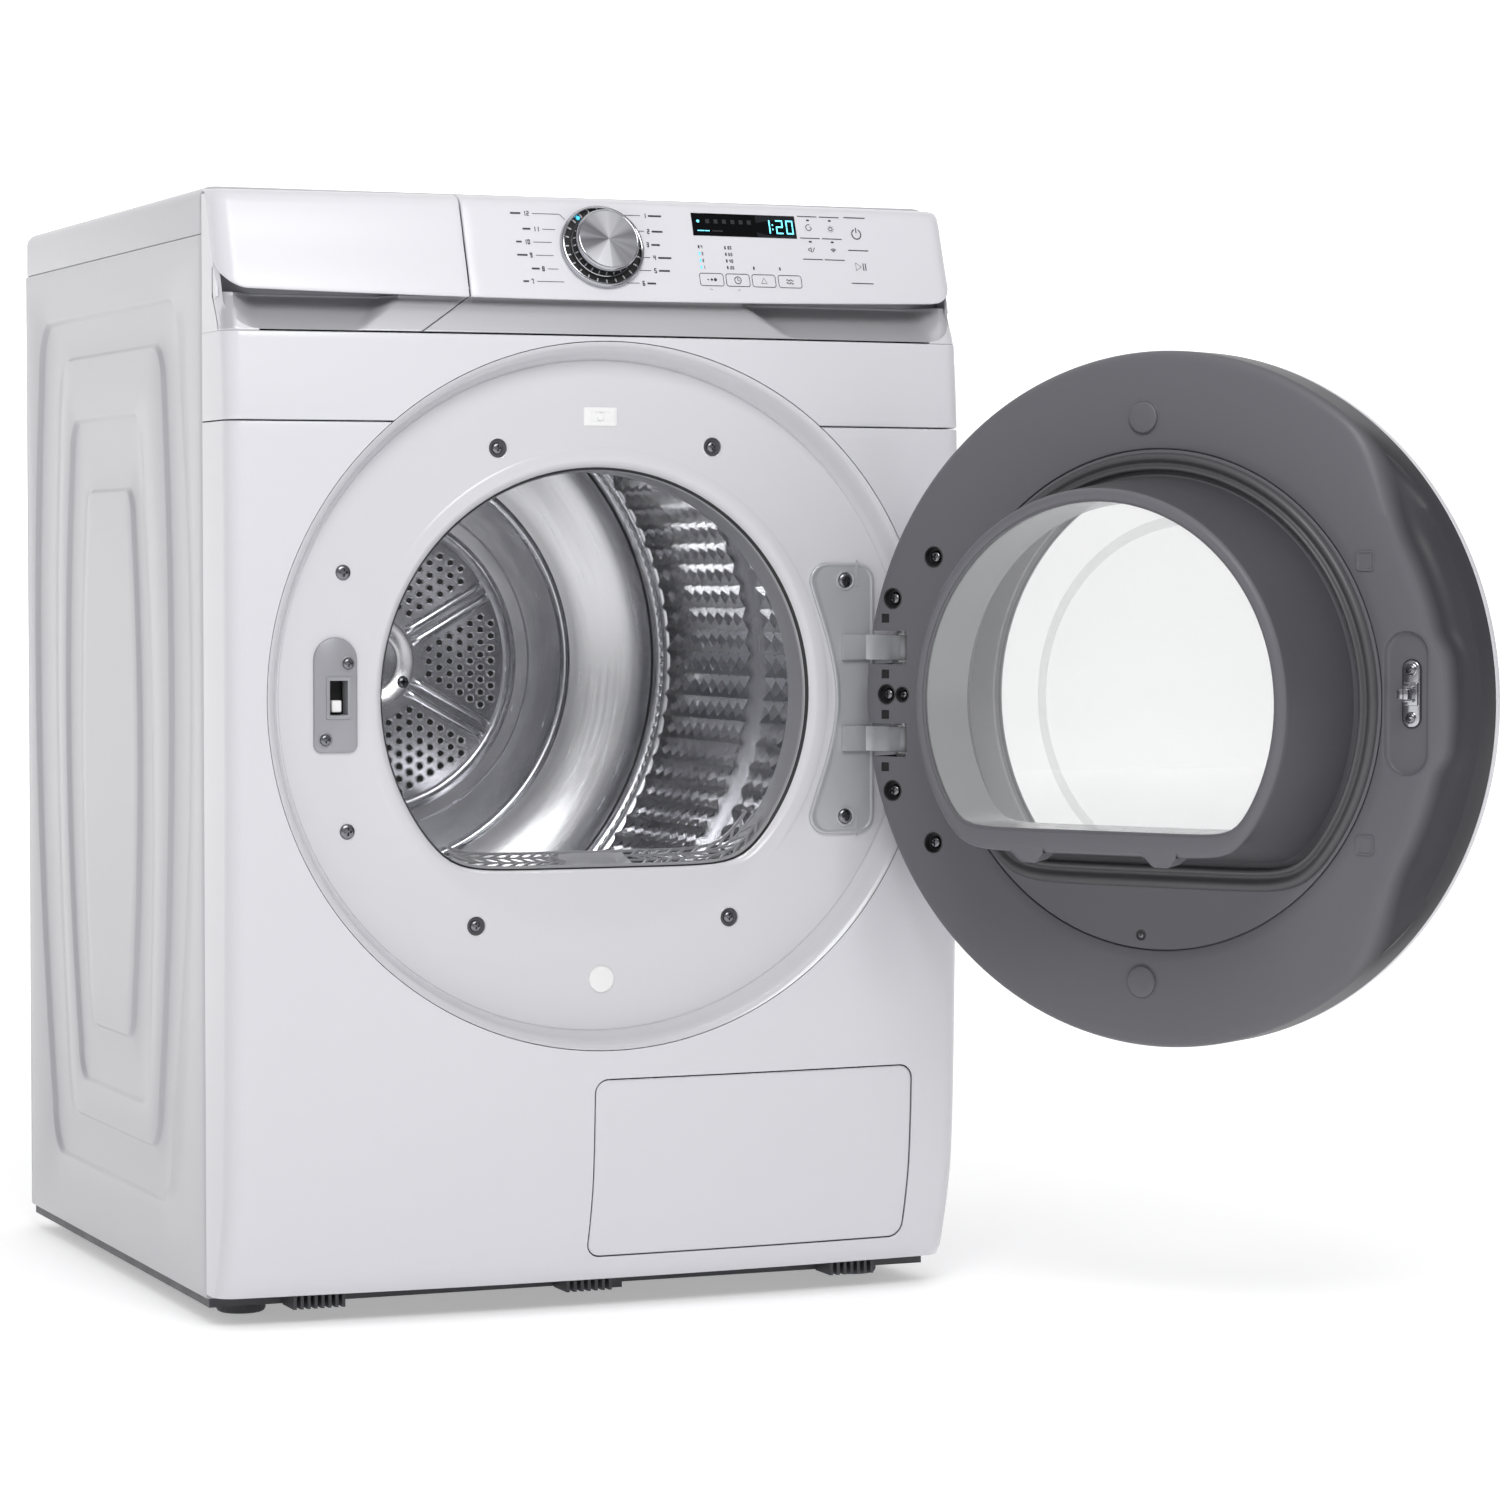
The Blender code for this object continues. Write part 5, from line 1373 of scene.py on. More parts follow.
def make_drum():
    """Drum: beads rolled into its cylinder, embossed zones, dished rear wall and its perforated centre."""
    inside = DRUM_RADIUS - 0.0012
    front, back = DRUM_LOW.y, 0.262
    profile = [(DRUM_LIP, front + 0.0002), (DRUM_LIP + 0.0008, front + 0.0035),
               (inside - 0.022, front + 0.0075), (inside - 0.006, front + 0.010),
               (inside, front + 0.0145), (inside, -0.285)]
    profile += bead(-0.275, 0.0028, 0.0050, inside) + [(inside, -0.262), (inside, -0.200)]
    profile += bead(-0.190, 0.0028, 0.0050, inside) + [(inside, -0.178), (inside, EMBOSS[0][0] + 0.0008)]
    add_zone("drum_front_zone", profile)
    for index, (start, end, columns) in enumerate(EMBOSS):
        piece = add_mesh(f"drum_emboss_{index}", *embossed_band(start, end, columns, 0.0080, inside),
                         "facet_flat", "drum", slot="drum_steel", sharp=5)
        # Painted light: each facet takes the lit, mid or shaded copy of the steel.
        for name in ("facet_light", "facet_painted_shade"):
            piece.data.materials.append(MATS[name])
        for face in piece.data.polygons:
            face.material_index = ("facet_flat", "facet_light",
                                   "facet_painted_shade").index(PAINTED_FACET_TONES[face.index % len(PAINTED_FACET_TONES)])
    strip_start, strip_end = EMBOSS[0][1], EMBOSS[1][0]
    add_zone("drum_plain_strip", [(inside, strip_start), (inside - 0.0006, strip_start + 0.003),
                                  (inside - 0.0006, strip_end - 0.003), (inside, strip_end)])
    profile = [(inside, EMBOSS[1][1])] + bead(0.2305, 0.0056, 0.0052, inside) + bead(0.2555, 0.0056, 0.0052,
            inside)
    profile += [(inside - 0.0012, back), (0.2985, back + 0.0035)]
    add_zone("drum_rear_zone", profile)
    pleats = []
    for i in range(360):
        radius = inside - (0.0022 if i % 2 else 0.0004)
        pleats.append([drum_point(radius, math.tau * i / 360, y) for y in (0.2362, 0.243, 0.2498)])
    pleats.append(pleats[0])
    add_mesh("drum_pleats", *grid(pleats), "steel", "drum", sharp=10)
    outer = [(DRUM_LIP, front), (DRUM_RADIUS - 0.004, front + 0.0075), (DRUM_RADIUS, front + 0.0145),
             (DRUM_RADIUS, 0.2625), (0.3005, 0.2680)]
    shell = add_zone("drum_outside", outer)
    settle(shell, "drum", ("drum_shell",))
    make_rear_wall()
    for index in range(3):
        make_lifter(index)


EMBOSS = ((-0.1120, -0.0340, 3), (0.0095, 0.2240, 9))
DRUM_LIP = 0.245


def add_zone(name, profile, count=168):
    """A turned part of the drum."""
    points, faces = bridge(turned_loops(profile, (0, 0, DRUM_AXIS), (0, 1, 0), count), caps=False)
    return add_mesh(name, points, faces, "drum_steel", "drum", sharp=40)


def make_rear_wall():
    """Dished rear wall: rolled bead, seam, ring, six ribs and six perforated fields."""
    inner, seam, bead = 0.148, 0.171, 0.210
    y = WALL_Y - 0.0006
    slope = lambda radius: y - 0.0050 * ramp(radius, 0.150, 0.212) - 0.0215 * ramp(radius, 0.212,
            0.298) - 0.0003
    profile = [(0.2970, slope(0.297))]
    for radius in (0.29, 0.28, 0.27, 0.26, 0.25, 0.24, 0.23, 0.222):
        profile.append((radius, slope(radius)))
    for i in range(-5, 6):
        t = i / 5
        radius = bead - 0.0055 * t
        profile.append((radius, slope(bead + 0.006) - 0.0045 * math.cos(math.pi / 2 * t) ** 0.8 + 0.0006))
    profile += [(0.200, slope(0.200)), (seam + 0.0012, slope(seam)), (seam + 0.0006, slope(seam) + 0.0014),
                (seam - 0.0006, slope(seam) + 0.0014), (seam - 0.0012, slope(seam)),
                (inner + 0.010, slope(inner)),
                (inner + 0.008, slope(inner) - 0.0034), (inner + 0.0045, slope(inner) - 0.0046),
                (inner + 0.0015, slope(inner) - 0.0026),
                (inner, y + 0.0020), (inner - 0.0025, y + 0.0016), (inner - 0.0050, y), (0.048, y),
                (0.047, y - 0.0014), (0.036, y - 0.0014), (0.034, y), (0.030, y), (0.028, y - 0.003),
                (0.020, y - 0.0050), (0.0005, y - 0.0052)]
    wall = add_mesh("rear_wall_pressed", *bridge(turned_loops(profile, (0, 0, DRUM_AXIS), (0, 1, 0), 168),
            caps=False), "drum_steel", "drum", sharp=40)
    settle(wall, "drum", ("drum_rear_wall", "drum_shaft"))
    make_ribs(y, inner)
    make_perforations(y, inner)
    for index in range(3):
        angle = math.tau * index / 3 - math.radians(30)
        place = drum_point(0.0415, angle, y - 0.0014)
        add_screw(f"hub_screw_{index}", place, (0, -1, 0), 0.0062, "drum", 0.0024)


RIB_COUNT = 6
RIB_TURN = math.radians(30)


def make_ribs(y, reach):
    """Pairs of raised bars from the hub to the ring."""
    parts = []
    for index in range(RIB_COUNT):
        angle = math.tau * index / RIB_COUNT + RIB_TURN
        along = Vector((math.cos(angle), 0, math.sin(angle)))
        across = Vector((-math.sin(angle), 0, math.cos(angle)))
        centre = Vector((0, 0, DRUM_AXIS))
        for side in (-1, 1):
            rows = []
            for distance, size in ((0.049, 0.0), (0.053, 0.7), (0.059, 1.0), (reach - 0.016, 1.0),
                                   (reach - 0.009, 0.75), (reach - 0.004, 0.0)):
                row = []
                for i in range(-6, 7):
                    t = i / 6
                    lift = 0.0042 * size * (1 - t * t) ** 0.7
                    row.append(centre + along * distance + across * (side * 0.0068 + t * 0.0052)
                               + Vector((0, y - lift + 0.0002, 0)))
                rows.append(row)
            parts.append(grid(rows))
    add_mesh("rear_wall_ribs", *join_parts(parts), "drum_steel", "drum", sharp=60)


# Holes of the rear wall: their pitch, the first row and the plain edge round each field
HOLE_PITCH = 0.0128
HOLE_ROWS_FROM = 0.042
FIELD_INNER = 0.0535
FIELD_MARGIN = 0.0185


def make_perforations(y, reach):
    """Rows of drawn holes between the ribs: a rounded collar in the lit copy of the steel, as painted
    highlight, and a black throat of painted shade each.
    """
    collars, throats = [], []
    collar = ((0.0050, 0.0), (0.0047, -0.0009), (0.0041, -0.0013), (0.0035, -0.0010), (0.0030, 0.0),
              (0.0027, 0.0002))
    throat = ((0.0030, -0.0001), (0.0001, -0.0001))
    for index in range(RIB_COUNT):
        start = math.tau * index / RIB_COUNT + RIB_TURN
        middle = start + math.pi / RIB_COUNT
        along = Vector((math.cos(middle), 0, math.sin(middle)))
        across = Vector((-math.sin(middle), 0, math.cos(middle)))
        rows = int((reach - HOLE_ROWS_FROM) / (HOLE_PITCH * 0.866))
        for row in range(rows):
            distance = HOLE_ROWS_FROM + row * HOLE_PITCH * 0.866
            for column in range(-12, 13):
                offset = (column + (0.5 if row % 2 else 0.0)) * HOLE_PITCH
                radius = math.hypot(distance, offset)
                edge = distance * math.sin(math.pi / RIB_COUNT) - abs(offset) * math.cos(math.pi
                        / RIB_COUNT)
                if radius > reach - 0.0115 or radius < FIELD_INNER or edge < FIELD_MARGIN:
                    continue
                centre = Vector((0, y, DRUM_AXIS)) + along * distance + across * offset
                for profile, store, count in ((collar, collars, 14), (throat, throats, 14)):
                    loops = []
                    for hole, height in profile:
                        loops.append([centre + Vector((hole * math.cos(math.tau * i / count), height,
                                hole * math.sin(math.tau * i / count)))
                                      for i in range(count)])
                    store.append(bridge(loops, caps=False))
    # Painted highlight on the collars; painted shade in the throats.
    add_mesh("rear_wall_collars", *join_parts(collars), "facet_light", "drum", slot="drum_steel", sharp=60)
    add_mesh("rear_wall_throats", *join_parts(throats), "hole_black", "drum", slot="drum_steel", sharp=60)


def make_lifter(index):
    """Smooth, hollow-looking paddle with rounded ends and three grooves."""
    node = f"drum_lifter_{index + 1}"
    turn = Matrix.Rotation(math.tau * index / 3 - math.radians(30), 3, "Y")
    centre = Vector((0, 0, DRUM_AXIS))
    chord = DRUM_RADIUS - 0.0047
    front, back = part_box(node)[0].y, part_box(node)[1].y
    loops = []
    steps = 28
    for k in range(steps + 1):
        t = k / steps
        y = front + (back - front) * t
        size = 0.55 + 0.45 * min(smooth(t / 0.12), smooth((1 - t) / 0.12))
        groove = 0.0012 * sum(math.exp(-((t - g) / 0.012) ** 2) for g in (0.3, 0.5, 0.7))
        loop = []
        for i in range(33):
            u = -1 + 2 * i / 32
            width = 0.0355 * size
            height = (0.0455 * size - groove) * (1 - abs(u) ** 2.3) ** 0.75 if abs(u) < 1 else 0.0
            loop.append(turn @ Vector((u * width * (1 - 0.18 * (1 - abs(u)) * abs(u)), y, -chord + height))
                        + centre)
        loops.append(loop)
    add_loops(f"lifter_{index + 1}_moulded", loops, "lifter_plastic", "drum", replaces=(node,), sharp=50)


# ---------------------------------------------------------------- lint filter

# Lattice apron: clearance to the mouth, how far it rises, where it starts and how deep it reaches
APRON_GAP = 0.0014
APRON_RISE = 0.0100
APRON_FRONT = -0.3750
APRON_DEPTH = 0.0330


def make_filter():
    """Lint filter: a lattice apron round the foot of the mouth, with a finger grip, over its mesh pocket."""
    node_low, node_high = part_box("lint_filter")
    count = 288

    chosen = [i for i in range(count) if math.sin(math.tau * (i + 0.5) / count - math.pi / 2) < -0.56]
    left = [i for i in chosen if i > count // 2
            and math.cos(math.tau * (i + 0.5) / count - math.pi / 2) > -0.70]
    right = sorted([i for i in chosen if i <= count // 2])
    order = left + right
    parts = []
    bar = 0.0011
    ring = {share: [d_shape(MOUTH_RADIUS - APRON_GAP - APRON_RISE * share,
                            MOUTH_FLOOR - APRON_GAP - APRON_RISE * share, count)[i] for i in order]
            for share in (0.0, 0.33, 0.66, 1.0)}

    def beam(a, b, width, depth):
        along = (b - a).normalized()
        side = along.cross(Vector((0, 1, 0)))
        if side.length < 0.1:
            side = along.cross(Vector((0, 0, 1)))
        side.normalize()
        over = along.cross(side).normalized()
        square = [side * width + over * depth, side * width - over * depth, -side * width - over * depth,
                  -side * width + over * depth]
        return bridge([[a + corner for corner in square], [b + corner for corner in square]])

    def spot(position, share):
        points = ring[share]
        u, v = points[position]
        return Vector((u, APRON_FRONT + APRON_DEPTH * share, AXIS + v))

    last = len(order) - 1
    grip = [k for k in range(len(order)) if abs(ring[0.0][k][0]) < 0.034]
    for share in (0.0, 0.33, 0.66, 1.0):
        for k in range(last):
            if share in (0.33, 0.66) and k in grip:
                continue
            parts.append(beam(spot(k, share), spot(k + 1, share), 0.0012 if share in (0.0, 1.0) else 0.0009,
                              0.0014))
    shares = (0.0, 0.33, 0.66, 1.0)
    step = 3
    for k in range(0, last - step, step):
        if k in grip:
            continue
        for low, high in zip(shares, shares[1:]):
            lean = step if shares.index(low) % 2 else 0
            parts.append(beam(spot(k + lean, low), spot(k + step - lean, high), bar * 0.8, 0.0013))
    add_mesh("filter_lattice", *join_parts(parts), "filter_grey", "filter", slot="grey_plastic", sharp=30)
    # Painted shade: a dark sheet under the lattice stands in for the shadow beneath it.
    bed = []
    for index in order:
        row = []
        for y in (-0.3752, -0.3595, -0.3422):
            u, v = d_shape(MOUTH_RADIUS - 0.0006, MOUTH_FLOOR - 0.0006, count)[index]
            row.append(Vector((u, y, AXIS + v)))
        bed.append(row)
    add_mesh("filter_bed", *grid(bed), "well_grey", "filter", slot="grey_plastic")
    handle = []
    for x, depth in ((-0.034, 0.0), (-0.026, 1.0), (-0.016, 0.35), (-0.012, 0.2), (0.012, 0.2),
                     (0.016, 0.35), (0.026, 1.0), (0.034, 0.0)):
        row = []
        for share in (0.0, 0.15, 0.4, 0.6, 0.85, 1.0):
            v = -(MOUTH_FLOOR - APRON_GAP - APRON_RISE * share) - 0.006 * depth * math.sin(math.pi * share)
            row.append(Vector((x, APRON_FRONT + APRON_DEPTH * share, AXIS + v)))
        handle.append(row)
    bottom = [[point + Vector((0, 0.0004, -0.0016)) for point in row] for row in handle]
    add_mesh("filter_grip", *thick(handle, bottom), "filter_grey", "filter", slot="grey_plastic", sharp=25)
    add_box("filter_pocket", (node_low.x, -0.3630, node_low.z), (node_high.x, -0.3580, 0.3860),
            "grey_plastic", "filter",
                     replaces=("lint_filter",), bevel=0.0012)
    collar = add_box("filter_collar", (node_low.x, -0.3742, 0.3850), (node_high.x, -0.3468, 0.3915),
                     "grey_plastic", bevel=0.001)
    cut(collar, add_box("pocket_mouth", (node_low.x + 0.004, -0.3722, 0.380), (node_high.x - 0.004, -0.3488,
            0.40), "hole_black"))
    settle(collar, "filter")


# ---------------------------------------------------------------- controls

BAND_TOP = 0.8885
RECESS_DEPTH = 0.024
DIAGONAL = 1.5
INK_LIFT = 0.00022


def plate_foot(x):
    """Lower edge of the fascia: slightly bowed, with rounded corners at both ends."""
    corner = max(0.0, abs(x) - (HALF_WIDTH - 0.024))
    return BAND_TOP + 0.0055 * (x / HALF_WIDTH) ** 2 + 0.024 - math.sqrt(max(0.0, 0.024**2 - corner**2))


def recess(x, z, start, end):
    """Finger pocket: it slopes back under the fascia, between a slanted end and an upright one."""
    lowest = BAND_PROFILE[0][0]
    share = min(1.0, max(0.0, (z - lowest) / (BAND_TOP - lowest)))
    slanted = ramp(abs(x) - (1 - share) * 0.036, start, start + 0.012)
    return RECESS_DEPTH * share**0.8 * slanted * (1 - ramp(abs(x), end - 0.026, end))


def make_fascia():
    """Control fascia, drawer front, and the metallic band with its two finger pockets."""
    edge = DRAWER_SEAM + SEAM / 2
    slant = lambda z: -DIAGONAL * (BAND_TOP - z)
    skin("fascia_plate", FASCIA_PROFILE, BAND_TOP, 0.981, edge, HALF_WIDTH, "fascia_white", "cabinet",
         ("control_fascia",),
         wall=FRAME_LIP, low_of=plate_foot, lip=0.0018, rows=30)
    skin("drawer_plate", FASCIA_PROFILE, BAND_TOP, 0.981, -HALF_WIDTH, edge - SEAM, "fascia_white",
         "tank_drawer", ("drawer_front",),
         wall=FRAME_LIP, low_of=plate_foot, lip=0.0018, rows=30)
    pocket = lambda x, z: recess(x, z, 0.134, 0.333)
    make_tank()
    skin("band_plate", BAND_PROFILE, 0.8585, 0.8905, edge, HALF_WIDTH, "grey_plastic", "cabinet",
         ("handle_band",), columns=90,
         dent=lambda x, z: pocket(x, z) if x > 0 else 0.0, wall=FRAME_LIP,
         ends_of=lambda z: (edge + slant(z), HALF_WIDTH), lip=0.0008)
    skin("drawer_pull_plate", BAND_PROFILE, 0.8585, 0.8905, -HALF_WIDTH, edge - SEAM, "grey_plastic",
         "tank_drawer", ("drawer_pull",),
         columns=60, dent=lambda x, z: recess(x, z, 0.185, 0.333), wall=FRAME_LIP,
         ends_of=lambda z: (-HALF_WIDTH, edge - SEAM + slant(z)), lip=0.0008)


def make_tank():
    """Water tank, open on top. It is narrower than its solid, to pass the band's slanted end."""
    tank = add_box("tank_shell", (-0.3210, -0.3350, 0.8700), (-0.1560, 0.0800, 0.9320), "tank_plastic",
                   "tank_drawer",
                   replaces=("water_tank",))
    cut(tank, add_box("tank_hollow", (-0.3185, -0.3325, 0.8725), (-0.1585, 0.0775, 0.9400), "tank_plastic"))


def on_fascia(u, v, lift=INK_LIFT):
    return Vector((u, fascia_y(u, v) - lift, v))


def stroke(points, width, closed=False):
    """A line of that width laid on the fascia, as (points, faces)."""
    line = list(points) + ([points[0]] if closed else [])
    dense = []
    for (u0, v0), (u1, v1) in zip(line, line[1:]):
        steps = max(1, int(math.hypot(u1 - u0, v1 - v0) / 0.004))
        dense += [(u0 + (u1 - u0) * i / steps, v0 + (v1 - v0) * i / steps) for i in range(steps)]
    dense.append(line[-1])
    rows = []
    last = len(dense) - 1
    for i, (u, v) in enumerate(dense):
        before = dense[i - 1] if i else (dense[-2] if closed else dense[0])
        after = dense[i + 1] if i < last else (dense[1] if closed else dense[-1])
        du, dv = after[0] - before[0], after[1] - before[1]
        length = math.hypot(du, dv) or 1.0
        side = (-dv / length * width / 2, du / length * width / 2)
        rows.append([on_fascia(u + side[0], v + side[1]), on_fascia(u - side[0], v - side[1])])
    return grid(rows)


def blot(outline, lift=INK_LIFT):
    """A filled outline laid on the fascia."""
    return [on_fascia(u, v, lift) for u, v in outline], [tuple(range(len(outline)))]


def bar(left, right, low, high, lift=INK_LIFT):
    return blot([(left, low), (right, low), (right, high), (left, high)], lift)


def arc(centre, radius, start, end, steps=24):
    turns = [math.radians(start + (end - start) * i / steps) for i in range(steps + 1)]
    return [(centre[0] + radius * math.cos(turn), centre[1] + radius * math.sin(turn)) for turn in turns]


DIGIT_STROKES = {
    "0": "abcdef", "1": "bc", "2": "abged", "3": "abgcd", "4": "fgbc", "5": "afgcd", "6": "afgedc",
    "7": "abc", "8": "abcdefg", "9": "abcdfg",
}


def digit(character, left, low, width, height, weight, lift=INK_LIFT):
    """A number drawn with up to seven bars."""
    right, high, middle = left + width, low + height, low + height / 2
    gap = weight * 0.18
    bars = {
        "a": (left + gap, right - gap, high - weight, high), "d": (left + gap, right - gap, low,
                low + weight),
        "g": (left + gap, right - gap, middle - weight / 2, middle + weight / 2),
        "f": (left, left + weight, middle + gap, high - gap), "b": (right - weight, right, middle + gap,
                high - gap),
        "e": (left, left + weight, low + gap, middle - gap), "c": (right - weight, right, low + gap,
                middle - gap),
    }
    return [bar(*bars[name], lift) for name in DIGIT_STROKES[character]]


def number(text, left, low, height, weight=None):
    """Numbers in a row, as printed on the fascia."""
    weight = weight or height * 0.19
    width = height * 0.52
    parts = []
    for index, character in enumerate(text):
        parts += digit(character, left + index * (width + height * 0.2), low, width, height, weight)
    return parts


def number_width(text, height):
    return len(text) * height * 0.52 + (len(text) - 1) * height * 0.2


LEFT_LABELS = (0.9645, 0.9507, 0.9391, 0.9274, 0.9155, 0.9042)
RIGHT_LABELS = (0.9655, 0.9515, 0.9395, 0.9280, 0.9164, 0.9048)
LEFT_STARTS = (-0.0605, -0.0530, -0.0625, -0.0618, -0.0522, -0.0635)
LEFT_ENDS = (-0.0353, -0.0409, -0.0455, -0.0453, -0.0424, -0.0386)
RIGHT_STARTS = (0.0218, 0.0325, 0.0346, 0.0329, 0.0303, 0.0193)
RIGHT_ENDS = (0.0405, 0.0421, 0.0400, 0.0450, 0.0441, 0.0315)
SWATCH = 0.0044


def make_print():
    """Printed scale round the dial, key outlines, numbers and signs."""
    parts = []
    for index, (z, start, end) in enumerate(zip(LEFT_LABELS, LEFT_STARTS, LEFT_ENDS)):
        line = [(start, z), (end, z)]
        if index == 0:
            line.append((end + 0.0045, z - 0.0048))
        parts.append(stroke(line, 0.00055))
        text = str(12 - index)
        right = start - 0.0030
        parts += number(text, right - number_width(text, SWATCH), z - SWATCH / 2, SWATCH)
        right -= number_width(text, SWATCH) + 0.0022
        parts += [bar(right - 0.0095 + 0.0022 * (index % 3), right, z - 0.0008, z + 0.0008)]
    for index, (z, start, end) in enumerate(zip(RIGHT_LABELS, RIGHT_STARTS, RIGHT_ENDS)):
        parts.append(stroke([(start, z), (end, z)], 0.00055))
        text = str(1 + index)
        parts += number(text, end + 0.0030, z - SWATCH / 2, SWATCH)
        left = end + 0.0030 + number_width(text, SWATCH) + 0.0022
        parts += [bar(left, left + 0.0125 - 0.0022 * (index % 3), z - 0.0008, z + 0.0008)]
    for left, right in ((0.1935, 0.2129), (0.2152, 0.2350)):
        for z in (0.9699, 0.9501, 0.9309):
            parts.append(stroke([(left, z), (right, z)], 0.0008))
    for left, right, z in ((0.2400, 0.2615, 0.9703), (0.2402, 0.2603, 0.9403), (0.2388, 0.2609, 0.9102)):
        parts.append(stroke([(left, z), (right, z)], 0.0009))
    power = (0.2505, 0.9553)
    parts.append(stroke(arc(power, 0.0045, 115, 425, 36), 0.0010))
    parts.append(stroke([(power[0], power[1] + 0.0012), (power[0], power[1] + 0.0058)], 0.0010))
    parts.append(stroke([(0.2455, 0.9289), (0.2455, 0.9219), (0.2510, 0.9254)], 0.0007, True))
    for x in (0.2530, 0.2553):
        parts.append(stroke([(x, 0.9221), (x, 0.9287)], 0.0009))
    for left in (0.0897, 0.1150, 0.1403, 0.1659):
        parts.append(stroke(rounded_rectangle(left, left + 0.0227, 0.9043, 0.9154, 0.0022, 4), 0.0006,
                            True))
    parts += key_signs()
    for index, text in enumerate(("4", "3", "2", "1")):
        parts += number(text, 0.0946, 0.9391 - index * 0.0061 - 0.0015, 0.0030)
    for index, text in enumerate(("80", "60", "40", "20")):
        parts += number(text, 0.1205, 0.9390 - index * 0.0060 - 0.0015, 0.0030)
    parts.append(stroke([(0.0989, 0.9022), (0.0989, 0.9008), (0.1010, 0.9008)], 0.0003))
    parts.append(stroke([(0.1270, 0.9022), (0.1270, 0.9008), (0.1249, 0.9008)], 0.0003))
    add_mesh("fascia_print", *join_parts(parts), "ink", "cabinet", slot="fascia_white")


def key_signs():
    """Plain signs on the touch keys: dots, a clock, a bell-like wedge, waves, arrows and lamp rays."""
    parts = []
    for i in range(3):
        parts.append(blot(arc((0.0975 + i * 0.0035, 0.9098), 0.0007 + 0.0004 * i, 0, 345, 15)))
    parts.append(stroke(arc((0.1263, 0.9098), 0.0031, 0, 360, 28), 0.0007))
    parts.append(stroke([(0.1263, 0.9119), (0.1263, 0.9098), (0.1279, 0.9092)], 0.0007))
    parts.append(stroke([(0.1490, 0.9076), (0.1517, 0.9123), (0.1544, 0.9076)], 0.0007, True))
    for level in (0.9084, 0.9110):
        wave = [(0.1737 + 0.0070 * i / 20, level + 0.0006 * math.sin(math.tau * i / 10)) for i in range(21)]
        parts.append(stroke(wave, 0.0007))
    parts.append(stroke(arc((0.2032, 0.9598), 0.0027, 60, 360, 24), 0.0007))
    parts.append(stroke([(0.2052, 0.9612), (0.2060, 0.9596), (0.2041, 0.9599)], 0.0004, True))
    parts.append(stroke(arc((0.2251, 0.9592), 0.0016, 0, 360, 20), 0.0007))
    for i in range(8):
        turn = math.tau * i / 8
        parts.append(stroke([(0.2251 + r * math.cos(turn), 0.9592 + r * math.sin(turn))
                             for r in (0.0024, 0.0034)], 0.0004))
    parts.append(stroke([(0.2003, 0.9388), (0.2014, 0.9388), (0.2030, 0.9374), (0.2030, 0.9418),
                         (0.2014, 0.9404), (0.2003, 0.9404)], 0.0007, True))
    parts.append(stroke([(0.2042, 0.9376), (0.2064, 0.9416)], 0.0007))
    for radius in (0.0012, 0.0024, 0.0036):
        parts.append(stroke(arc((0.2250, 0.9375), radius, 45, 135, 12), 0.0007))
    return parts


def make_lights():
    """Small dark indicator windows, three of them lit."""
    dark, lit = [], []
    for index in range(4):
        z = 0.9391 - index * 0.0061
        target = dark if index == 0 else lit
        target.append(bar(0.0920, 0.0934, z - 0.0014, z + 0.0014))
        dark.append(bar(0.1174, 0.1188, 0.9390 - index * 0.0060 - 0.0014, 0.9390 - index * 0.0060 + 0.0014))
    for x in (0.1435, 0.1690):
        dark.append(bar(x - 0.0007, x + 0.0007, 0.9198, 0.9226))
    for x, z in ((0.2033, 0.9665), (0.2252, 0.9667), (0.2031, 0.9469), (0.2250, 0.9471)):
        dark.append(bar(x - 0.0014, x + 0.0014, z - 0.0007, z + 0.0007))
    add_mesh("indicator_windows", *join_parts(dark), "hole_black", "cabinet", slot="display_glass")
    add_mesh("indicator_lights", *join_parts(lit), "led_blue", "cabinet", slot="display_glass")


def make_display():
    """Black window with a lit time, dim squares and short bars."""
    left, right, low, high = 0.0892, 0.1902, 0.9493, 0.9697
    rows, backs = [], []
    for i in range(9):
        z = low + (high - low) * i / 8
        rows.append([on_fascia(left + (right - left) * j / 24, z, 0.0004) for j in range(25)])
        backs.append([on_fascia(left + (right - left) * j / 24, z, -0.0006) for j in range(25)])
    add_mesh("display_pane", *thick(rows, backs), "display_glass", "cabinet", replaces=("display_window",))
    lift = 0.00055
    panel = bar(0.1512, 0.1896, low + 0.0004, high - 0.0004, 0.00048)
    add_mesh("display_field", *panel, "dark_glass", "cabinet", slot="display_glass")
    lit = []
    height, width, weight = 0.0125, 0.0064, 0.0012
    base = 0.9530
    lit += digit("1", 0.1620 - width + 0.0030, base, width, height, weight, lift)
    for z in (base + 0.0040, base + 0.0080):
        lit.append(bar(0.1668, 0.1680, z - 0.0007, z + 0.0007, lift))
    lit += digit("2", 0.1706, base, width + 0.0006, height, weight, lift)
    lit += digit("0", 0.1806, base, width + 0.0006, height, weight, lift)
    lit.append(blot(arc((0.0950, 0.9624), 0.0013, 0, 345, 15), lift))
    lit += [bar(0.0935, 0.1000, 0.9535, 0.9543, lift), bar(0.1006, 0.1052, 0.9535, 0.9543, lift)]
    add_mesh("display_digits", *join_parts(lit), "digits", "cabinet", slot="display_glass")
    dim = [bar(x, x + 0.0038, 0.9606, 0.9644, lift) for x in (0.1022, 0.1102, 0.1184, 0.1266, 0.1346,
            0.1426)]
    dim.append(bar(0.1080, 0.1180, 0.9533, 0.9545, lift))
    add_mesh("display_dim", *join_parts(dim), "dim_grey", "cabinet", slot="display_glass")


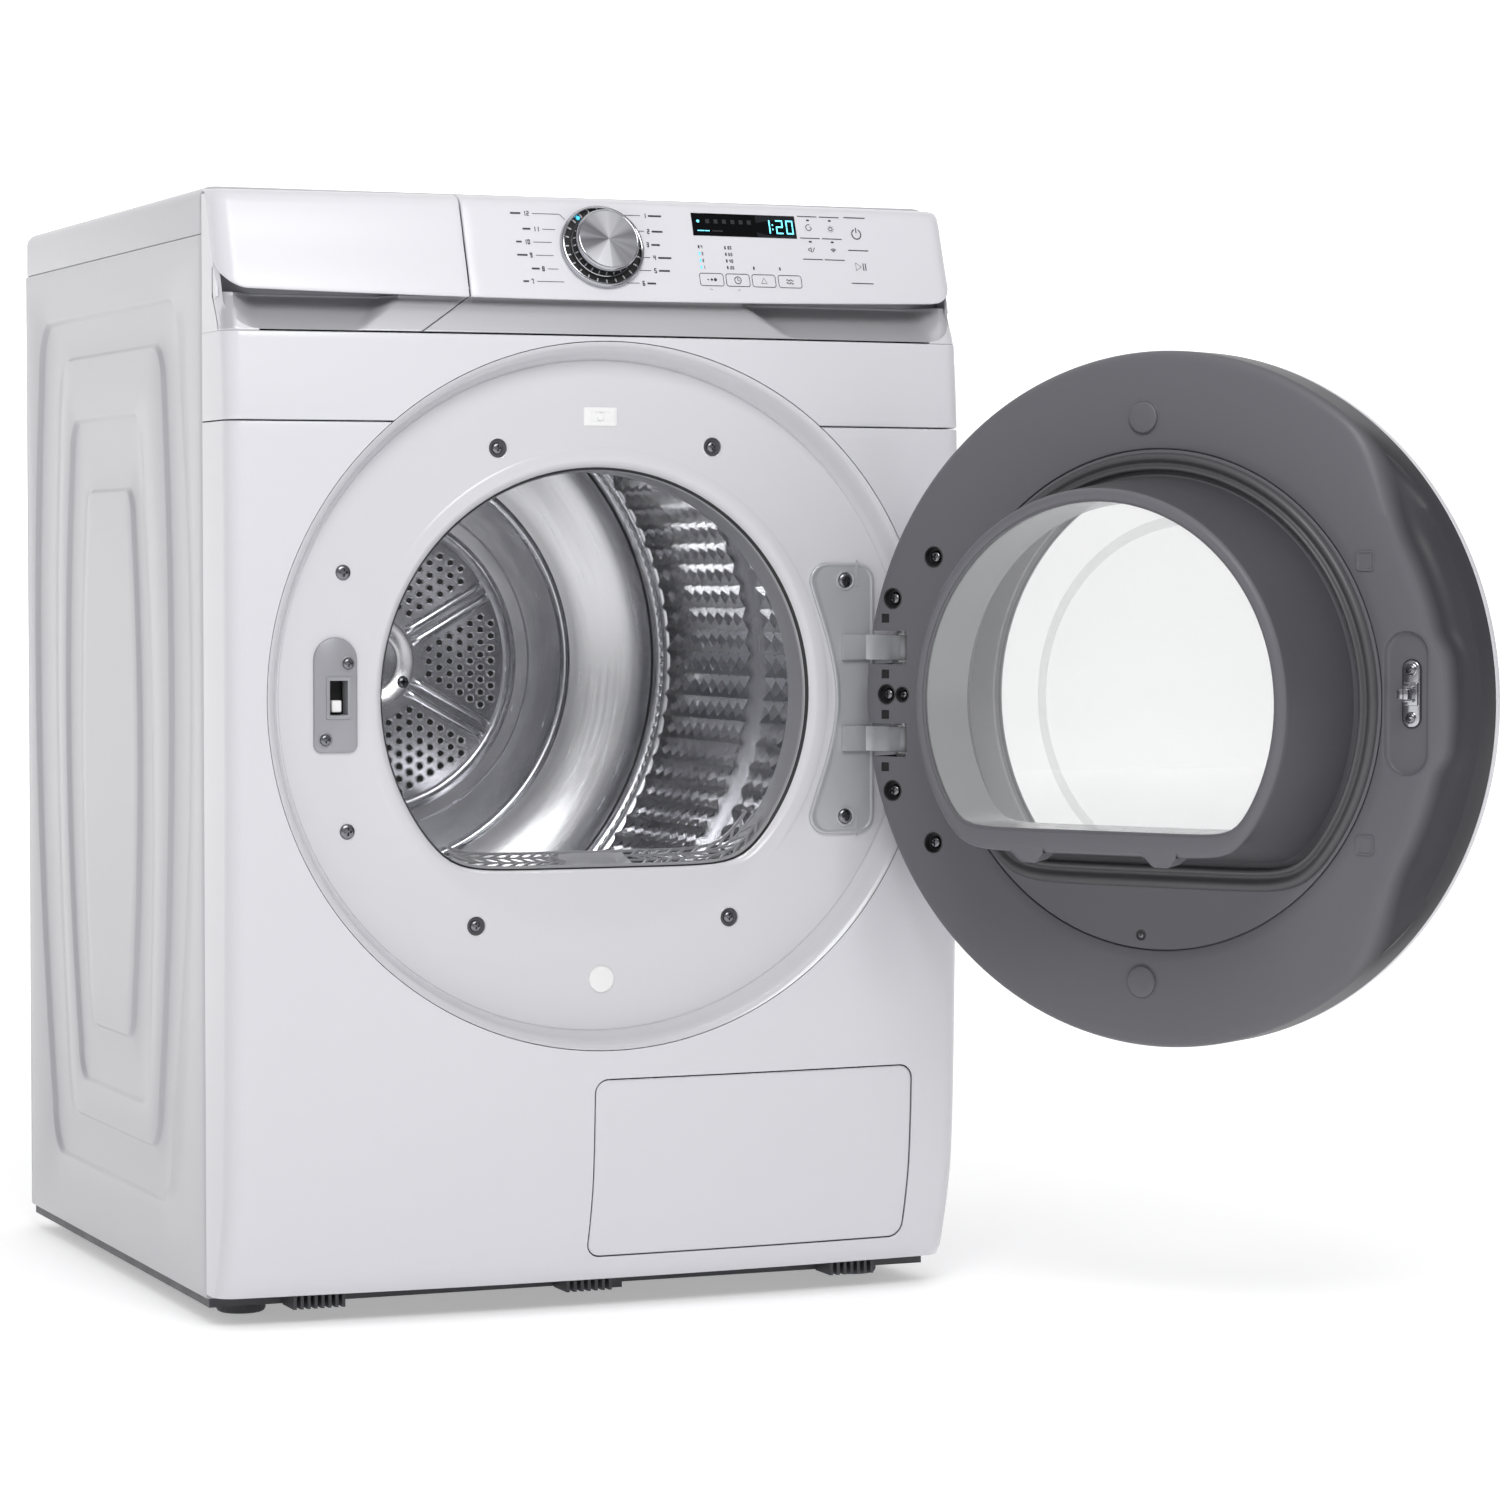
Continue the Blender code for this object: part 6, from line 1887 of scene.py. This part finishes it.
def make_dial():
    """Spun-metal dial in a ring with a ticked, dark gap."""
    ring = (
        (0.0300, 0.0006), (0.0310, 0.0008), (0.0345, 0.0012), (0.0352, 0.0034), (0.0356, 0.0046),
        (0.0364, 0.0050), (0.0374, 0.0048),
        (0.0382, 0.0040), (0.0385, 0.0026), (0.0385, -0.0006), (0.0300, -0.0006),
    )
    add_turned("dial_ring", ring, KNOB, KNOB_AXIS, "chrome", "cabinet", replaces=("knob_ring",), ring=True,
               count=96)
    well = ((0.0293, 0.0013), (0.0350, 0.0014), (0.0350, 0.0010), (0.0293, 0.0009))
    add_turned("dial_well", well, KNOB, KNOB_AXIS, "hole_black", "cabinet", ring=True, count=96)
    first, second, along = basis(KNOB_AXIS)
    ticks = []
    for i in range(24):
        turn = math.tau * i / 24
        outward = first * math.cos(turn) + second * math.sin(turn)
        across = along.cross(outward)
        base = Vector(KNOB)
        ticks.append(bridge([[base + outward * r + across * w + along * h
                              for r, w in ((0.0312, -0.0006), (0.0312, 0.0006), (0.0345, 0.0006),
                                           (0.0345, -0.0006))]
                             for h in (0.0014, 0.0020)]))
    add_mesh("dial_ticks", *join_parts(ticks), "grey_plastic", "cabinet")
    turn = math.radians(126)
    side = Vector((1, 0, 0))
    rise = along.cross(side)
    if rise.z < 0:
        rise = -rise
    spot = Vector(KNOB) + (side * math.cos(turn) + rise * math.sin(turn)) * 0.0329 + along * 0.0014
    add_turned("dial_light", ((0.0018, 0.0), (0.0018, 0.0008), (0.0010, 0.0011)), spot, along, "led_blue",
               "cabinet", slot="display_glass", count=24)
    top = 0.0190
    knob = (
        (0.0292, 0.0016), (0.0294, 0.0024), (0.0294, 0.0040), (0.0289, 0.0046), (0.0289, 0.0130),
        (0.0288, top - 0.0022),
        (0.0284, top - 0.0010), (0.0276, top - 0.0003), (0.0268, top), (0.0262, top - 0.0002),
    )
    add_turned("dial_body", knob, KNOB, KNOB_AXIS, "chrome", "knob", replaces=("program_knob",), count=96)
    face = ((0.0266, top - 0.0006), (0.0264, top + 0.0001), (0.0200, top + 0.0004), (0.0100, top + 0.0006),
            (0.0004, top + 0.0007))
    add_turned("dial_face", face, KNOB, KNOB_AXIS, "spun_metal", "knob", count=96)


# ---------------------------------------------------------------- door

OPENED = Matrix.Translation(HINGE) @ Matrix.Rotation(OPEN, 4, "Z") @ Matrix.Translation(-HINGE)
FRAME_STEPS = 288
BOWL_END = -0.2855
DOOR_SCREWS = (
    (0.2242, 0.1223, 0.0085), (0.2670, 0.0855, 0.0085), (0.2735, 0.0005, 0.0082), (0.2570, 0.0005, 0.0062),
    (0.2670, -0.0850, 0.0085), (0.2242, -0.1299, 0.0085),
)
STRIKER = (-0.2400, 0.0090)
SQUARES = (0.0680, 0.0185, -0.0175, -0.0640)
LATCH_POCKET = (-0.2565, -0.2165, -0.0590, 0.0610)


def hung(piece, replaces=()):
    """Turns a piece that was built shut into the open door, and fixes it there."""
    piece.data.transform(OPENED)
    piece.data.update()
    settle(piece, "door", replaces)
    return piece


def hung_turned(name, profile, x, z, material, ring=False, caps=True):
    """A turned piece on the door's inner face, at (x, z) from its centre."""
    piece = add_turned(name, profile, (x, DOOR_Y, AXIS + z), (0, 1, 0), material, ring=ring, count=40,
                       caps=caps)
    return hung(piece)


def frame_loops():
    """Inner frame as loops of (radius, depth): plain all round, scooped for fingers on the free side."""
    plain = (
        (0.2145, 0.0030), (0.2145, 0.0012), (0.2149, 0.0004), (0.2158, 0.0), (0.2250, 0.0), (0.2400, 0.0),
        (0.2500, 0.0), (0.2700, 0.0),
        (0.2860, 0.0), (0.2895, 0.0002), (0.2922, 0.0008), (0.2944, 0.0018), (0.2961, 0.0034),
        (0.2973, 0.0055), (0.2979, 0.0080),
        (0.2980, 0.0120), (0.2980, 0.0220), (0.2980, 0.0300), (0.2980, 0.0412), (0.2974, 0.0420),
        (0.2950, 0.0420), (0.2950, 0.0082), (0.2900, 0.0034), (0.2700, 0.0030), (0.2400, 0.0030),
    )
    shares = {8: 0.02, 9: 0.07, 10: 0.14, 11: 0.22, 12: 0.31, 13: 0.42, 14: 0.55, 15: 0.69, 16: 0.84,
              17: 0.96}
    depths = {8: 0.0008, 9: 0.0032, 10: 0.0075, 11: 0.0125, 12: 0.0175, 13: 0.0208, 14: 0.0226, 15: 0.0232,
              16: 0.0238, 17: 0.0290}
    inner = {21: (0.2945, 0.0320), 22: (0.2740, 0.0262), 23: (0.2560, 0.0062)}
    loops = []
    for k, (radius, depth) in enumerate(plain):
        loop = []
        for i in range(FRAME_STEPS):
            angle = math.tau * (i + 0.5) / FRAME_STEPS
            away = abs(math.remainder(angle - math.pi, math.tau))
            scoop = 1 - ramp(away, math.radians(29), math.radians(53))
            edge = 0.2605 + 0.0095 * (1 - ramp(away, math.radians(8.0), math.radians(13.5)))
            if k in shares:
                target = (edge + (0.2972 - edge) * shares[k], depths[k])
            elif k in inner:
                target = inner[k]
            elif k == 7:
                target = (edge - 0.0035, 0.0)
            elif k == 6:
                target = (edge - 0.0090, 0.0)
            else:
                target = (radius, depth)
            r = radius + (target[0] - radius) * scoop
            d = depth + (target[1] - depth) * scoop
            loop.append(Vector((r * math.cos(angle), DOOR_Y - d, AXIS + r * math.sin(angle))))
        loops.append(loop)
    return loops


def stadium(left, right, low, high, steps=12):
    """An outline with two half-round ends."""
    return rounded_rectangle(left, right, low, high, min(right - left, high - low) / 2 - 0.0006, steps)


def raised(name, outline, profile, material, caps=True):
    """Loops of an outline on the door's face; profile is (inset, height above the face)."""
    loops = [[Vector((u, DOOR_Y + height, AXIS + v)) for u, v in inset_outline(outline, inset)]
             for inset, height in profile]
    return add_loops(name, loops, material, caps=caps, sharp=40)


def make_door_frame():
    """Inner ring with its hinge notches, screw wells, square holes and latch pocket."""
    frame = add_loops("door_ring", frame_loops(), "door_grey", ring=True, sharp=40)
    cutters = []
    for index, height in enumerate(ARM_HEIGHTS):
        middle = AXIS + height + 0.0004
        cutters.append(add_box(f"notch_{index}", (0.2520, DOOR_Y - 0.08, middle - 0.0148),
                               (0.33, DOOR_Y + 0.02, middle + 0.0148), "door_grey"))
    for index, (x, z, radius) in enumerate(DOOR_SCREWS):
        cutters.append(add_turned(f"well_{index}", ((radius, -0.02), (radius, 0.02)), (x, DOOR_Y, AXIS + z),
                                  (0, 1, 0), "door_grey", count=40))
    for index, z in enumerate(SQUARES):
        cutters.append(add_box(f"square_{index}", (0.2708, DOOR_Y - 0.0012, AXIS + z - 0.004),
                               (0.2788, DOOR_Y + 0.02, AXIS + z + 0.004), "hole_black"))
    pocket = [[Vector((u, DOOR_Y + y, AXIS + v)) for u, v in stadium(*LATCH_POCKET)] for y in (-0.02, 0.02)]
    cutters.append(add_loops("pocket_cut", pocket, "door_grey"))
    cut(frame, *cutters)
    hung(frame, ("door_inner_frame",))
    # Painted shade: black floors in the square holes.
    for index, z in enumerate(SQUARES):
        hung(add_box(f"square_floor_{index}", (0.2709, DOOR_Y - 0.0014, AXIS + z - 0.0039),
                     (0.2787, DOOR_Y - 0.0008, AXIS + z + 0.0039), "hole_black"))
    for index, (x, z, radius) in enumerate(DOOR_SCREWS):
        # Painted shade: a dark cup in each screw well.
        cup = ((radius + 0.0010, -0.00005), (radius + 0.0009, 0.0004), (radius + 0.0003, 0.0007),
               (radius - 0.0002, 0.0),
               (radius - 0.0002, -0.0062), (0.0002, -0.0062))
        hung_turned(f"door_well_{index}", cup, x, z, "well_grey", caps=False)
        hung(add_screw(f"door_screw_{index}", (x, DOOR_Y - 0.0048, AXIS + z), (0, 1, 0), radius * 0.66,
                       None, 0.0030))


def make_door_face():
    """Buffers, plugs, the latch pocket with its striker."""
    button = ((0.0150, -0.0004), (0.0150, 0.0003), (0.0145, 0.0006), (0.0138, 0.0003), (0.0135, 0.0004),
              (0.0135, 0.0018), (0.0130, 0.0024),
              (0.0120, 0.0027), (0.0060, 0.0029), (0.0005, 0.0029))
    hung_turned("buffer_top", button, 0.0125, 0.2410, "door_grey")
    hung_turned("buffer_bottom", button, 0.0125, -0.2418, "door_grey")
    # Painted shade in the flange hole.
    hole = ((0.0048, -0.0001), (0.0046, 0.0004), (0.0036, 0.0003), (0.0034, 0.00005), (0.0006, 0.00004))
    hung_turned("flange_hole", hole, 0.0135, -0.2020, "well_grey")
    hung(add_screw("flange_screw", (0.0135, DOOR_Y - 0.0002, AXIS - 0.2020), (0, 1, 0), 0.0024, None,
                   0.0008))
    for index, (x, z) in enumerate(((-0.1985, 0.1185), (-0.1995, -0.1175))):
        outline = rounded_rectangle(x - 0.0085, x + 0.0085, z - 0.0085, z + 0.0085, 0.0032, 5)
        hung(raised(f"plug_{index}", outline, ((-0.0008, -0.0003), (0.0, -0.0003), (0.0, 0.0006),
                (0.0004, 0.0011), (0.0014, 0.0011), (0.0022, 0.0002), (0.0030, 0.0002)), "door_grey"))
    outline = stadium(*LATCH_POCKET)
    rounding = ((-0.0016, -0.0004), (-0.0016, 0.00008), (-0.0008, 0.00003), (-0.0002, -0.0003),
                (0.0003, -0.0010), (0.0008, -0.0024),
                (0.0014, -0.0034), (0.0024, -0.0039), (0.0040, -0.0040))
    pocket = raised("latch_pocket", outline, rounding[1:], "door_grey", caps=False)
    hung(raised("latch_floor", inset_outline(outline, 0.0038), ((0.0, -0.0046), (0.0, -0.0040)),
                "door_grey"))
    hung(pocket)
    make_striker(-0.0040)


def make_striker(floor):
    """Chrome striker: a plate with two screws, its folded neck and the hook."""
    x, z = STRIKER
    plate = stadium(x - 0.0078, x + 0.0078, z - 0.0275, z + 0.0275, 10)
    # Painted shade: a dark bed round the striker plate.
    hung(raised("striker_bed", plate, ((-0.0012, floor - 0.001), (-0.0012, floor + 0.0003),
                                       (-0.0006, floor + 0.0005)), "well_grey"))
    hung(raised("striker_plate", plate, ((0.0, floor), (0.0, floor + 0.0016), (0.0004, floor + 0.0021),
                                         (0.0012, floor + 0.0023)), "chrome"), ("door_striker",))
    for index, offset in enumerate((-0.0200, 0.0200)):
        ring = ((0.0052, floor + 0.0020), (0.0052, floor + 0.0027), (0.0046, floor + 0.0030),
                (0.0042, floor + 0.0020))
        hung_turned(f"striker_collar_{index}", ring, x, z + offset, "chrome", ring=True)
        hung(add_screw(f"striker_screw_{index}", (x, DOOR_Y + floor + 0.0022, AXIS + z + offset), (0, 1, 0),
                       0.0043, None, 0.0018))
    hung(add_box("striker_boss", (x - 0.0070, DOOR_Y + floor + 0.001, AXIS + z - 0.0098),
                 (x + 0.0060, DOOR_Y + floor + 0.0052, AXIS + z + 0.0098), "chrome", bevel=0.0012))
    for index, offset in enumerate((-0.0057, 0.0057)):
        hung(add_box(f"striker_cheek_{index}", (x - 0.0050, DOOR_Y + floor + 0.004,
                AXIS + z + offset - 0.0011), (x + 0.0048, DOOR_Y + 0.0060, AXIS + z + offset + 0.0011),
                "chrome", bevel=0.0006))
    hung(add_box("striker_neck", (x - 0.0045, DOOR_Y + floor + 0.004, AXIS + z - 0.0045),
                 (x + 0.0005, DOOR_Y + 0.0140, AXIS + z + 0.0045), "chrome", bevel=0.0009))
    hung(add_box("striker_hook", (x - 0.0043, DOOR_Y + 0.0105, AXIS + z - 0.0043),
                 (x + 0.0055, DOOR_Y + 0.0139, AXIS + z + 0.0043), "chrome", bevel=0.0011))


def make_door_cover():
    """White outer shell of the door with its tinted pane."""
    face = -(DOOR_DEPTH + 0.0004)
    profile = [(0.2976, face), (0.2980, face - 0.0006), (0.2980, face - 0.0040)]
    for i in range(1, 9):
        turn = math.pi / 2 * i / 8 * 0.80
        profile.append((0.2980 - 0.0150 * (1 - math.cos(turn)), face - 0.0040 - 0.0145 * math.sin(turn)))
    profile += [(0.2800, face - 0.0205), (0.2650, face - 0.0232), (0.2500, face - 0.0250),
                (0.2300, face - 0.0270), (0.2110, face - 0.0286),
                (0.2070, face - 0.0290), (0.2050, face - 0.0288), (0.2036, face - 0.0280),
                (0.2030, face - 0.0268), (0.2030, face - 0.0230),
                (0.2500, face - 0.0215), (0.2900, face - 0.0120), (0.2945, face - 0.0060), (0.2945, face)]
    hung(add_turned("cover_shell", profile, (0, DOOR_Y, AXIS), (0, 1, 0), "fascia_white", ring=True,
                    count=192, sharp=40), ("door_outer_cover",))
    bezel = [(0.2034, face - 0.0275), (0.2034, face - 0.0292), (0.2030, face - 0.0300),
             (0.2020, face - 0.0303), (0.1990, face - 0.0302),
             (0.1978, face - 0.0298), (0.1978, face - 0.0280), (0.2000, face - 0.0270)]
    hung(add_turned("cover_bezel", bezel, (0, DOOR_Y, AXIS), (0, 1, 0), "grey_plastic", ring=True,
                    count=160))
    pane = [(0.1985, face - 0.0250), (0.1985, face - 0.0285), (0.1600, face - 0.0312),
            (0.1200, face - 0.0328), (0.0600, face - 0.0338), (0.0005, face - 0.0340),
            (0.0005, face - 0.0320), (0.0600, face - 0.0318), (0.1200, face - 0.0308),
            (0.1600, face - 0.0290)]
    hung(add_turned("cover_pane", pane, (0, DOOR_Y, AXIS), (0, 1, 0), "glass", count=128),
         ("door_outer_glass",))
    funnel = [at(d_shape(0.1675, 0.1065), BOWL_END - 0.0700), at(d_shape(0.1660, 0.1110, sharpness=16),
            BOWL_END - 0.0900),
              at(d_shape(0.1600, 0.1220, sharpness=10), BOWL_END - 0.1250),
              at(d_shape(0.1520, 0.140, sharpness=6), BOWL_END - 0.1580),
              at(round_shape(0.1500), DOOR_Y + face - 0.0262),
              at(round_shape(0.1975), DOOR_Y + face - 0.0232)]
    hung(add_mesh("door_funnel", *bridge(funnel, caps=False), "glass", sharp=60))


def make_bowl():
    """Window bowl: flange, rounded root, tapered wall, end frame with two feet, and its pane."""
    base, floor = 0.194, 0.1395
    loops = [at(round_shape(0.2135), DOOR_Y - 0.003), at(round_shape(0.2135), DOOR_Y - 0.0006),
             at(round_shape(0.2130), DOOR_Y - 0.0001),
             at(round_shape(0.2120), DOOR_Y)]
    for grow, rise in ((0.0005, 0.0), (-0.0010, 0.0006), (-0.0022, 0.0022), (-0.0030, 0.0050)):
        loops.append(at(d_shape(base + grow, floor + grow), DOOR_Y + rise))
    top, top_floor = 0.180, 0.1275
    start, end = DOOR_Y + 0.0050, BOWL_END - 0.0070
    for i in range(1, 9):
        t = i / 8
        r = base - 0.0030 + (top - base + 0.0030) * t
        f = floor - 0.0030 + (top_floor - 0.0030 - floor) * t
        loops.append(at(d_shape(r, f), start + (end - start) * t))
    for turn in range(1, 7):
        a = math.pi / 2 * turn / 6
        loops.append(at(d_shape(top - 0.0060 * (1 - math.cos(a)), top_floor - 0.006 * (1 - math.cos(a))),
                        end + 0.0070 * math.sin(a)))
    for shrink, fall in ((0.0085, 0.0002), (0.0100, 0.0010), (0.0105, 0.0024)):
        loops.append(at(d_shape(top - shrink, top_floor - shrink - 0.0080), BOWL_END - fall))
    window = (0.168, 0.107)
    loops += [at(d_shape(*window), BOWL_END - 0.0030), at(d_shape(*window), BOWL_END - 0.0062)]
    loops += [at(d_shape(window[0] + 0.006, window[1] + 0.006), BOWL_END - 0.0064)]
    loops += [at(d_shape(base - 0.0065, floor - 0.0065), DOOR_Y - 0.0020),
              at(round_shape(0.2130), DOOR_Y - 0.0052),
              at(round_shape(0.2172), DOOR_Y - 0.0052), at(round_shape(0.2172), DOOR_Y - 0.0034)]
    piece = add_loops("bowl_moulded", loops, "door_grey", ring=True, sharp=35)
    # Painted shade: the bowl's side walls take a darker copy of its grey.
    tint(piece, "bowl_painted_shade", lambda centre, normal: abs(normal.y) < 0.55
         and DOOR_Y + 0.004 < centre.y < BOWL_END - 0.0040)
    hung(piece, ("door_bowl",))
    for index, x in enumerate((0.0650, -0.0630)):
        foot = []
        for i in range(17):
            u = -0.016 + 0.032 * i / 16
            drop = 0.0085 * smooth((0.016 - abs(u)) / 0.010)
            foot.append([Vector((x + u, y, AXIS - top_floor + 0.004 - d)) for y, d in
                         ((BOWL_END - 0.0300, 0.004), (BOWL_END - 0.0220, 0.004 + drop * 0.8),
                          (BOWL_END - 0.0040, 0.004 + drop), (BOWL_END - 0.0012, 0.004 + drop * 0.85),
                          (BOWL_END - 0.0002, 0.0030 + drop * 0.4), (BOWL_END - 0.0002, -0.0040))])
        hung(add_mesh(f"bowl_foot_{index}", *grid(foot), "door_grey", sharp=60))
    pane = d_shape(window[0] - 0.0004, window[1] - 0.0004)
    hung(add_loops("bowl_pane", [at(pane, BOWL_END - 0.0060), at(pane, BOWL_END - 0.0036)], "glass"),
         ("bowl_glass",))
    tube = [at(d_shape(*window), BOWL_END - 0.0061), at(d_shape(window[0] - 0.0005, window[1] - 0.0005),
            BOWL_END - 0.0700)]
    hung(add_mesh("bowl_tube", *bridge(tube, caps=False), "smoked", sharp=60))
    gasket = []
    for grow, rise in ((0.0012, 0.0002), (0.0014, 0.0040), (0.0022, 0.0060), (0.0036, 0.0068),
                       (0.0050, 0.0060), (0.0060, 0.0036), (0.0072, 0.0026),
                       (0.0088, 0.0030), (0.0102, 0.0048), (0.0120, 0.0058), (0.0140, 0.0054),
                       (0.0158, 0.0038), (0.0168, 0.0014), (0.0170, 0.0002)):
        gasket.append(at(d_shape(base + grow, floor + grow * 1.25), DOOR_Y + rise))
    hung(add_loops("gasket_moulded", gasket, "gasket", ring=False, caps=False, sharp=60),
         ("door_seal",))


def make_pin():
    """Hinge pin with chamfered ends."""
    pin = ((0.0020, -0.0664), (0.0029, -0.0655), (0.0030, -0.0640), (0.0030, 0.0650), (0.0029, 0.0664),
           (0.0020, 0.0670))
    add_turned("pin_turned", pin, (HINGE.x, HINGE.y, AXIS), (0, 0, 1), "steel", "door",
               replaces=("hinge_pin",), count=24)


def make_door():
    """Every piece that swings with the door."""
    make_door_frame()
    make_door_face()
    make_door_cover()
    make_bowl()
    make_pin()


# ---------------------------------------------------------------- stage

FLOOR_HALF = 14.0
SCREEN_HALF = 16.0
SCREEN_TOP = 12.0
SCREEN_Y = 9.0

# Area lights: name, place, target, width, height, power
LIGHTS = (
    ("key", (-0.45, -2.2, 2.1), (-0.15, -0.4, 0.65), 1.3, 1.0, 31),
    ("top", (0.2, -0.2, 3.4), (0, 0, 0), 2.4, 2.4, 12),
    ("drum", (0.0, -0.300, DRUM_AXIS + 0.215), (0.10, 0.20, DRUM_AXIS - 0.10), 0.26, 0.05, 1.1),
)

CAMERA_PLACE = (-1.4077, -4.1398, 0.6581)
CAMERA_TURN = (math.pi / 2 - 0.0405, 0, -0.3912)
CAMERA_LENS = 109.5
CAMERA_SENSOR = 36


def make_stage():
    """White floor and backdrop, an even white world and three area lights."""
    floor = bpy.data.meshes.new("floor")
    size = FLOOR_HALF
    floor.from_pydata([(-size, -size, 0), (size, -size, 0), (size, size, 0), (-size, size, 0)], [],
                      [(0, 1, 2, 3)])
    made = Nodes("floor_white")
    made.colours(made.noise(2.0), (0.90, 0.90, 0.905, 1), (0.92, 0.92, 0.925, 1))
    reach = made.add("ShaderNodeVectorMath", operation="LENGTH")
    made.link(made.place, reach.inputs[0])
    made.link(made.to_range(reach.outputs["Value"], 0.36, 0.62, 0.8, 3.0),
              made.shader.inputs["Emission Strength"])
    floor.materials.append(made.set(Roughness=0.75, Emission_Color=(1, 1, 1, 1)))
    piece = bpy.data.objects.new("floor", floor)
    bpy.context.scene.collection.objects.link(piece)

    screen = bpy.data.meshes.new("backdrop")
    wide, tall, far = SCREEN_HALF, SCREEN_TOP, SCREEN_Y
    screen.from_pydata([(-wide, far, -1), (wide, far, -1), (wide, far, tall), (-wide, far, tall)], [],
                       [(0, 1, 2, 3)])
    made = Nodes("backdrop_white")
    made.colours(made.noise(1.0), (0.9, 0.9, 0.9, 1), (0.92, 0.92, 0.92, 1))
    screen.materials.append(made.set(Roughness=0.9, Emission_Color=(1, 1, 1, 1), Emission_Strength=0.60))
    piece = bpy.data.objects.new("backdrop", screen)
    bpy.context.scene.collection.objects.link(piece)

    world = bpy.data.worlds.new("studio")
    bpy.context.scene.world = world
    world.use_nodes = True
    back = world.node_tree.nodes["Background"]
    back.inputs["Color"].default_value = (1.0, 1.0, 1.0, 1)
    back.inputs["Strength"].default_value = 0.40

    def area(name, place, target, width, height, power):
        light = bpy.data.lights.new(name, "AREA")
        light.shape = "RECTANGLE"
        light.size = width
        light.size_y = height
        light.energy = power
        lamp = bpy.data.objects.new(name, light)
        lamp.location = place
        lamp.rotation_euler = (Vector(target) - Vector(place)).to_track_quat("-Z", "Y").to_euler()
        bpy.context.scene.collection.objects.link(lamp)

    for light in LIGHTS:
        area(*light)


def make_camera():
    """Camera solved from the photo."""
    camera = bpy.data.cameras.new("camera")
    camera.lens = CAMERA_LENS
    camera.sensor_width = CAMERA_SENSOR
    camera.clip_end = 60
    eye = bpy.data.objects.new("camera", camera)
    eye.location = CAMERA_PLACE
    eye.rotation_euler = CAMERA_TURN
    bpy.context.scene.collection.objects.link(eye)
    bpy.context.scene.camera = eye


def dress_frame():
    """Gives every CAD node that stays in sight its slot's material."""
    slots = {row["node"]: row["material_slot"] for row in frame["record"]["subparts"]}
    for name, node in NODES.items():
        node.data.materials.clear()
        node.data.materials.append(MATS[slots[name]])
        node.data.shade_smooth()
        node.data.set_sharp_from_angle(angle=math.radians(32))


bpy.context.scene.view_settings.view_transform = "Standard"
make_camera()
dress_frame()
make_cabinet()
make_fascia()
make_print()
make_lights()
make_display()
make_dial()
make_dish()
make_hinge_side()
make_door()
make_drum()
make_filter()
make_stage()
